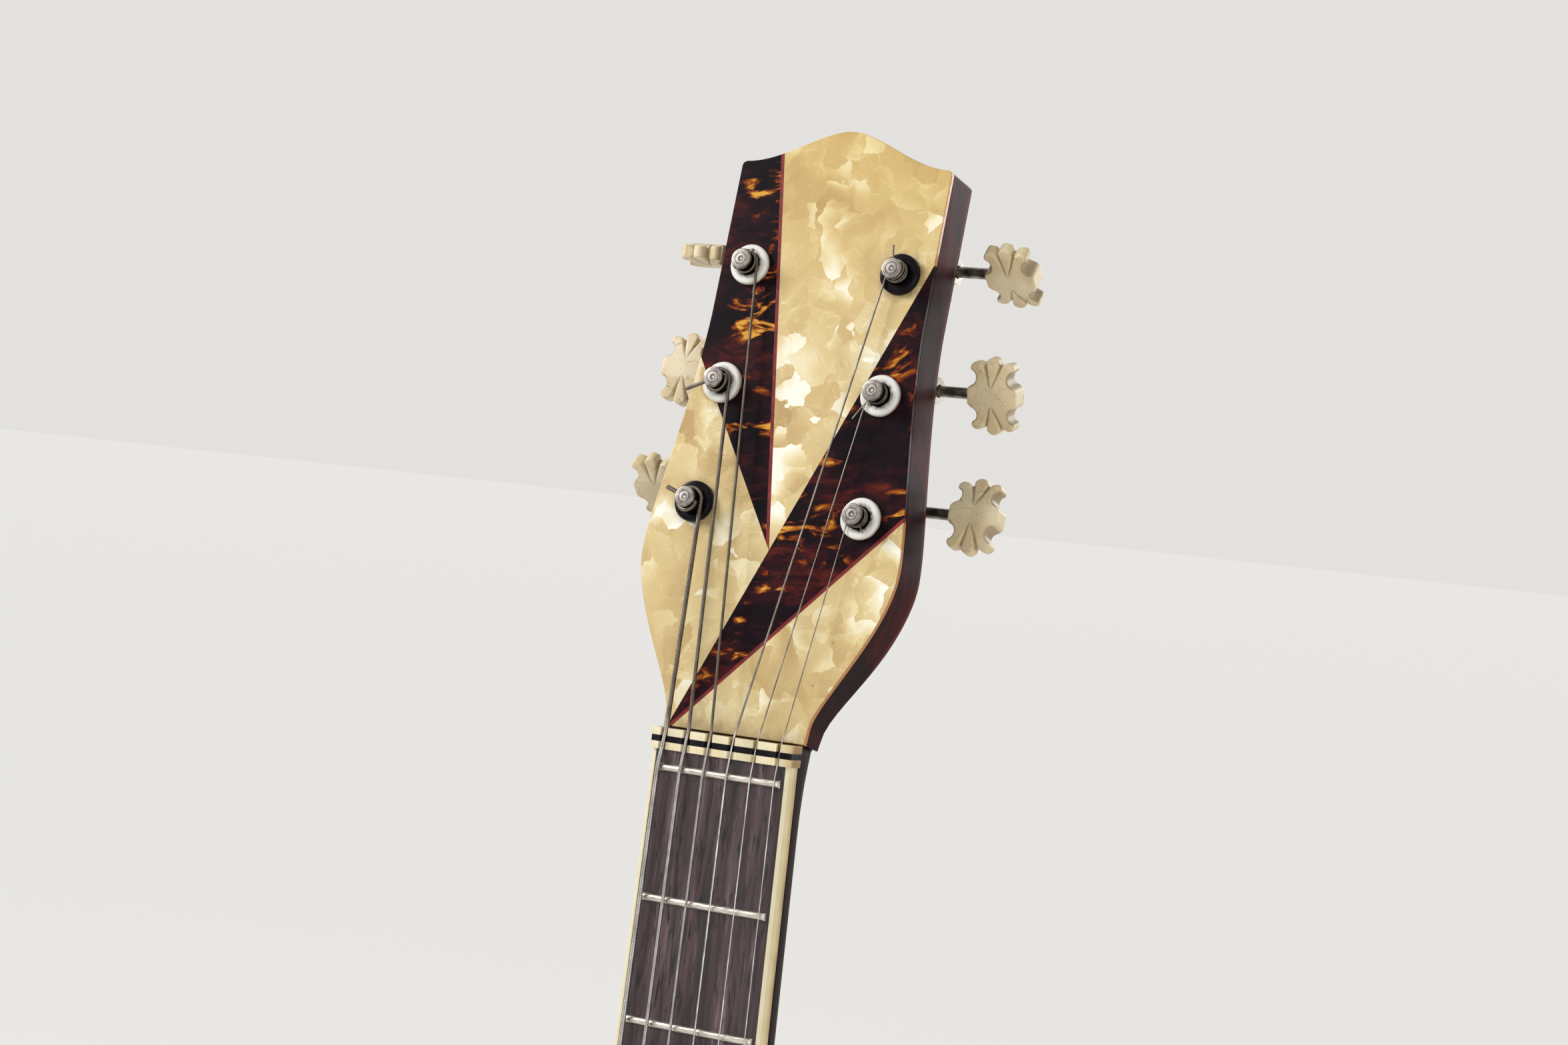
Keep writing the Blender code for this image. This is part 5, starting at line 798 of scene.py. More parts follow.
nickel_silver, tree, shader = finish("nickel_silver_wire", Metallic=1.0)
spot = add(tree, "TexCoord")
lengthwise = add(tree, "Mapping", {"Scale": (0.12, 1.0, 1.0)}, {"Vector": (spot, "Object")})
scratch = add(tree, "TexNoise", {"Scale": 3000.0, "Detail": 3.0}, {"Vector": (lengthwise, 0)})
hues = add(tree, "ValToRGB", links={"Fac": (scratch, 0)}, stops=((0.3, "b5aea2"), (0.65, "e6e1d6")))
tree.links.new(hues.outputs[0], shader.inputs["Base Color"])
rough = add(tree, "MapRange", {"From Min": 0.3, "From Max": 0.7, "To Min": 0.2, "To Max": 0.42},
            {"Value": (scratch, 0)})
tree.links.new(rough.outputs[0], shader.inputs["Roughness"])

wires = bmesh.new()
for number in range(1, 21):
    wire = fret(SCALE_LENGTH * (1 - 2 ** (-number / 12)), 0.2 * MM)
    holder = bpy.data.meshes.new("wire")
    wire.to_mesh(holder)
    wire.free()
    wires.from_mesh(holder)
    bpy.data.meshes.remove(holder)
piece("fret_wires", wires, nickel_silver, "root", smooth=40)
piece("zero_fret_wire", fret(0, 0), nickel_silver, "root", ("zero_fret",), smooth=40)

# Fingerboard binding: a strip of cream celluloid along both sides and round the end, scraped round by the maker.
# It has yellowed, and its colour darkens from the front back towards the neck: painted shade on its rounded side.
bound_cream, tree, shader = finish("cream_celluloid_shaded_side", Roughness=0.32, Coat_Weight=0.25, Coat_Roughness=0.12,
                                   IOR=1.5)
spot = add(tree, "TexCoord")
deep = add(tree, "Attribute", attribute_name="depth")
cloud = add(tree, "TexNoise", {"Scale": 140.0, "Detail": 4.0}, {"Vector": (spot, "Object")})
ragged = add(tree, "Math", {1: 0.5, 2: -0.25}, {0: (cloud, 0)}, operation="MULTIPLY_ADD")
darkening = add(tree, "Math", links={0: (deep, "Fac"), 1: (ragged, 0)}, operation="ADD")
# Painted shade: cream at the front face, darkening to brown at the back, made uneven by noise.
hues = add(tree, "ValToRGB", links={"Fac": (darkening, 0)},
           stops=((0.0, "efe3bd"), (0.3, "e0cd97"), (0.62, "c2a468"), (0.88, "80612f"), (1.05, "3c2a16")))
tree.links.new(hues.outputs[0], shader.inputs["Base Color"])

front = BOARD_FACE + camber(board_half(0))
low, high = -BOARD_END - GAP - BINDING_SIDE, NUT_LOW - 0.02 * MM
outer = [(board_half(BOARD_END), low), (board_half(-NUT_LOW), high)]
inner = [(board_half(-NUT_LOW) - BINDING_SIDE, high), (board_half(BOARD_END) - BINDING_SIDE, low + BINDING_SIDE)]
strip = slab(outer + inner + [(-x, z) for x, z in (outer + inner)[::-1]], front, BOARD_BACK)
outside = [e for e in strip.edges if all(abs(v.co.x) > board_half(-v.co.z) - 0.3 * MM or v.co.z < low + 0.1 * MM
                                         for v in e.verts) and abs(e.verts[0].co.y - e.verts[1].co.y) < 0.1 * MM]
bmesh.ops.bevel(strip, geom=outside, offset=1.2 * MM, segments=4, profile=0.5, affect="EDGES", material=-1)
# depth runs from 0 at the front to 1 at the back and carries the painted shade.
depths = strip.verts.layers.float.new("depth")
for vert in strip.verts:
    vert[depths] = (vert.co.y - front) / (BOARD_BACK - front)
piece("board_binding", placed(strip, NECK), bound_cream, "root", ("fingerboard_binding",),
      smooth=40)

# Nut: two strips of cream celluloid with a black one between, glued to the end of the board. The slots only
# steer the strings, because the zero fret carries them, and years of strings have worn them. They are painted darker
# brown down in the slots, as painted shade.
SPREAD_AT_NUT = 36 * MM
SPREAD_AT_BRIDGE = 51 * MM
STRINGS = {6: 1.32 * MM, 5: 1.07 * MM, 4: 0.81 * MM, 3: 0.61 * MM, 2: 0.41 * MM, 1: 0.33 * MM}
POST_WAIST = 2.7 * MM
FLANGE_RISE = 2.0 * MM
STRING_CLEAR = 0.3 * MM
NUT_HALF = 21.9 * MM
NUT_CROWN = 0.5 * MM


def over_fret(number):
    """A string's middle above the zero fret, in the neck's frame."""
    x = SPREAD_AT_NUT * ((6 - number) / 5 - 0.5)
    return Vector((x, camber(x) - STRINGS[number] / 2 - 0.02 * MM, 0))


def first_touch(number):
    """Where a string meets its post, in the headstock's frame, its angle about the post and its sense of turn."""
    across_face, up_face = PEGS[number]
    start = HEAD.inverted() @ NECK @ over_fret(number)
    turn = 1 if across_face < 0 else -1
    radius = POST_WAIST + 0.02 * MM + STRINGS[number] / 2
    to_post = Vector((across_face - start.x, up_face - start.z))
    meets = math.atan2(to_post.y, to_post.x) - turn * math.asin(radius / to_post.length) - turn * math.pi / 2
    height = FLANGE_RISE + STRING_CLEAR + STRINGS[number] / 2
    place = Vector((across_face + radius * math.cos(meets), -height, up_face + radius * math.sin(meets)))
    return place, meets, turn


def behind_fret(number, up):
    """A string's middle at a height above the zero fret, on its way to the post."""
    start, end = over_fret(number), NECK.inverted() @ HEAD @ first_touch(number)[0]
    side_step = start.x * (1 - min(up, NUT_HIGH) / SCALE_LENGTH * (SPREAD_AT_BRIDGE / SPREAD_AT_NUT - 1))
    return Vector((side_step, start.y + (end.y - start.y) * up / end.z, up))


def nut_layer(low, high, crown):
    """One strip of the nut with a round-bottomed slot for each string and all its edges eased."""
    middle = (low + high) / 2
    outline = [(-NUT_HALF, crown + camber(NUT_HALF))]
    for number in (6, 5, 4, 3, 2, 1):
        centre = behind_fret(number, middle)
        half = STRINGS[number] / 2 + 0.5 * MM
        floor = centre.y + STRINGS[number] / 2 + 0.04 * MM
        bottom = arc((centre.x, floor - half), half, 180, 0, 8)
        outline += [(centre.x - half - 0.25 * MM, crown + camber(centre.x)), (centre.x - half, crown + 0.4 * MM)]
        outline += [(x, y) for x, y in bottom]
        outline += [(centre.x + half, crown + 0.4 * MM), (centre.x + half + 0.25 * MM, crown + camber(centre.x))]
    outline += [(NUT_HALF, crown + camber(NUT_HALF)), (NUT_HALF, BOARD_BACK), (-NUT_HALF, BOARD_BACK)]
    bm = bmesh.new()
    raised(bm, [bm.faces.new([bm.verts.new((x, y, low)) for x, y in outline])], (0, 0, high - low))
    rims = [e for e in bm.edges if abs(e.verts[0].co.z - e.verts[1].co.z) < 0.01 * MM
            and min(v.co.y for v in e.verts) < BOARD_BACK - MM]
    bmesh.ops.bevel(bm, geom=rims, offset=0.3 * MM, segments=3, profile=0.5, affect="EDGES", material=-1,
                    clamp_overlap=True)
    # sunk: how far below the crown a point lies; it darkens the slots as painted shade.
    sunk = bm.verts.layers.float.new("sunk")
    for vert in bm.verts:
        vert[sunk] = (vert.co.y - crown - camber(vert.co.x)) / (2 * MM)
    return placed(bm, NECK)


# Cream celluloid of the nut: light on the crowns and dark brown down in the slots, as painted shade, and ochre at its
# ends.
nut_cream, tree, shader = finish("worn_cream_celluloid_shaded_slots", Roughness=0.3, Coat_Weight=0.2, Coat_Roughness=0.15, IOR=1.5)
spot = add(tree, "TexCoord")
deep = add(tree, "Attribute", attribute_name="sunk")
cloud = add(tree, "TexNoise", {"Scale": 420.0, "Detail": 4.0}, {"Vector": (spot, "Object")})
ragged = add(tree, "Math", {1: 0.5, 2: -0.25}, {0: (cloud, 0)}, operation="MULTIPLY_ADD")
darkening = add(tree, "Math", links={0: (deep, "Fac"), 1: (ragged, 0)}, operation="ADD")
# Painted shade: cream on the crowns, dark brown down in the slots.
hues = add(tree, "ValToRGB", links={"Fac": (darkening, 0)},
           stops=((0.0, "ece0bb"), (0.2, "dcc793"), (0.45, "a98a50"), (0.75, "5f421f"), (1.0, "2f1d10")))
axes = add(tree, "SeparateXYZ", links={0: (spot, "Object")})
outward = add(tree, "MapRange", {"From Min": 18.5 * MM, "From Max": 21.9 * MM}, {"Value": (axes, "X")})
ochre = add(tree, "Mix", {7: srgb("b98a35")}, {0: (outward, 0), 6: (hues, 0)}, data_type="RGBA")
worn = add(tree, "Mix", {0: 0.6}, {6: (hues, 0), 7: (ochre, 2)}, data_type="RGBA")
tree.links.new(worn.outputs[2], shader.inputs["Base Color"])

piece("nut_cream_low", nut_layer(NUT_LOW, 6.93 * MM, NUT_CROWN), nut_cream, "root", ("nut",),
      smooth=40)
piece("nut_black_middle", nut_layer(6.95 * MM, 8.65 * MM, NUT_CROWN + 0.12 * MM), black_line, "root",
      smooth=40)
piece("nut_cream_high", nut_layer(8.67 * MM, NUT_HIGH, NUT_CROWN + 0.05 * MM), nut_cream, "root",
      smooth=40)

# Headstock edge: a strip of dark red tortoise celluloid bent round the sides and the top and scraped flush with
# the face. It thins out over the nut, where the neck grows round.
BAND = 1.1 * MM
OVERLAY = 1.5 * MM

tortoise_edge, tree, shader = finish("tortoise_celluloid_strip", Roughness=0.5, Specular_IOR_Level=0.06)
spot = add(tree, "TexCoord")
lay = add(tree, "Mapping", {"Scale": (1.0, 1.0, 0.35)}, {"Vector": (spot, "Object")})
cloud = add(tree, "TexNoise", {"Scale": 130.0, "Detail": 4.0, "Distortion": 0.8}, {"Vector": (lay, 0)})
hues = add(tree, "ValToRGB", links={"Fac": (cloud, 0)},
           stops=((0.3, "14060a"), (0.5, "260b0f"), (0.66, "471317"), (0.8, "6a2119")))
deep = add(tree, "Attribute", attribute_name="depth")
line = add(tree, "ValToRGB", links={"Fac": (deep, "Fac")},
           stops=((0.86, "000000"), (0.9, "ffffff"), (0.94, "ffffff"), (0.97, "000000")))
faint = add(tree, "Math", {1: 0.45}, {0: (line, 0)}, operation="MULTIPLY")
lined = add(tree, "Mix", {7: srgb("7a4634")}, {0: (faint, 0), 6: (hues, 0)}, data_type="RGBA")
tree.links.new(lined.outputs[2], shader.inputs["Base Color"])

half_edge = headstock_side()
face_outline = half_edge + [(0, HEAD_PEAK)] + [(-x, z) for x, z in reversed(half_edge)]
inner_edge = inset(face_outline, BAND)
inner_edge[0] = (face_outline[0][0] - BAND, face_outline[0][1])
inner_edge[-1] = (face_outline[-1][0] + BAND, face_outline[-1][1])
band = slab(face_outline + inner_edge[::-1], OVERLAY + 0.03 * MM, HEAD_BACK)
rear = [e for e in band.edges if min(v.co.y for v in e.verts) > HEAD_BACK - 0.01 * MM
        and all(head_half(v.co.z) - abs(v.co.x) < 0.5 * MM or v.co.z > HEAD_CORNER - 2 * MM for v in e.verts)]
bmesh.ops.bevel(band, geom=rear, offset=0.5 * MM, segments=3, profile=0.5, affect="EDGES", material=-1)
band = carved(placed(band, HEAD), [neck_form(1.8 * MM)], "INTERSECT")
depths = band.verts.layers.float.new("depth")
for vert in band.verts:
    vert[depths] = (HEAD.inverted() @ vert.co).y / HEAD_BACK
piece("headstock_edge_strip", band, tortoise_edge, "root", ("headstock_edge_band",), smooth=9)

# Face panels: sheets of pearl and tortoise celluloid, sawn to fit each other, with thin red strips between, glued
# to the headstock and scraped level. The pearl's cut edge shows amber round the outline.
SEAM_TOP = (-20.6 * MM, 169.8 * MM)
SEAM_CROSS = (-0.2 * MM, 53.2 * MM)
SEAM_BASS = (-33.6 * MM, 106.1 * MM)
SEAM_DIAGONAL = (33.4 * MM, 138.2 * MM)
SEAM_TREBLE = (38.7 * MM, 66.3 * MM)
SEAM_TIP = (-20.8 * MM, 1.1 * MM)
RED_LINE = 1.0 * MM
SEAM = 0.03 * MM

# Pearl celluloid: fish-scale essence that set in thin flakes as the sheet was pressed, yellowed to honey. Where
# the flakes crumpled each shines along one crisp side and darkens to the other; elsewhere the sheet is smooth.
HEAD_LEAN = NECK_LEAN + math.radians(9.25)
pearl, tree, shader = finish("aged_pearl_celluloid", Roughness=0.34, Coat_Weight=0.25, Coat_Roughness=0.12,
                             Specular_IOR_Level=0.3)
spot = add(tree, "TexCoord")
bend = add(tree, "TexNoise", {"Scale": 75.0, "Detail": 3.0, "Roughness": 0.5}, {"Vector": (spot, "Object")})
shift = add(tree, "VectorMath", {1: (0.5, 0.5, 0.5)}, {0: (bend, "Color")}, operation="SUBTRACT")
cloud = add(tree, "TexNoise", {"Scale": 46.0, "Detail": 2.0}, {"Vector": (spot, "Object")})
crumpled = add(tree, "MapRange", {"From Min": 0.4, "From Max": 0.6, "To Min": 0.3, "To Max": 1.0},
               {"Value": (cloud, 0)})
tone = add(tree, "MapRange", {"From Min": 0.3, "From Max": 0.7, "To Min": 0.42, "To Max": 0.54}, {"Value": (cloud, 0)})
for flake_scale, warp, metric, depth in ((62.0, 16 * MM, "CHEBYCHEV", 0.7), (140.0, 12 * MM, "EUCLIDEAN", 0.45)):
    reach = add(tree, "VectorMath", {"Scale": warp}, {0: (shift, 0)}, operation="SCALE")
    warped = add(tree, "VectorMath", links={0: (spot, "Object"), 1: (reach, 0)}, operation="ADD")
    flake = add(tree, "TexVoronoi", {"Scale": flake_scale, "Randomness": 1.0}, {"Vector": (warped, 0)}, feature="F1",
                distance=metric)
    inside = add(tree, "VectorMath", links={0: (warped, 0), 1: (flake, "Position")}, operation="SUBTRACT")
    heading = add(tree, "VectorMath", {1: (0.5, 0.5, 0.5)}, {0: (flake, "Color")}, operation="SUBTRACT")
    slant = add(tree, "VectorMath", links={0: (inside, 0), 1: (heading, 0)}, operation="DOT_PRODUCT")
    level = add(tree, "Math", {1: 2.2 * flake_scale, 2: 0.42}, {0: (slant, "Value")}, operation="MULTIPLY_ADD",
                use_clamp=True)
    glow = add(tree, "Math", {1: 2.0}, {0: (level, 0)}, operation="POWER")
    parts = add(tree, "SeparateColor", links={0: (flake, "Color")})
    kept = add(tree, "MapRange", {"From Min": 0.35, "From Max": 0.9, "To Min": 0.12}, {"Value": (parts, "Green")})
    height = add(tree, "Math", links={0: (kept, 0), 1: (crumpled, 0)}, operation="MULTIPLY")
    rise = add(tree, "Math", {1: 0.2}, {0: (glow, 0)}, operation="SUBTRACT")
    part = add(tree, "Math", links={0: (rise, 0), 1: (height, 0)}, operation="MULTIPLY")
    tone = add(tree, "Math", {1: depth}, {0: (part, 0), 2: (tone, 0)}, operation="MULTIPLY_ADD")
curl = add(tree, "TexNoise", {"Scale": 130.0, "Detail": 3.0, "Roughness": 0.55, "Distortion": 1.4},
           {"Vector": (spot, "Object")})
sliver = add(tree, "ValToRGB", links={"Fac": (curl, 0)},
             stops=((0.47, "000000"), (0.492, "6a6a6a"), (0.5, "ffffff"), (0.504, "000000")))
folds = add(tree, "Math", links={0: (sliver, 0), 1: (crumpled, 0)}, operation="MULTIPLY")
tone = add(tree, "Math", {1: 0.2}, {0: (folds, 0), 2: (tone, 0)}, operation="MULTIPLY_ADD")
nacre = add(tree, "ValToRGB", links={"Fac": (tone, 0)},
            stops=((0.3, "bd9c64"), (0.42, "d3b77e"), (0.5, "dfc78f"), (0.62, "eedeb0"), (0.85, "fffae8")))
up_head = add(tree, "VectorMath", {1: tuple(HEAD.to_3x3() @ Vector((0, 0, 1)))}, {0: (spot, "Object")},
              operation="DOT_PRODUCT")
nut_level = (HEAD.to_3x3() @ Vector((0, 0, 1))).dot(HEAD.translation)
# Towards the top of the headstock the pearl is multiplied by a cream tint, darker and warmer there: painted shade.
high = add(tree, "MapRange", {"From Min": nut_level + 110 * MM, "From Max": nut_level + 180 * MM, "To Max": 0.8},
           {"Value": (up_head, "Value")})
shaded_towards_top = add(tree, "Mix", {7: srgb("efe0ac")}, {0: (high, 0), 6: (nacre, 0)}, data_type="RGBA", blend_type="MULTIPLY")

# Painted shade: the pearl is darkened brown in patches round each ferrule, set a little towards the treble side and the
# nut, and along the nut. A few small stains lie elsewhere.
shade_noise = add(tree, "TexNoise", {"Scale": 380.0, "Detail": 4.0}, {"Vector": (spot, "Object")})
shade_spread = add(tree, "MapRange", {"From Min": nut_level + 5 * MM, "From Max": nut_level}, {"Value": (up_head, "Value")})
for across_face, up_face in PEGS.values():
    away = add(tree, "VectorMath", {1: tuple(HEAD @ Vector((across_face + 0.5 * MM, 0, up_face - 0.5 * MM)))},
               {0: (spot, "Object")}, operation="DISTANCE")
    halo = add(tree, "MapRange", {"From Min": 8.2 * MM, "From Max": 5.8 * MM}, {"Value": (away, "Value")})
    shade_spread = add(tree, "Math", links={0: (shade_spread, 0), 1: (halo, 0)}, operation="MAXIMUM")
patchy = add(tree, "MapRange", {"From Min": 0.3, "From Max": 0.75, "To Max": 0.75}, {"Value": (shade_noise, 0)})
shade_amount = add(tree, "Math", links={0: (shade_spread, 0), 1: (patchy, 0)}, operation="MULTIPLY")
shade_painted = add(tree, "Mix", {7: srgb("7d5c34")}, {0: (shade_amount, 0), 6: (shaded_towards_top, 2)}, data_type="RGBA")
dot = add(tree, "TexVoronoi", {"Scale": 150.0}, {"Vector": (spot, "Object")}, feature="F1")
picked = add(tree, "SeparateColor", links={0: (dot, "Color")})
few = add(tree, "Math", {1: 0.72}, {0: (picked, "Blue")}, operation="GREATER_THAN")
small = add(tree, "MapRange", {"From Min": 0.07, "From Max": 0.03, "To Max": 0.7}, {"Value": (dot, "Distance")})
darkening = add(tree, "Math", links={0: (few, 0), 1: (small, 0)}, operation="MULTIPLY")
dotted = add(tree, "Mix", {7: srgb("85552a")}, {0: (darkening, 0), 6: (shade_painted, 2)}, data_type="RGBA")
rim = add(tree, "Attribute", attribute_name="rim")
edged = add(tree, "Mix", {7: srgb("b9742a")}, {0: (rim, "Fac"), 6: (dotted, 2)}, data_type="RGBA")
tree.links.new(edged.outputs[2], shader.inputs["Base Color"])

# Tortoise celluloid: near-black plum with red-brown clouds drawn out across the headstock, and amber streaks in a
# brown glow where the dye was poured thin. Most of them lie along the upper red line.
tortoise, tree, shader = finish("tortoise_celluloid", Roughness=0.34, Specular_IOR_Level=0.06)
spot = add(tree, "TexCoord")
lay = add(tree, "Mapping", {"Rotation": (-HEAD_LEAN, math.radians(-9), 0), "Scale": (2.6, 1.0, 1.0)},
          {"Vector": (spot, "Object")}, vector_type="TEXTURE")
cloud = add(tree, "TexNoise", {"Scale": 260.0, "Detail": 5.0, "Roughness": 0.65, "Distortion": 0.8},
            {"Vector": (lay, 0)})
broad = add(tree, "TexNoise", {"Scale": 60.0, "Detail": 2.0}, {"Vector": (lay, 0)})
mixed = add(tree, "Mix", {0: 0.5}, {2: (cloud, 0), 3: (broad, 0)}, data_type="FLOAT")
plum = add(tree, "ValToRGB", links={"Fac": (mixed, 0)},
           stops=((0.4, "0c060c"), (0.49, "170a11"), (0.55, "2a0f15"), (0.61, "481818"), (0.69, "6e2a1a")))
pour = add(tree, "TexNoise", {"Scale": 210.0, "Detail": 4.0, "Roughness": 0.62, "Distortion": 1.1},
           {"Vector": (lay, 0)})
where = add(tree, "TexNoise", {"Scale": 70.0, "Detail": 1.0}, {"Vector": (spot, "Object")})
seam_along = (Vector(SEAM_CROSS) - Vector(SEAM_TOP)).normalized()
seam_left = HEAD.to_3x3() @ Vector((seam_along.y, 0, -seam_along.x))
seam_side = add(tree, "VectorMath", {1: tuple(seam_left)}, {0: (spot, "Object")}, operation="DOT_PRODUCT")
seam_level = seam_left.dot(HEAD @ Vector((SEAM_TOP[0], 0, SEAM_TOP[1])))
beside = add(tree, "MapRange", {"From Min": seam_level + 12 * MM, "From Max": seam_level + 1 * MM, "To Max": 0.16},
             {"Value": (seam_side, "Value")})
past = add(tree, "Math", {1: seam_level}, {0: (seam_side, "Value")}, operation="LESS_THAN")
plain = add(tree, "Math", {1: -0.08}, {0: (past, 0)}, operation="MULTIPLY")
near_line = add(tree, "Math", links={0: (beside, 0), 1: (plain, 0)}, operation="ADD")
likely = add(tree, "Math", links={0: (where, 0), 1: (near_line, 0)}, operation="ADD")
cluster = add(tree, "MapRange", {"From Min": 0.54, "From Max": 0.7}, {"Value": (likely, 0)})
thin = add(tree, "MapRange", {"From Min": 0.5, "From Max": 0.66}, {"Value": (pour, 0)})
amber = add(tree, "Math", links={0: (thin, 0), 1: (cluster, 0)}, operation="MULTIPLY")
glow = add(tree, "ValToRGB", links={"Fac": (amber, 0)},
           stops=((0.04, "2e0f12"), (0.2, "5e2311"), (0.42, "9a5115"), (0.75, "e0a541")))
seen = add(tree, "MapRange", {"From Min": 0.03, "From Max": 0.2}, {"Value": (amber, 0)})
flamed = add(tree, "Mix", links={0: (seen, 0), 6: (plum, 0), 7: (glow, 0)}, data_type="RGBA")
tree.links.new(flamed.outputs[2], shader.inputs["Base Color"])

# Red celluloid strip, dark as old lacquer has made it.
red_line, tree, shader = finish("red_celluloid", Roughness=0.3, Specular_IOR_Level=0.3)
spot = add(tree, "TexCoord")
cloud = add(tree, "TexNoise", {"Scale": 500.0, "Detail": 3.0}, {"Vector": (spot, "Object")})
hues = add(tree, "ValToRGB", links={"Fac": (cloud, 0)}, stops=((0.3, "5c1216"), (0.7, "942226")))
tree.links.new(hues.outputs[0], shader.inputs["Base Color"])


def face_panel(name, material, keeps, bores):
    """A sheet of the headstock's outline, trimmed to the left of each seam and bored for its ferrules."""
    bm = slab(face_outline, 0, OVERLAY)
    front = [e for e in bm.edges if max(v.co.y for v in e.verts) < 0.01 * MM]
    bmesh.ops.bevel(bm, geom=front, offset=0.28 * MM, segments=3, profile=0.5, affect="EDGES", material=-1)
    for start, end, shift in keeps:
        along = (Vector(end) - Vector(start)).normalized()
        left = Vector((-along.y, along.x))
        point = Vector(start) + left * shift
        cut_off(bm, (point.x, 0, point.y), (-left.x, 0, -left.y))
    rims = bm.verts.layers.float.new("rim")
    for vert in bm.verts:
        vert[rims] = min(max(vert.co.y / (0.2 * MM), 0), 1)
    if bores:
        holes = []
        for number in bores:
            hole = turned([(0, -5 * MM), (5.3 * MM, -5 * MM), (5.3 * MM, 5 * MM), (0, 5 * MM)], 48)
            holes.append(placed(hole, Matrix.Translation((PEGS[number][0], 0, PEGS[number][1]))))
        bm = carved(bm, holes)
    piece(f"{name}_sheet", placed(bm, HEAD), material, "root", (name,), smooth=9)


upper = (SEAM_CROSS, SEAM_TOP)
bass = (SEAM_BASS, SEAM_CROSS)
diagonal = (SEAM_TIP, SEAM_DIAGONAL)
lower = (SEAM_TIP, SEAM_TREBLE)
face_panel("panel_pearl_centre", pearl, [(*upper[::-1], SEAM), (*diagonal, SEAM)], (3,))
face_panel("line_red_upper", red_line,
           [(*upper, SEAM), (*upper[::-1], -SEAM - RED_LINE), (*diagonal, SEAM), (*bass, SEAM)], ())
face_panel("panel_tortoise_upper", tortoise,
           [(*upper, RED_LINE + 2 * SEAM), (*bass, SEAM)], (5, 4))
face_panel("panel_pearl_bass", pearl, [(*bass[::-1], SEAM), (*diagonal, SEAM)], (6, 5))
face_panel("panel_tortoise_diagonal", tortoise,
           [(*diagonal[::-1], SEAM), (*lower, SEAM)], (2, 1))
face_panel("line_red_lower", red_line, [(*lower[::-1], SEAM), (*lower, -SEAM - RED_LINE)], ())
face_panel("panel_pearl_treble", pearl, [(*lower[::-1], RED_LINE + 2 * SEAM)], ())

# Tuner plates: two strips stamped from nickel-plated steel, with a pair of lugs bent up beside each post. Four
# slotted round-head screws hold each one to the back of the headstock.
PLATE_FRONT = HEAD_BACK + 0.3 * MM
PLATE_BACK = PLATE_FRONT + 1.2 * MM
PLATE_HALF = 7 * MM
PLATE_PAST_LOW = 15 * MM
PLATE_PAST_HIGH = 19 * MM
POST_RADIUS = 3.0 * MM
SHAFT_DEPTH = 20.8 * MM
SHAFT_UP = 8.0 * MM
SHAFT_RADIUS = 1.6 * MM
LUG_IN = 5.6 * MM
LUG_OUT = 7.0 * MM
LUG_HALF = 3.6 * MM

plated, tree, shader = finish("dulled_nickel_plate", Metallic=1.0, Roughness=0.3)
spot = add(tree, "TexCoord")
dimming = add(tree, "TexNoise", {"Scale": 160.0, "Detail": 5.0, "Roughness": 0.65}, {"Vector": (spot, "Object")})
hues = add(tree, "ValToRGB", links={"Fac": (dimming, 0)}, stops=((0.35, "8b857a"), (0.55, "b3aea4"), (0.7, "c6c2ba")))
tree.links.new(hues.outputs[0], shader.inputs["Base Color"])
rough = add(tree, "MapRange", {"From Min": 0.35, "From Max": 0.65, "To Min": 0.45, "To Max": 0.24},
            {"Value": (dimming, 0)})
tree.links.new(rough.outputs[0], shader.inputs["Roughness"])

plate_screw, tree, shader = finish("screw_nickel_plate", Metallic=1.0, Roughness=0.3)
spot = add(tree, "TexCoord")
wear = add(tree, "TexNoise", {"Scale": 600.0, "Detail": 3.0}, {"Vector": (spot, "Object")})
hues = add(tree, "ValToRGB", links={"Fac": (wear, 0)}, stops=((0.35, "7d776c"), (0.65, "c4c0b8")))
tree.links.new(hues.outputs[0], shader.inputs["Base Color"])

SIDEWAYS = Matrix.Rotation(-math.pi / 2, 4, "Z")


def at_post(number):
    """The frame of a post: Y runs into the headstock along the post's axis."""
    return HEAD @ Matrix.Translation((PEGS[number][0], 0, PEGS[number][1]))


def at_shaft(number):
    """The frame of a worm shaft: X runs out towards its button."""
    out = Matrix.Rotation(math.pi, 4, "Z") if PEGS[number][0] < 0 else Matrix()
    return at_post(number) @ Matrix.Translation((0, SHAFT_DEPTH, SHAFT_UP)) @ out


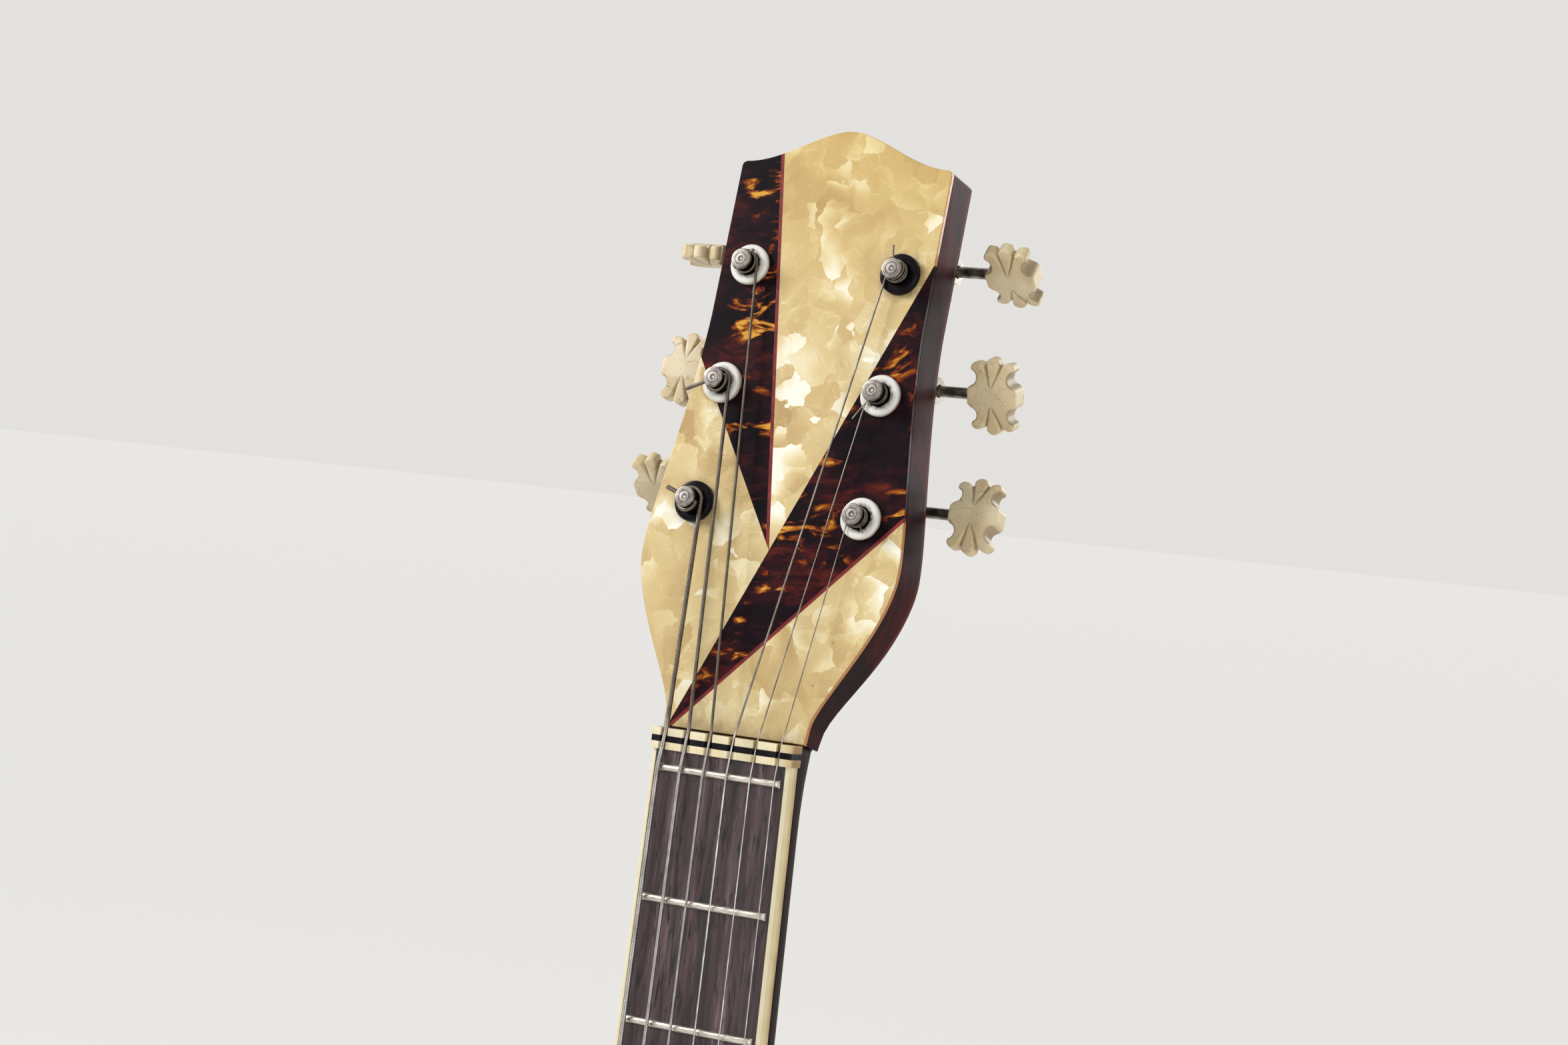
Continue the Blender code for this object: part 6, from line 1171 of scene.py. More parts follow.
for side, rows in (("bass", (6, 5, 4)), ("treble", (1, 2, 3))):
    lowest, highest = PEGS[rows[0]], PEGS[rows[2]]
    lean = (highest[0] - lowest[0]) / (highest[1] - lowest[1])
    ends = [(lowest[0] - lean * PLATE_PAST_LOW, lowest[1] - PLATE_PAST_LOW),
            (highest[0] + lean * PLATE_PAST_HIGH, highest[1] + PLATE_PAST_HIGH)]
    strip = slab([(ends[0][0] - PLATE_HALF, ends[0][1]), (ends[0][0] + PLATE_HALF, ends[0][1]),
                  (ends[1][0] + PLATE_HALF, ends[1][1]), (ends[1][0] - PLATE_HALF, ends[1][1])],
                 PLATE_FRONT, PLATE_BACK)
    corners = [e for e in strip.edges if abs(e.verts[0].co.y - e.verts[1].co.y) > 0.1 * MM]
    bmesh.ops.bevel(strip, geom=corners, offset=2.5 * MM, segments=6, profile=0.5, affect="EDGES", material=-1)
    rims = [e for e in strip.edges if min(v.co.y for v in e.verts) > PLATE_BACK - 0.01 * MM]
    bmesh.ops.bevel(strip, geom=rims, offset=0.3 * MM, segments=2, profile=0.5, affect="EDGES", material=-1)
    lugs, bores = [], []
    for number in rows:
        across_face, up_face = PEGS[number]
        for end in (-1, 1):
            near, far = sorted((end * LUG_IN, end * LUG_OUT))
            lug = block((across_face + near, PLATE_BACK - 0.8 * MM, up_face + SHAFT_UP - LUG_HALF),
                        (across_face + far, SHAFT_DEPTH + LUG_HALF, up_face + SHAFT_UP + LUG_HALF))
            tops = [e for e in lug.edges if min(v.co.y for v in e.verts) > SHAFT_DEPTH
                    and abs(e.verts[0].co.x - e.verts[1].co.x) > 0.1 * MM]
            bmesh.ops.bevel(lug, geom=tops, offset=LUG_HALF - 0.2 * MM, segments=8, profile=0.5, affect="EDGES",
                            material=-1)
            lugs.append(lug)
        hole = turned([(0, 10 * MM), (POST_RADIUS + 0.3 * MM, 10 * MM), (POST_RADIUS + 0.3 * MM, 20 * MM),
                       (0, 20 * MM)], 32)
        bores.append(placed(hole, Matrix.Translation((across_face, 0, up_face))))
        reach = 2 * LUG_OUT
        bore = turned([(0, -reach), (SHAFT_RADIUS + 0.3 * MM, -reach), (SHAFT_RADIUS + 0.3 * MM, reach),
                       (0, reach)], 24)
        middle = Matrix.Translation((across_face, SHAFT_DEPTH, up_face + SHAFT_UP))
        bores.append(placed(bore, middle @ SIDEWAYS))
    strip = carved(carved(strip, lugs, "UNION"), bores)
    piece(f"tuner_strip_{side}", placed(strip, HEAD), plated, "root", (f"tuner_plate_{side}",),
          smooth=35)
    screw_ups = [rows_up for rows_up in (lowest[1] - 10 * MM, lowest[1] + 24 * MM, lowest[1] + 59 * MM,
                                         highest[1] + 15.2 * MM)]
    for count, up_face in enumerate(screw_ups):
        across_face = lowest[0] + lean * (up_face - lowest[1])
        dome = [(0, PLATE_BACK + 1.25 * MM)]
        dome += [(2.3 * MM * math.sin(math.radians(a)), PLATE_BACK + 0.05 * MM + 1.2 * MM * math.cos(math.radians(a)))
                 for a in range(15, 91, 15)]
        dome += [(0, PLATE_BACK + 0.05 * MM)]
        head = turned(dome, 32)
        slot_cut = block((-3 * MM, PLATE_BACK + 0.6 * MM, -0.3 * MM), (3 * MM, PLATE_BACK + 2 * MM, 0.3 * MM))
        head = carved(head, [slot_cut])
        twist = Matrix.Translation((across_face, 0, up_face)) @ Matrix.Rotation(0.9 * count + 0.4, 4, "Y")
        piece(f"plate_screw_{side}_{count + 1}", placed(head, HEAD @ twist), plate_screw, "root",
              smooth=35)

# Ferrules: moulded bushes pressed into the face, four of ivory-white plastic and two of black. The white ones are
# painted dark brown down the flange to where it meets the face, and grey in patches round the mouth of the bore:
# painted shade.
FLANGE = 5.9 * MM
BUSH_BORE = 3.3 * MM
EDGE_ROUND = 0.85 * MM
BLACK_BUSHES = (6, 3)

white_bush, tree, shader = finish("white_bush_plastic", Roughness=0.32, Coat_Weight=0.25, Coat_Roughness=0.15)
rise = add(tree, "Attribute", attribute_name="rise")
spot = add(tree, "TexCoord")
shade_spread = add(tree, "TexNoise", {"Scale": 420.0, "Detail": 4.0}, {"Vector": (spot, "Object")})
uneven = add(tree, "Math", {1: 0.5, 2: -0.25}, {0: (shade_spread, 0)}, operation="MULTIPLY_ADD")
ragged = add(tree, "Math", links={0: (rise, "Fac"), 1: (uneven, 0)}, operation="ADD")
# Painted shade: dark brown low on the flange where it meets the face, white on its top.
hues = add(tree, "ValToRGB", links={"Fac": (ragged, 0)},
           stops=((0.02, "5b4534"), (0.16, "a38a6c"), (0.34, "d9d2c4"), (0.6, "edeae1")))
# Painted shade: grey in patches round the mouth of the bore, where the post stands.
mouth = add(tree, "Attribute", attribute_name="mouth")
mouth_mottle = add(tree, "TexNoise", {"Scale": 900.0, "Detail": 3.0}, {"Vector": (spot, "Object")})
ring = add(tree, "Math", links={0: (mouth, "Fac"), 1: (mouth_mottle, 0)}, operation="MULTIPLY")
worn = add(tree, "MapRange", {"From Min": 0.12, "From Max": 0.5}, {"Value": (ring, 0)})
shade_painted = add(tree, "Mix", {7: srgb("4c4642")}, {0: (worn, 0), 6: (hues, 0)}, data_type="RGBA")
tree.links.new(shade_painted.outputs[2], shader.inputs["Base Color"])

black_bush, tree, shader = finish("black_bush_plastic", Roughness=0.2, Specular_IOR_Level=0.12)
spot = add(tree, "TexCoord")
haze = add(tree, "TexNoise", {"Scale": 350.0, "Detail": 3.0}, {"Vector": (spot, "Object")})
hues = add(tree, "ValToRGB", links={"Fac": (haze, 0)}, stops=((0.35, "0a080c"), (0.7, "141015")))
tree.links.new(hues.outputs[0], shader.inputs["Base Color"])
rough = add(tree, "MapRange", {"To Min": 0.1, "To Max": 0.28}, {"Value": (haze, 0)})
tree.links.new(rough.outputs[0], shader.inputs["Roughness"])

for number in PEGS:
    flange = [(BUSH_BORE, 1.4 * MM), (BUSH_BORE, -FLANGE_RISE + 0.4 * MM)]
    flange += arc((BUSH_BORE + 0.4 * MM, -FLANGE_RISE + 0.4 * MM), 0.4 * MM, 180, 270, 4)
    flange += [(BUSH_BORE + 0.9 * MM, -FLANGE_RISE)]
    flange += arc((FLANGE - EDGE_ROUND, -FLANGE_RISE + EDGE_ROUND), EDGE_ROUND, -90, 0, 6)
    flange += [(FLANGE, -0.03 * MM), (FLANGE - 0.8 * MM, -0.03 * MM), (FLANGE - 0.8 * MM, 1.4 * MM)]
    bush = turned(flange, 64, hollow=True)
    rises = bush.verts.layers.float.new("rise")
    mouths = bush.verts.layers.float.new("mouth")
    for vert in bush.verts:
        vert[rises] = min(max(-vert.co.y / FLANGE_RISE, 0), 1)
        vert[mouths] = min(max(1 - (math.hypot(vert.co.x, vert.co.z) - BUSH_BORE) / (1.8 * MM), 0), 1)
    white = number not in BLACK_BUSHES
    piece(f"ferrule_bush_{number}", placed(bush, at_post(number)), white_bush if white else black_bush, "root",
          (f"ferrule_{number}",), smooth=40)

# String posts: turned steel, drilled through for the string, each with a small toothed wheel behind the plate.
# The lathe left fine rings on the flat tops. Below the top the post is multiplied by dark brown: painted shade.
POST_RISE = 7.0 * MM
GEAR_FRONT = 19.0 * MM
GEAR_BACK = 22.6 * MM
GEAR_TEETH = 14
FULL_TURNS = {6: 0, 5: 1, 4: 1, 3: 2, 2: 2, 1: 3}
TAIL_HEADINGS = {6: 160, 5: 204, 4: 51, 3: 99, 2: 238, 1: 309}
WINDING_SPACE = 0.45 * MM


def winding(number):
    """A string's turned angle about its post, its climb there, and the height of the hole that it leaves by."""
    place, meets, turn = first_touch(number)
    enters = math.radians(TAIL_HEADINGS[number]) - math.pi
    swept = (turn * (enters - meets)) % (2 * math.pi) + 2 * math.pi * FULL_TURNS[number]
    climb = (STRINGS[number] + WINDING_SPACE) * (swept / (2 * math.pi) + 0.5)
    return swept, climb, -place.y + climb


turned_steel, tree, shader = finish("turned_steel", Metallic=1.0, Roughness=0.3)
spot = add(tree, "TexCoord")
axis = add(tree, "Attribute", attribute_name="radius")
lathe = add(tree, "TexNoise", {"Scale": 1.9, "Detail": 4.0, "Roughness": 0.7}, {"W": (axis, "Fac")},
            noise_dimensions="1D")
wear = add(tree, "TexNoise", {"Scale": 700.0, "Detail": 4.0}, {"Vector": (spot, "Object")})
mixed = add(tree, "Mix", {0: 0.3}, {2: (lathe, 0), 3: (wear, 0)}, data_type="FLOAT")
hues = add(tree, "ValToRGB", links={"Fac": (mixed, 0)}, stops=((0.38, "4a4441"), (0.5, "837c77"), (0.62, "c8c2bc")))
# Painted shade: below its top the whole post is multiplied by dark brown.
waist = add(tree, "Attribute", attribute_name="waist")
dulled = add(tree, "Mix", {7: srgb("6a5c52")}, {0: (waist, "Fac"), 6: (hues, 0)}, data_type="RGBA",
             blend_type="MULTIPLY")
tree.links.new(dulled.outputs[2], shader.inputs["Base Color"])
rough = add(tree, "MapRange", {"From Min": 0.35, "From Max": 0.65, "To Min": 0.42, "To Max": 0.22},
            {"Value": (mixed, 0)})
tree.links.new(rough.outputs[0], shader.inputs["Roughness"])
rings = add(tree, "Bump", {"Strength": 0.25, "Distance": 0.05 * MM}, {"Height": (lathe, 0)})
tree.links.new(rings.outputs[0], shader.inputs["Normal"])

for number, diameter in STRINGS.items():
    cone = [(0, -POST_RISE + 0.25 * MM), (0.25 * MM, -POST_RISE + 0.1 * MM), (0.5 * MM, -POST_RISE)]
    for groove in range(1, 6):
        radius = 0.5 * MM + 0.36 * MM * groove
        cone += [(radius - 0.14 * MM, -POST_RISE), (radius, -POST_RISE + 0.03 * MM)]
    cone += arc((POST_RADIUS - 0.3 * MM, -POST_RISE + 0.3 * MM), 0.3 * MM, -90, 0, 4)
    cone += [(POST_RADIUS, -POST_RISE + 0.9 * MM), (POST_RADIUS - 0.12 * MM, -POST_RISE + 1.2 * MM),
             (POST_WAIST, -POST_RISE + 1.6 * MM), (POST_WAIST, -FLANGE_RISE - 0.1 * MM),
             (POST_RADIUS, -FLANGE_RISE + 0.4 * MM), (POST_RADIUS, PLATE_BACK + 0.3 * MM)]
    cone += [(POST_RADIUS + 1.1 * MM, PLATE_BACK + 0.3 * MM), (POST_RADIUS + 1.1 * MM, GEAR_FRONT + 0.45 * MM),
             (POST_RADIUS, GEAR_FRONT + 0.45 * MM), (POST_RADIUS, 23.4 * MM), (POST_RADIUS - 0.4 * MM, 23.8 * MM),
             (0, 23.8 * MM)]
    post = turned(cone, 48)
    teeth = []
    for tooth in range(GEAR_TEETH):
        for share, radius in ((-0.26, 4.6 * MM), (-0.07, 5.8 * MM), (0.07, 5.8 * MM), (0.26, 4.6 * MM)):
            angle = math.pi / 2 + 2 * math.pi * (tooth + 0.5 + share) / GEAR_TEETH
            teeth.append((radius * math.cos(angle), radius * math.sin(angle)))
    wheel = slab(teeth, GEAR_FRONT, GEAR_BACK)
    rims = [e for e in wheel.edges if abs(e.verts[0].co.y - e.verts[1].co.y) < 0.01 * MM]
    bmesh.ops.bevel(wheel, geom=rims, offset=0.2 * MM, segments=2, profile=0.5, affect="EDGES", material=-1)
    post = carved(post, [wheel], "UNION")
    swept, climb, hole_rise = winding(number)
    heading = math.radians(TAIL_HEADINGS[number])
    drill = turned([(0, -8 * MM), (diameter / 2 + 0.2 * MM, -8 * MM), (diameter / 2 + 0.2 * MM, 8 * MM),
                    (0, 8 * MM)], 20)
    aimed = Matrix.Translation((0, -hole_rise, 0)) @ Matrix.Rotation(-heading, 4, "Y") @ SIDEWAYS
    post = carved(post, [placed(drill, aimed)])
    radii = post.verts.layers.float.new("radius")
    waists = post.verts.layers.float.new("waist")
    for vert in post.verts:
        vert[waists] = float(vert.co.y > -POST_RISE + MM)
        vert[radii] = math.hypot(vert.co.x, vert.co.z) / MM + abs(vert.co.y) / MM
    piece(f"string_post_{number}", placed(post, at_post(number)), turned_steel, f"post_{number}",
          (f"tuner_post_{number}",), smooth=30)

# Worm shafts: steel, each turned in one piece with a worm of three turns that drives the post's wheel. They are
# brown with old oil round the worm.
WORM_ROOT = 1.8 * MM
WORM_TIP = 3.1 * MM
WORM_PITCH = 2.3786 * MM
WORM_TURNS = 3
WORM_STEPS = 24
BUTTON_OUT = 24.3 * MM

oiled_steel, tree, shader = finish("oiled_steel", Metallic=1.0, Roughness=0.32)
spot = add(tree, "TexCoord")
film = add(tree, "TexNoise", {"Scale": 420.0, "Detail": 4.0}, {"Vector": (spot, "Object")})
hues = add(tree, "ValToRGB", links={"Fac": (film, 0)}, stops=((0.35, "5f564c"), (0.55, "8f8a83"), (0.7, "aaa6a1")))
tree.links.new(hues.outputs[0], shader.inputs["Base Color"])

for number in PEGS:
    spindle = [(0, -8.2 * MM), (SHAFT_RADIUS - 0.3 * MM, -8.2 * MM), (SHAFT_RADIUS, -7.9 * MM),
               (SHAFT_RADIUS, -5.3 * MM), (2.4 * MM, -5.3 * MM), (2.4 * MM, -4.9 * MM), (WORM_ROOT, -4.4 * MM),
               (WORM_ROOT, 4.4 * MM), (2.4 * MM, 4.9 * MM), (2.4 * MM, 5.3 * MM), (SHAFT_RADIUS, 5.3 * MM),
               (SHAFT_RADIUS, 26.3 * MM), (0, 26.3 * MM)]
    shaft = placed(turned(spindle, 32), SIDEWAYS)
    thread = bmesh.new()
    half = 0.3 * WORM_PITCH
    start = -WORM_PITCH * WORM_TURNS / 2
    flight = thread.faces.new([thread.verts.new((start + step, 0, -radius))
                               for step, radius in ((-half, 1.5 * MM), (-0.06 * MM, WORM_TIP),
                                                    (0.06 * MM, WORM_TIP), (half, 1.5 * MM))])
    bmesh.ops.rotate(thread, cent=(0, 0, 0), matrix=Matrix.Rotation(-math.pi * WORM_TURNS, 3, "X"),
                     verts=thread.verts)
    bmesh.ops.spin(thread, geom=[flight] + flight.edges[:] + flight.verts[:], cent=(0, 0, 0), axis=(1, 0, 0),
                   dvec=(WORM_PITCH / WORM_STEPS, 0, 0), angle=2 * math.pi * WORM_TURNS,
                   steps=WORM_STEPS * WORM_TURNS)
    shaft = carved(shaft, [thread], "UNION")
    piece(f"worm_and_shaft_{number}", placed(shaft, at_shaft(number)), oiled_steel, f"key_{number}",
          (f"worm_shaft_{number}",), smooth=35)

# Buttons: moulded in ivory-coloured plastic as a pair of lilies back to back, and pressed on their shafts. The
# petals are parted by grooves that run to a point, and age has crazed them. The grooves are darkened brown, partly dirt
# and partly painted shade, and the walls of the notches between the lobes carry painted shade.
BUTTON_HALF = 3.2 * MM
BUTTON_TURNS = {6: 53, 5: -2, 4: 100, 3: 60, 2: 27, 1: -5}
PETAL_TIP = 11.0 * MM

ivory_plastic, tree, shader = finish("aged_ivory_plastic", Roughness=0.42, Subsurface_Weight=0.12,
                                     Subsurface_Scale=1.0)
shader.inputs["Subsurface Radius"].default_value = (1.2 * MM, 0.8 * MM, 0.5 * MM)
spot = add(tree, "TexCoord")
cloud = add(tree, "TexNoise", {"Scale": 120.0, "Detail": 4.0}, {"Vector": (spot, "Object")})
hues = add(tree, "ValToRGB", links={"Fac": (cloud, 0)}, stops=((0.3, "d8c194"), (0.5, "e4d0a6"), (0.7, "eedfbc")))
wobble = add(tree, "TexNoise", {"Scale": 260.0, "Detail": 2.0}, {"Vector": (spot, "Object")})
swing = add(tree, "VectorMath", {"Scale": 3 * MM}, {0: (wobble, "Color")}, operation="SCALE")
wavy = add(tree, "VectorMath", links={0: (spot, "Object"), 1: (swing, 0)}, operation="ADD")
craze = add(tree, "TexVoronoi", {"Scale": 260.0}, {"Vector": (wavy, 0)}, feature="DISTANCE_TO_EDGE")
hair = add(tree, "MapRange", {"From Min": 0.022, "From Max": 0.0}, {"Value": (craze, 0)})
patch = add(tree, "TexNoise", {"Scale": 180.0, "Detail": 2.0}, {"Vector": (spot, "Object")})
where = add(tree, "MapRange", {"From Min": 0.46, "From Max": 0.6}, {"Value": (patch, 0)})
crazed = add(tree, "Math", links={0: (hair, 0), 1: (where, 0)}, operation="MULTIPLY")
speck = add(tree, "TexNoise", {"Scale": 2600.0, "Detail": 2.0}, {"Vector": (spot, "Object")})
pits = add(tree, "MapRange", {"From Min": 0.6, "From Max": 0.75, "To Max": 0.35}, {"Value": (speck, 0)})
either = add(tree, "Math", links={0: (crazed, 0), 1: (pits, 0)}, operation="MAXIMUM")
# hollow marks the grooves, darkened as dirt and painted shade, and the notch walls, darkened as painted shade.
groove_mark = add(tree, "Attribute", attribute_name="hollow")
dirt_noise = add(tree, "Math", {1: 0.6, 2: 0.62}, {0: (patch, 0)}, operation="MULTIPLY_ADD")
dirt_and_shade = add(tree, "Math", links={0: (groove_mark, "Fac"), 1: (dirt_noise, 0)}, operation="MULTIPLY")
darkening = add(tree, "Mix", {7: srgb("8d7a56")}, {0: (either, 0), 6: (hues, 0)}, data_type="RGBA")
browned = add(tree, "Mix", {7: srgb("6e5535")}, {0: (dirt_and_shade, 0), 6: (darkening, 2)}, data_type="RGBA")
tree.links.new(browned.outputs[2], shader.inputs["Base Color"])

petals = [(7.4 * MM, 0), (7.4 * MM, 2.2 * MM)]
petals += arc((6.9 * MM, 5.2 * MM), 2.2 * MM, 258, 105, 10)
petals += arc((4.95 * MM, 8.05 * MM), 1.6 * MM, -18, 112, 8)
petals += [(3.3 * MM, 9.25 * MM), (2.35 * MM, 8.5 * MM)]
petals += arc((0, PETAL_TIP - 2.15 * MM), 2.15 * MM, 12, 90, 6)
upper_half = petals + [(-a, b) for a, b in reversed(petals[:-1])]
lily = upper_half + [(a, -b) for a, b in reversed(upper_half[1:-1])]


def groove_at(b):
    """How far to each side of the middle the grooves between the petals lie."""
    return (0.25 + 2.05 * min(max((abs(b) / MM - 2.6) / 5.9, 0), 1)) * MM


for number in PEGS:
    button = slab(lily, -BUTTON_HALF, BUTTON_HALF)
    fall = math.radians(11)
    for face in (-1, 1):
        for end in (-1, 1):
            cut_off(button, (0, face * BUTTON_HALF, end * 3.2 * MM),
                    (0, face * math.cos(fall), end * math.sin(fall)))
    tools = []
    for face in (-1, 1):
        for end in (-1, 1):
            for wing in (-1, 1):
                rings = []
                for b, half, deep in ((2.4 * MM, 0.08 * MM, 0.05 * MM), (5.5 * MM, 0.5 * MM, 1.0 * MM),
                                      (9.6 * MM, 0.95 * MM, 2.0 * MM)):
                    level = BUTTON_HALF - max(b - 3.2 * MM, 0) * math.tan(fall)
                    centre = wing * (groove_at(b) if b < 9 * MM else 2.7 * MM)
                    rings.append([(centre - half, face * (level + 0.4 * MM), end * b),
                                  (centre, face * (level - deep), end * b),
                                  (centre + half, face * (level + 0.4 * MM), end * b)])
                tools.append(lofted(rings))
    button = carved(button, tools)
    solid = held(button)
    remesh = solid.modifiers.new("even", "REMESH")
    remesh.mode = "VOXEL"
    remesh.voxel_size = 0.26 * MM
    bpy.context.view_layer.update()
    button = bmesh.new()
    button.from_mesh(solid.evaluated_get(bpy.context.evaluated_depsgraph_get()).to_mesh())
    bpy.data.objects.remove(solid)
    for _ in range(4):
        bmesh.ops.smooth_vert(button, verts=button.verts, factor=0.5, use_axis_x=True, use_axis_y=True,
                              use_axis_z=True)
    bore = turned([(0, -10 * MM), (SHAFT_RADIUS + 0.05 * MM, -10 * MM), (SHAFT_RADIUS + 0.05 * MM, 2.3 * MM),
                   (0, 2.3 * MM)], 32)
    button = carved(button, [placed(bore, SIDEWAYS)])
    # hollow: the grooves, partly dirt and partly painted shade, and the walls of the side notches, painted shade.
    hollows = button.verts.layers.float.new("hollow")
    for vert in button.verts:
        off = abs(abs(vert.co.x) - groove_at(vert.co.z))
        reached = min(max((abs(vert.co.z) - 2.2 * MM) / (1.5 * MM), 0), 1)
        in_groove = max(1 - off / (0.45 * MM), 0) * reached * 0.85
        bite = math.hypot(abs(vert.co.x) - 6.9 * MM, abs(vert.co.z) - 5.2 * MM)
        in_bite = 0.6 * min(max((2.75 * MM - bite) / (0.4 * MM), 0), 1)
        vert[hollows] = max(in_groove, in_bite)
    side = 1 if PEGS[number][0] > 0 else -1
    seat = Matrix.Translation((BUTTON_OUT, 0, 0)) @ Matrix.Rotation(side * math.radians(BUTTON_TURNS[number]), 4, "X")
    piece(f"lily_button_{number}", placed(button, at_shaft(number) @ seat), ivory_plastic, f"key_{number}",
          (f"tuner_button_{number}",), smooth=50)

# Strings: round steel, the three low ones wound with nickel-steel wire and the high ones plain. Each starts at
# its ball in the tailpiece, runs over the saddle, the zero fret and the nut, and winds round its post.
STRING_RISE = 4.2 * MM
TAIL_REACHES = {6: 7.1 * MM, 5: 9.3 * MM, 4: 4.4 * MM, 3: 6.9 * MM, 2: 9.6 * MM, 1: 6.0 * MM}
WRAPPED = {6: 0.30 * MM, 5: 0.24 * MM, 4: 0.19 * MM}
STRING_SIDES = 10
TURN_POINTS = 40
ANCHOR_UP = 124 * MM
BAR_HALF = 4 * MM
BALL_RADIUS = 1.9 * MM
ANCHOR_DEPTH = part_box("tailpiece")[0].y + BAR_HALF

# Plain string: drawn steel wire, painted darker from the nut on: painted shade.
NECK_UP = NECK.to_3x3() @ Vector((0, 0, 1))
PAST_NUT = NECK_UP.dot(NECK.translation) + NUT_HIGH


def shaded_past_nut(tree, spot, colour, dimming):
    """Darkens a string's colour from the nut on, as painted shade."""
    up_neck = add(tree, "VectorMath", {1: tuple(NECK_UP)}, {0: (spot, "Object")}, operation="DOT_PRODUCT")
    past = add(tree, "MapRange", {"From Min": PAST_NUT - 2 * MM, "From Max": PAST_NUT + 4 * MM},
               {"Value": (up_neck, "Value")})
    return add(tree, "Mix", {7: srgb(dimming)}, {0: (past, 0), 6: (colour, 0)}, data_type="RGBA",
               blend_type="MULTIPLY")


plain_steel, tree, shader = finish("plain_string_steel", Metallic=1.0, Roughness=0.28)
spot = add(tree, "TexCoord")
stain = add(tree, "TexNoise", {"Scale": 220.0, "Detail": 4.0}, {"Vector": (spot, "Object")})
hues = add(tree, "ValToRGB", links={"Fac": (stain, 0)}, stops=((0.35, "9c9895"), (0.6, "c4c1be"), (0.75, "e0dedb")))
dulled = shaded_past_nut(tree, spot, hues, "a19a92")
tree.links.new(dulled.outputs[2], shader.inputs["Base Color"])

# Wound string: the wrap lies in close turns. Each is painted light on its crest and dark between turns, as painted
# highlight and shade, with a bump for their relief.
wound_steel, tree, shader = finish("wound_string_nickel", Metallic=1.0, Roughness=0.32)
walked = add(tree, "Attribute", attribute_name="wraps")
turn = add(tree, "Math", links={0: (walked, "Fac")}, operation="FRACT")
centred = add(tree, "Math", {1: 0.5}, {0: (turn, 0)}, operation="SUBTRACT")
apart = add(tree, "Math", links={0: (centred, 0)}, operation="ABSOLUTE")
# Painted highlight and shade: each turn dark at its edges and light at its crest.
wire = add(tree, "MapRange", {"From Min": 0.5, "From Max": 0.2}, {"Value": (apart, 0)})
spot = add(tree, "TexCoord")
stain = add(tree, "TexNoise", {"Scale": 260.0, "Detail": 3.0}, {"Vector": (spot, "Object")})
worn = add(tree, "MapRange", {"From Min": 0.3, "From Max": 0.7, "To Min": 0.7, "To Max": 1.0}, {"Value": (stain, 0)})
bright = add(tree, "Math", links={0: (wire, 0), 1: (worn, 0)}, operation="MULTIPLY")
hues = add(tree, "ValToRGB", links={"Fac": (bright, 0)}, stops=((0.0, "24201e"), (0.45, "7a7571"), (0.9, "d6d2cd")))
dulled = shaded_past_nut(tree, spot, hues, "a8a098")
tree.links.new(dulled.outputs[2], shader.inputs["Base Color"])
relief = add(tree, "Bump", {"Strength": 0.7, "Distance": 0.1 * MM}, {"Height": (wire, 0)})
tree.links.new(relief.outputs[0], shader.inputs["Normal"])


def swept(stretches, wrap):
    """A round tube through (place, radius) points. It stores how many turns of wrap lie behind each point."""
    bm = bmesh.new()
    wraps = bm.verts.layers.float.new("wraps")
    places = [place for place, _ in stretches]
    ring = bmesh.ops.create_circle(bm, cap_ends=False, segments=STRING_SIDES, radius=1.0)["verts"]
    edges = bm.edges[:]
    first = edges
    behind = places[1] - places[0]
    facing = Vector((0, 0, 1)).rotation_difference(behind)
    bmesh.ops.scale(bm, vec=(stretches[0][1],) * 3, verts=ring)
    bmesh.ops.rotate(bm, cent=(0, 0, 0), matrix=facing.to_matrix(), verts=ring)
    bmesh.ops.translate(bm, vec=places[0], verts=ring)
    passed = 0.0
    heading = behind.normalized()
    for i in range(1, len(places)):
        made = bmesh.ops.extrude_edge_only(bm, edges=edges)["geom"]
        edges = [g for g in made if isinstance(g, bmesh.types.BMEdge)]
        ring = [g for g in made if isinstance(g, bmesh.types.BMVert)]
        step = places[i] - places[i - 1]
        ahead = (places[i + 1] - places[i]).normalized() if i + 1 < len(places) else step.normalized()
        aimed = (step.normalized() + ahead).normalized()
        bend = heading.rotation_difference(aimed)
        grow = stretches[i][1] / stretches[i - 1][1]
        turned_ring = Matrix.Translation(places[i]) @ bend.to_matrix().to_4x4() @ Matrix.Scale(grow, 4)
        bmesh.ops.transform(bm, matrix=turned_ring @ Matrix.Translation(-places[i - 1]), verts=ring)
        heading = aimed
        passed += step.length
        for vert in ring:
            vert[wraps] = passed / wrap
    bmesh.ops.edgeloop_fill(bm, edges=first)
    bmesh.ops.edgeloop_fill(bm, edges=edges)
    return bm


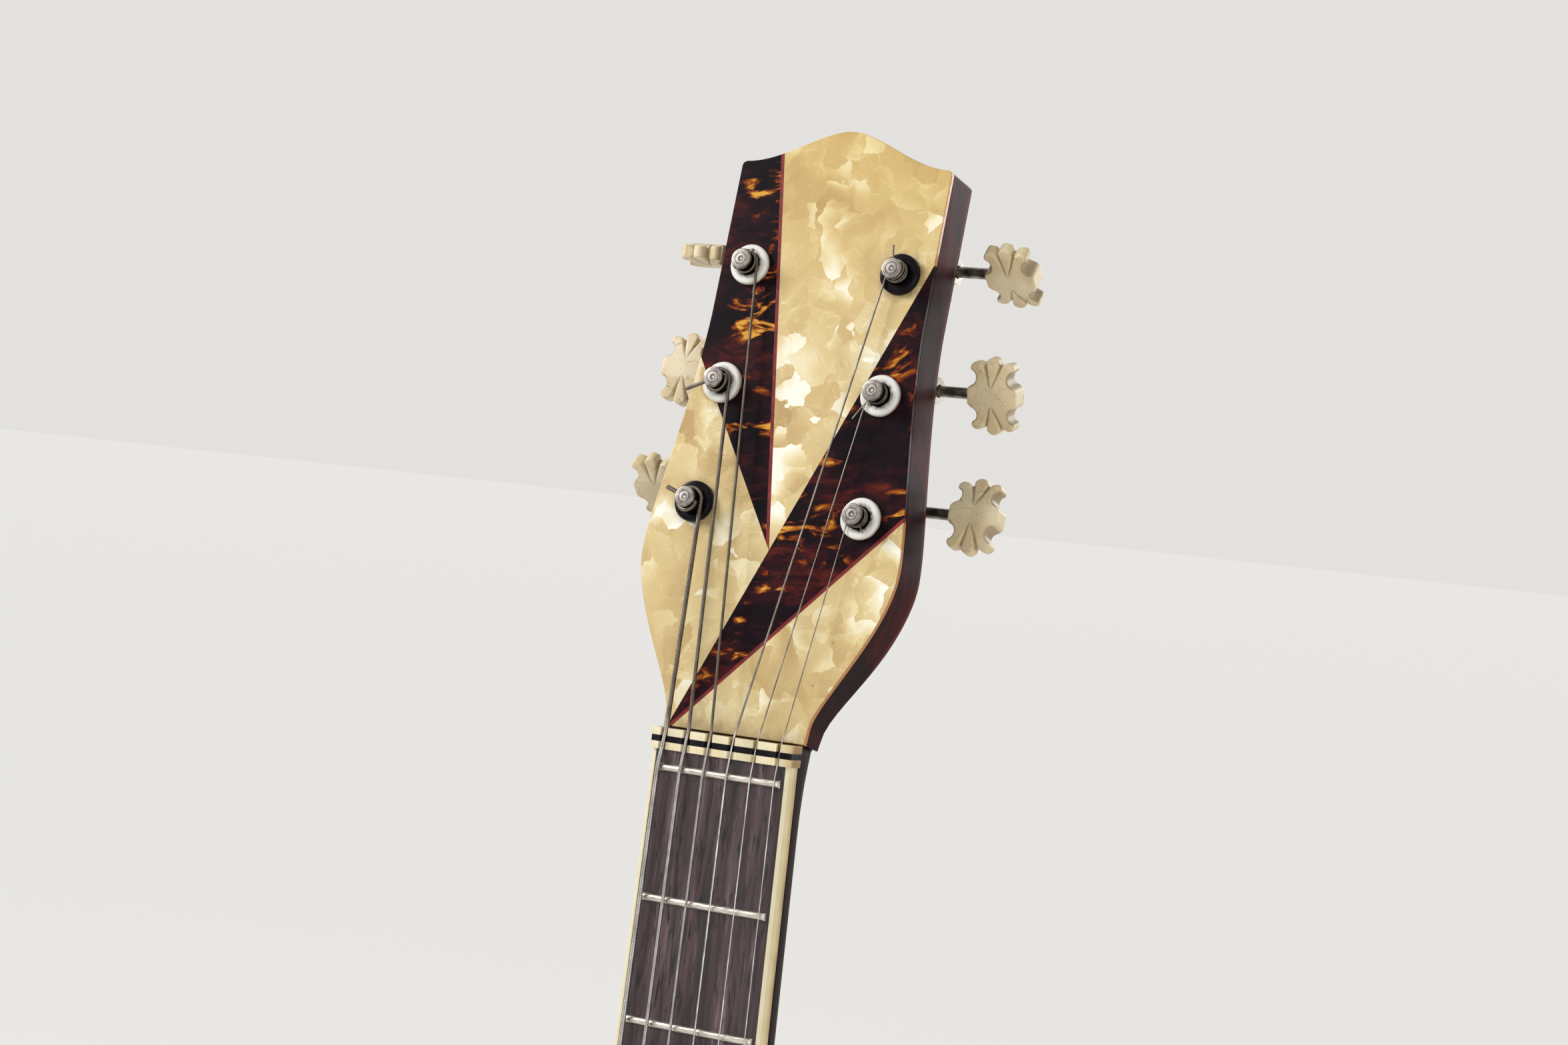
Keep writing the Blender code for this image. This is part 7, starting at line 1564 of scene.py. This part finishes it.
for number, diameter in STRINGS.items():
    thread = wound_steel if number in WRAPPED else plain_steel
    wrap = WRAPPED.get(number, MM)
    contact, meets, turn = first_touch(number)
    swept_angle, climb, hole_rise = winding(number)
    across_face, up_face = PEGS[number]
    radius = POST_WAIST + 0.02 * MM + diameter / 2
    pitch = diameter + WINDING_SPACE

    def on_post(angle):
        """A point of the winding at an angle walked from where the string meets the post."""
        late = max(angle - (swept_angle - math.pi), 0) / math.pi
        height = -contact.y + pitch * angle / (2 * math.pi) + pitch * 0.5 * late
        place = meets + turn * angle
        return HEAD @ Vector((across_face + radius * math.cos(place), -height, up_face + radius * math.sin(place)))

    count = math.ceil(swept_angle / (2 * math.pi) * TURN_POINTS)
    coil = [(on_post(swept_angle * i / count), diameter / 2) for i in range(count + 1)]
    heading = math.radians(TAIL_HEADINGS[number])
    for reach in (-POST_WAIST * 0.55, TAIL_REACHES[number]):
        place = Vector((across_face + reach * math.cos(heading), -hole_rise, up_face + reach * math.sin(heading)))
        coil.append((HEAD @ place, diameter / 2))
    piece(f"string_turns_{number}", swept(coil, wrap), thread, f"post_{number}", smooth=60)

    share = (6 - number) / 5 - 0.5
    at_saddle = NECK @ Vector((SPREAD_AT_BRIDGE * share, camber(SPREAD_AT_BRIDGE * share) - STRING_RISE, -SCALE_LENGTH))
    run = [(at_saddle.lerp(NECK @ over_fret(number), i / 40), diameter / 2) for i in range(41)]
    run += [(NECK @ behind_fret(number, up), diameter / 2) for up in (NUT_LOW, (NUT_LOW + NUT_HIGH) / 2, NUT_HIGH)]
    last = run[-1][0]
    run += [(last.lerp(on_post(0), i / 6), diameter / 2) for i in range(1, 7)]
    run_piece = piece(f"string_run_{number}", swept(run, wrap), thread, None,
                      (f"string_{number}",), smooth=60)
    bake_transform(run_piece)

    hole = Vector((SPREAD_AT_BRIDGE * share, ANCHOR_DEPTH, ANCHOR_UP))
    ball = hole - Vector((0, 0, BAR_HALF + STRING_CLEAR + BALL_RADIUS))
    tail = [(ball + Vector((0, 0, BALL_RADIUS * math.sin(math.radians(a)))),
             max(BALL_RADIUS * math.cos(math.radians(a)), 0.1 * MM)) for a in range(-90, 75, 15)]
    tail += [(ball + Vector((0, 0, BALL_RADIUS)), diameter / 2), (hole, diameter / 2)]
    over_bar = hole + Vector((0, 0, BAR_HALF + MM))
    tail += [(over_bar.lerp(at_saddle, i / 10), diameter / 2) for i in range(11)]
    tail_piece = piece(f"string_tail_{number}", swept(tail, wrap), thread, None, smooth=60)
    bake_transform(tail_piece)

# Bridge foot: rosewood, carved to sit on the arched top, with two threaded studs of steel standing in it. Only
# the strings hold it down.
BRIDGE_UP = (NECK @ Vector((0, 0, -SCALE_LENGTH))).z
BRIDGE_HALF = 75 * MM
BRIDGE_WIDTH = 13 * MM
BRIDGE_DEPTH = 9 * MM
BRIDGE_LEVEL = 0.62
BRIDGE_DROP = 2.3 * MM
FOOT_LIFT = 0.35 * MM
STUD_SIDE = 37 * MM
STUD_RADIUS = 2.0 * MM
STUD_PITCH = 0.7 * MM
WHEEL_FREE = 2.2 * MM
WHEEL_THICKNESS = 2.6 * MM
SADDLE_ON_STUD = 7 * MM

BRIDGE_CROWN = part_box("thumbwheel_bass")[1].y + WHEEL_FREE
WHEEL_BACK = BRIDGE_CROWN - WHEEL_FREE
WHEEL_FRONT = WHEEL_BACK - WHEEL_THICKNESS
SADDLE_BACK = WHEEL_FRONT - 0.3 * MM
STUD_FRONT = SADDLE_BACK - SADDLE_ON_STUD

worn_rosewood, tree, shader = finish("worn_rosewood", Roughness=0.42)
spot = add(tree, "TexCoord")
along = add(tree, "Mapping", {"Scale": (0.08, 1.0, 1.0)}, {"Vector": (spot, "Object")})
grain = add(tree, "TexNoise", {"Scale": 700.0, "Detail": 5.0, "Roughness": 0.65, "Distortion": 0.4},
            {"Vector": (along, 0)})
hues = add(tree, "ValToRGB", links={"Fac": (grain, 0)}, stops=((0.34, "1f1212"), (0.5, "3a2220"), (0.68, "5a372c")))
tree.links.new(hues.outputs[0], shader.inputs["Base Color"])
pores = add(tree, "Bump", {"Strength": 0.3, "Distance": 0.1 * MM}, {"Height": (grain, 0)})
tree.links.new(pores.outputs[0], shader.inputs["Normal"])

foot = slab([(-BRIDGE_HALF, BRIDGE_UP - BRIDGE_WIDTH / 2), (BRIDGE_HALF, BRIDGE_UP - BRIDGE_WIDTH / 2),
             (BRIDGE_HALF, BRIDGE_UP + BRIDGE_WIDTH / 2), (-BRIDGE_HALF, BRIDGE_UP + BRIDGE_WIDTH / 2)],
            BRIDGE_CROWN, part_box("bridge_base")[1].y + 0.5 * MM)
slope = BRIDGE_DROP / (BRIDGE_HALF * (1 - BRIDGE_LEVEL))
for side in (-1, 1):
    cut_off(foot, (side * BRIDGE_HALF * BRIDGE_LEVEL, BRIDGE_CROWN, BRIDGE_UP), (side * slope, -1, 0))
corners = [e for e in foot.edges if abs(e.verts[0].co.y - e.verts[1].co.y) > 5 * MM]
bmesh.ops.bevel(foot, geom=corners, offset=3 * MM, segments=5, profile=0.5, affect="EDGES", material=-1)
crowned = [e for e in foot.edges if max(v.co.y for v in e.verts) < BRIDGE_CROWN + BRIDGE_DROP + 0.1 * MM
           and len(e.link_faces) == 2 and e.calc_face_angle() > math.radians(40)]
bmesh.ops.bevel(foot, geom=crowned, offset=1.8 * MM, segments=5, profile=0.5, affect="EDGES", material=-1)
top_form = carved_plate(-1, edge)
bmesh.ops.translate(top_form, vec=(0, -FOOT_LIFT, 0), verts=top_form.verts)
foot = carved(foot, [top_form])
piece("bridge_foot", foot, worn_rosewood, "root", ("bridge_base",), smooth=35)

threaded_steel, tree, shader = finish("threaded_steel", Metallic=1.0, Roughness=0.35)
spot = add(tree, "TexCoord")
# The thread's turns are painted as light and dark bands: painted shading of ridges the plain stud lacks.
turns = add(tree, "TexWave", {"Scale": math.pi / (10 * STUD_PITCH)}, {"Vector": (spot, "Object")},
            bands_direction="Y")
hues = add(tree, "ValToRGB", links={"Fac": (turns, "Fac")}, stops=((0.2, "5c5751"), (0.8, "b5b1ab")))
tree.links.new(hues.outputs[0], shader.inputs["Base Color"])
for side, name in ((-1, "bass"), (1, "treble")):
    stud = turned([(0, STUD_FRONT), (STUD_RADIUS - 0.4 * MM, STUD_FRONT), (STUD_RADIUS, STUD_FRONT + 0.4 * MM),
                   (STUD_RADIUS, BRIDGE_CROWN + 1 * MM), (0, BRIDGE_CROWN + 1 * MM)], 32)
    stud = placed(stud, Matrix.Translation((side * STUD_SIDE, 0, BRIDGE_UP)))
    piece(f"bridge_stud_{name}", stud, threaded_steel, "root", smooth=35)

# Thumbwheels: nickel-plated brass nuts with a knurled rim. They carry the saddle up and down the studs.
KNURLS = 60
for side, name in ((-1, "bass"), (1, "treble")):
    rim = [(7.5 * MM - (0.3 * MM if i % 2 else 0)) for i in range(2 * KNURLS)]
    outline = [(radius * math.cos(math.pi * i / KNURLS), radius * math.sin(math.pi * i / KNURLS))
               for i, radius in enumerate(rim)]
    nut_wheel = slab(outline, WHEEL_FRONT, WHEEL_BACK)
    rims = [e for e in nut_wheel.edges if abs(e.verts[0].co.y - e.verts[1].co.y) < 0.01 * MM]
    bmesh.ops.bevel(nut_wheel, geom=rims, offset=0.25 * MM, segments=2, profile=0.5, affect="EDGES", material=-1)
    bore = turned([(0, WHEEL_FRONT - MM), (STUD_RADIUS + 0.3 * MM, WHEEL_FRONT - MM),
                   (STUD_RADIUS + 0.3 * MM, WHEEL_BACK + MM), (0, WHEEL_BACK + MM)], 32)
    nut_wheel = placed(carved(nut_wheel, [bore]), Matrix.Translation((side * STUD_SIDE, 0, BRIDGE_UP)))
    piece(f"knurled_wheel_{name}", nut_wheel, plated, f"wheel_{name}", (f"thumbwheel_{name}",),
          smooth=35)

# Bridge saddle: a rosewood bar with a rounded crest that is stepped for each string's length. It rests on the
# two wheels, with a blind hole for each stud.
SADDLE_HALF = 46 * MM
SADDLE_WIDTH = 9 * MM
SADDLE_WALL = 5 * MM
SADDLE_END = 6 * MM
CREST = 1.6 * MM

crowns = [(-SADDLE_HALF, SADDLE_BACK - SADDLE_END), (-SADDLE_HALF + SADDLE_END, SADDLE_BACK - SADDLE_END - 2.5 * MM)]
for number, diameter in STRINGS.items():
    share = (6 - number) / 5 - 0.5
    middle = NECK @ Vector((SPREAD_AT_BRIDGE * share, camber(SPREAD_AT_BRIDGE * share) - STRING_RISE, -SCALE_LENGTH))
    crowns.append((middle.x, middle.y + diameter / 2 + 0.02 * MM))
crowns += [(SADDLE_HALF - SADDLE_END, SADDLE_BACK - SADDLE_END - 2.5 * MM), (SADDLE_HALF, SADDLE_BACK - SADDLE_END)]
rings = []
for x, crown in crowns:
    low, high, wall = BRIDGE_UP - SADDLE_WIDTH / 2, BRIDGE_UP + SADDLE_WIDTH / 2, SADDLE_BACK - SADDLE_WALL
    near, far = BRIDGE_UP - CREST / 2, BRIDGE_UP + CREST / 2
    rings.append([(x, SADDLE_BACK, low), (x, wall, low), (x, crown + 0.3 * MM, near), (x, crown, near + 0.4 * MM),
                  (x, crown, far - 0.4 * MM), (x, crown + 0.3 * MM, far), (x, wall, high), (x, SADDLE_BACK, high)])
bar = lofted(rings)
ends = [e for e in bar.edges if len(e.link_faces) == 2 and e.calc_face_angle() > math.radians(50)]
bmesh.ops.bevel(bar, geom=ends, offset=0.5 * MM, segments=3, profile=0.5, affect="EDGES", material=-1)
sockets = []
for side in (-1, 1):
    socket = turned([(0, STUD_FRONT - 2.4 * MM), (STUD_RADIUS + 0.3 * MM, STUD_FRONT - 2.4 * MM),
                     (STUD_RADIUS + 0.3 * MM, SADDLE_BACK + MM), (0, SADDLE_BACK + MM)], 32)
    sockets.append(placed(socket, Matrix.Translation((side * STUD_SIDE, 0, BRIDGE_UP))))
for number, diameter in STRINGS.items():
    share = (6 - number) / 5 - 0.5
    middle = NECK @ Vector((SPREAD_AT_BRIDGE * share, camber(SPREAD_AT_BRIDGE * share) - STRING_RISE, -SCALE_LENGTH))
    notch = turned([(0, -8 * MM), (diameter / 2 + 0.02 * MM, -8 * MM), (diameter / 2 + 0.02 * MM, 8 * MM),
                    (0, 8 * MM)], 16)
    sockets.append(placed(notch, Matrix.Translation(middle) @ Matrix.Rotation(math.pi / 2, 4, "X")))
piece("stepped_saddle", carved(bar, sockets), worn_rosewood, "saddle", ("bridge_saddle",), smooth=35)

# Tailpiece: nickel-plated steel, folded round the tail of the body and held by the strap pin. Two rails carry a
# drilled bar that takes the balls of the strings.
METAL = 1.5 * MM
HOOK_BACK = 14 * MM
HEEL_FRONT = -42.5 * MM
FOOT_HALF = 15 * MM
HEAD_WIDE = 36 * MM
RAIL = 5.5 * MM
WINDOW_UP = 30 * MM
BAR_WIDE = 42 * MM

foot_up = TAIL - GAP
profile = [(HOOK_BACK, foot_up - METAL), (HOOK_BACK, foot_up), (HEEL_FRONT, foot_up), (ANCHOR_DEPTH, ANCHOR_UP),
           (ANCHOR_DEPTH - METAL, ANCHOR_UP), (HEEL_FRONT - METAL, foot_up - METAL)]
sheet = lofted([[(side * (HEAD_WIDE if z > ANCHOR_UP - MM else FOOT_HALF), y, z) for y, z in profile]
                for side in (-1, 1)])
heel = [e for e in sheet.edges if all(abs(v.co.z - foot_up) < 2 * MM and abs(v.co.y - HEEL_FRONT) < 2 * MM
                                      for v in e.verts) and abs(e.verts[0].co.x - e.verts[1].co.x) > MM]
bmesh.ops.bevel(sheet, geom=heel, offset=1.6 * MM, segments=5, profile=0.5, affect="EDGES", material=-1)
window = slab([(-FOOT_HALF + RAIL, WINDOW_UP), (FOOT_HALF - RAIL, WINDOW_UP),
               (HEAD_WIDE - RAIL, ANCHOR_UP - MM), (-HEAD_WIDE + RAIL, ANCHOR_UP - MM)],
              ANCHOR_DEPTH - 8 * MM, HEEL_FRONT + 30 * MM)
corners = [e for e in window.edges if abs(e.verts[0].co.y - e.verts[1].co.y) > 5 * MM]
bmesh.ops.bevel(window, geom=corners, offset=3.5 * MM, segments=6, profile=0.5, affect="EDGES", material=-1)
pin_hole = turned([(0, 0), (4.3 * MM, 0), (4.3 * MM, 40 * MM), (0, 40 * MM)], 48)
pin_hole = placed(pin_hole, Matrix.Rotation(math.pi / 2, 4, "X"))
sheet = carved(sheet, [window])
bar = block((-BAR_WIDE, ANCHOR_DEPTH - BAR_HALF, ANCHOR_UP - BAR_HALF),
            (BAR_WIDE, ANCHOR_DEPTH + BAR_HALF, ANCHOR_UP + BAR_HALF))
bmesh.ops.bevel(bar, geom=bar.edges[:], offset=1.6 * MM, segments=5, profile=0.5, affect="EDGES", material=-1)
sheet = carved(sheet, [bar], "UNION")
holes = [pin_hole]
for number, diameter in STRINGS.items():
    share = (6 - number) / 5 - 0.5
    hole = turned([(0, -6 * MM), (diameter / 2 + 0.3 * MM, -6 * MM), (diameter / 2 + 0.3 * MM, 6 * MM), (0, 6 * MM)], 24)
    holes.append(placed(hole, Matrix.Translation((SPREAD_AT_BRIDGE * share, ANCHOR_DEPTH, ANCHOR_UP))
                        @ Matrix.Rotation(math.pi / 2, 4, "X")))
piece("trapeze_tailpiece", carved(sheet, holes), plated, "root", ("tailpiece",), smooth=35)

# Pickguard: a sheet of tortoise celluloid with a bevelled edge, held clear of the top against the board's side.
GUARD_REACH = 66 * MM
GUARD_PAST = 34 * MM
GUARD_THICKNESS = 2.5 * MM
guard_inner = board_half(BOARD_END) + 0.5 * MM
guard_low = BRIDGE_UP + 22 * MM
guard_end = ZERO_FRET.z - BOARD_END
guard_back = BODY_FRONT - 15 * MM


def guard_place(wide, base, up):
    """A point of the pickguard's outline, by shares of its width and of its top's height over a level."""
    return guard_inner + wide * GUARD_REACH, base + up * GUARD_PAST


outline = [guard_place(0, guard_end, 0.06), guard_place(0.045, guard_end, -0.24)]
outline += bezier(guard_place(0.045, guard_low, 0.95), guard_place(0.075, guard_low, 0.1),
                  guard_place(0.3, guard_low, -0.17), guard_place(0.606, guard_low, 0.18), 14)
outline += bezier(guard_place(0.606, guard_low, 0.18), guard_place(1.06, guard_low, 0.7),
                  guard_place(1.27, guard_low, 3.24), guard_place(1, guard_end, -0.41), 20)
outline += [guard_place(1, guard_end, -0.41), guard_place(0.606, guard_end, 0.24),
            guard_place(0.182, guard_end, 0.88), guard_place(0, guard_end, 1)]
guard = slab(outline, guard_back - GUARD_THICKNESS, guard_back)
front = [e for e in guard.edges if max(v.co.y for v in e.verts) < guard_back - GUARD_THICKNESS + 0.01 * MM]
bmesh.ops.bevel(guard, geom=front, offset=1.4 * MM, segments=1, profile=0.5, affect="EDGES", material=-1)
piece("floating_pickguard", guard, tortoise, "root", ("pickguard",), smooth=30)
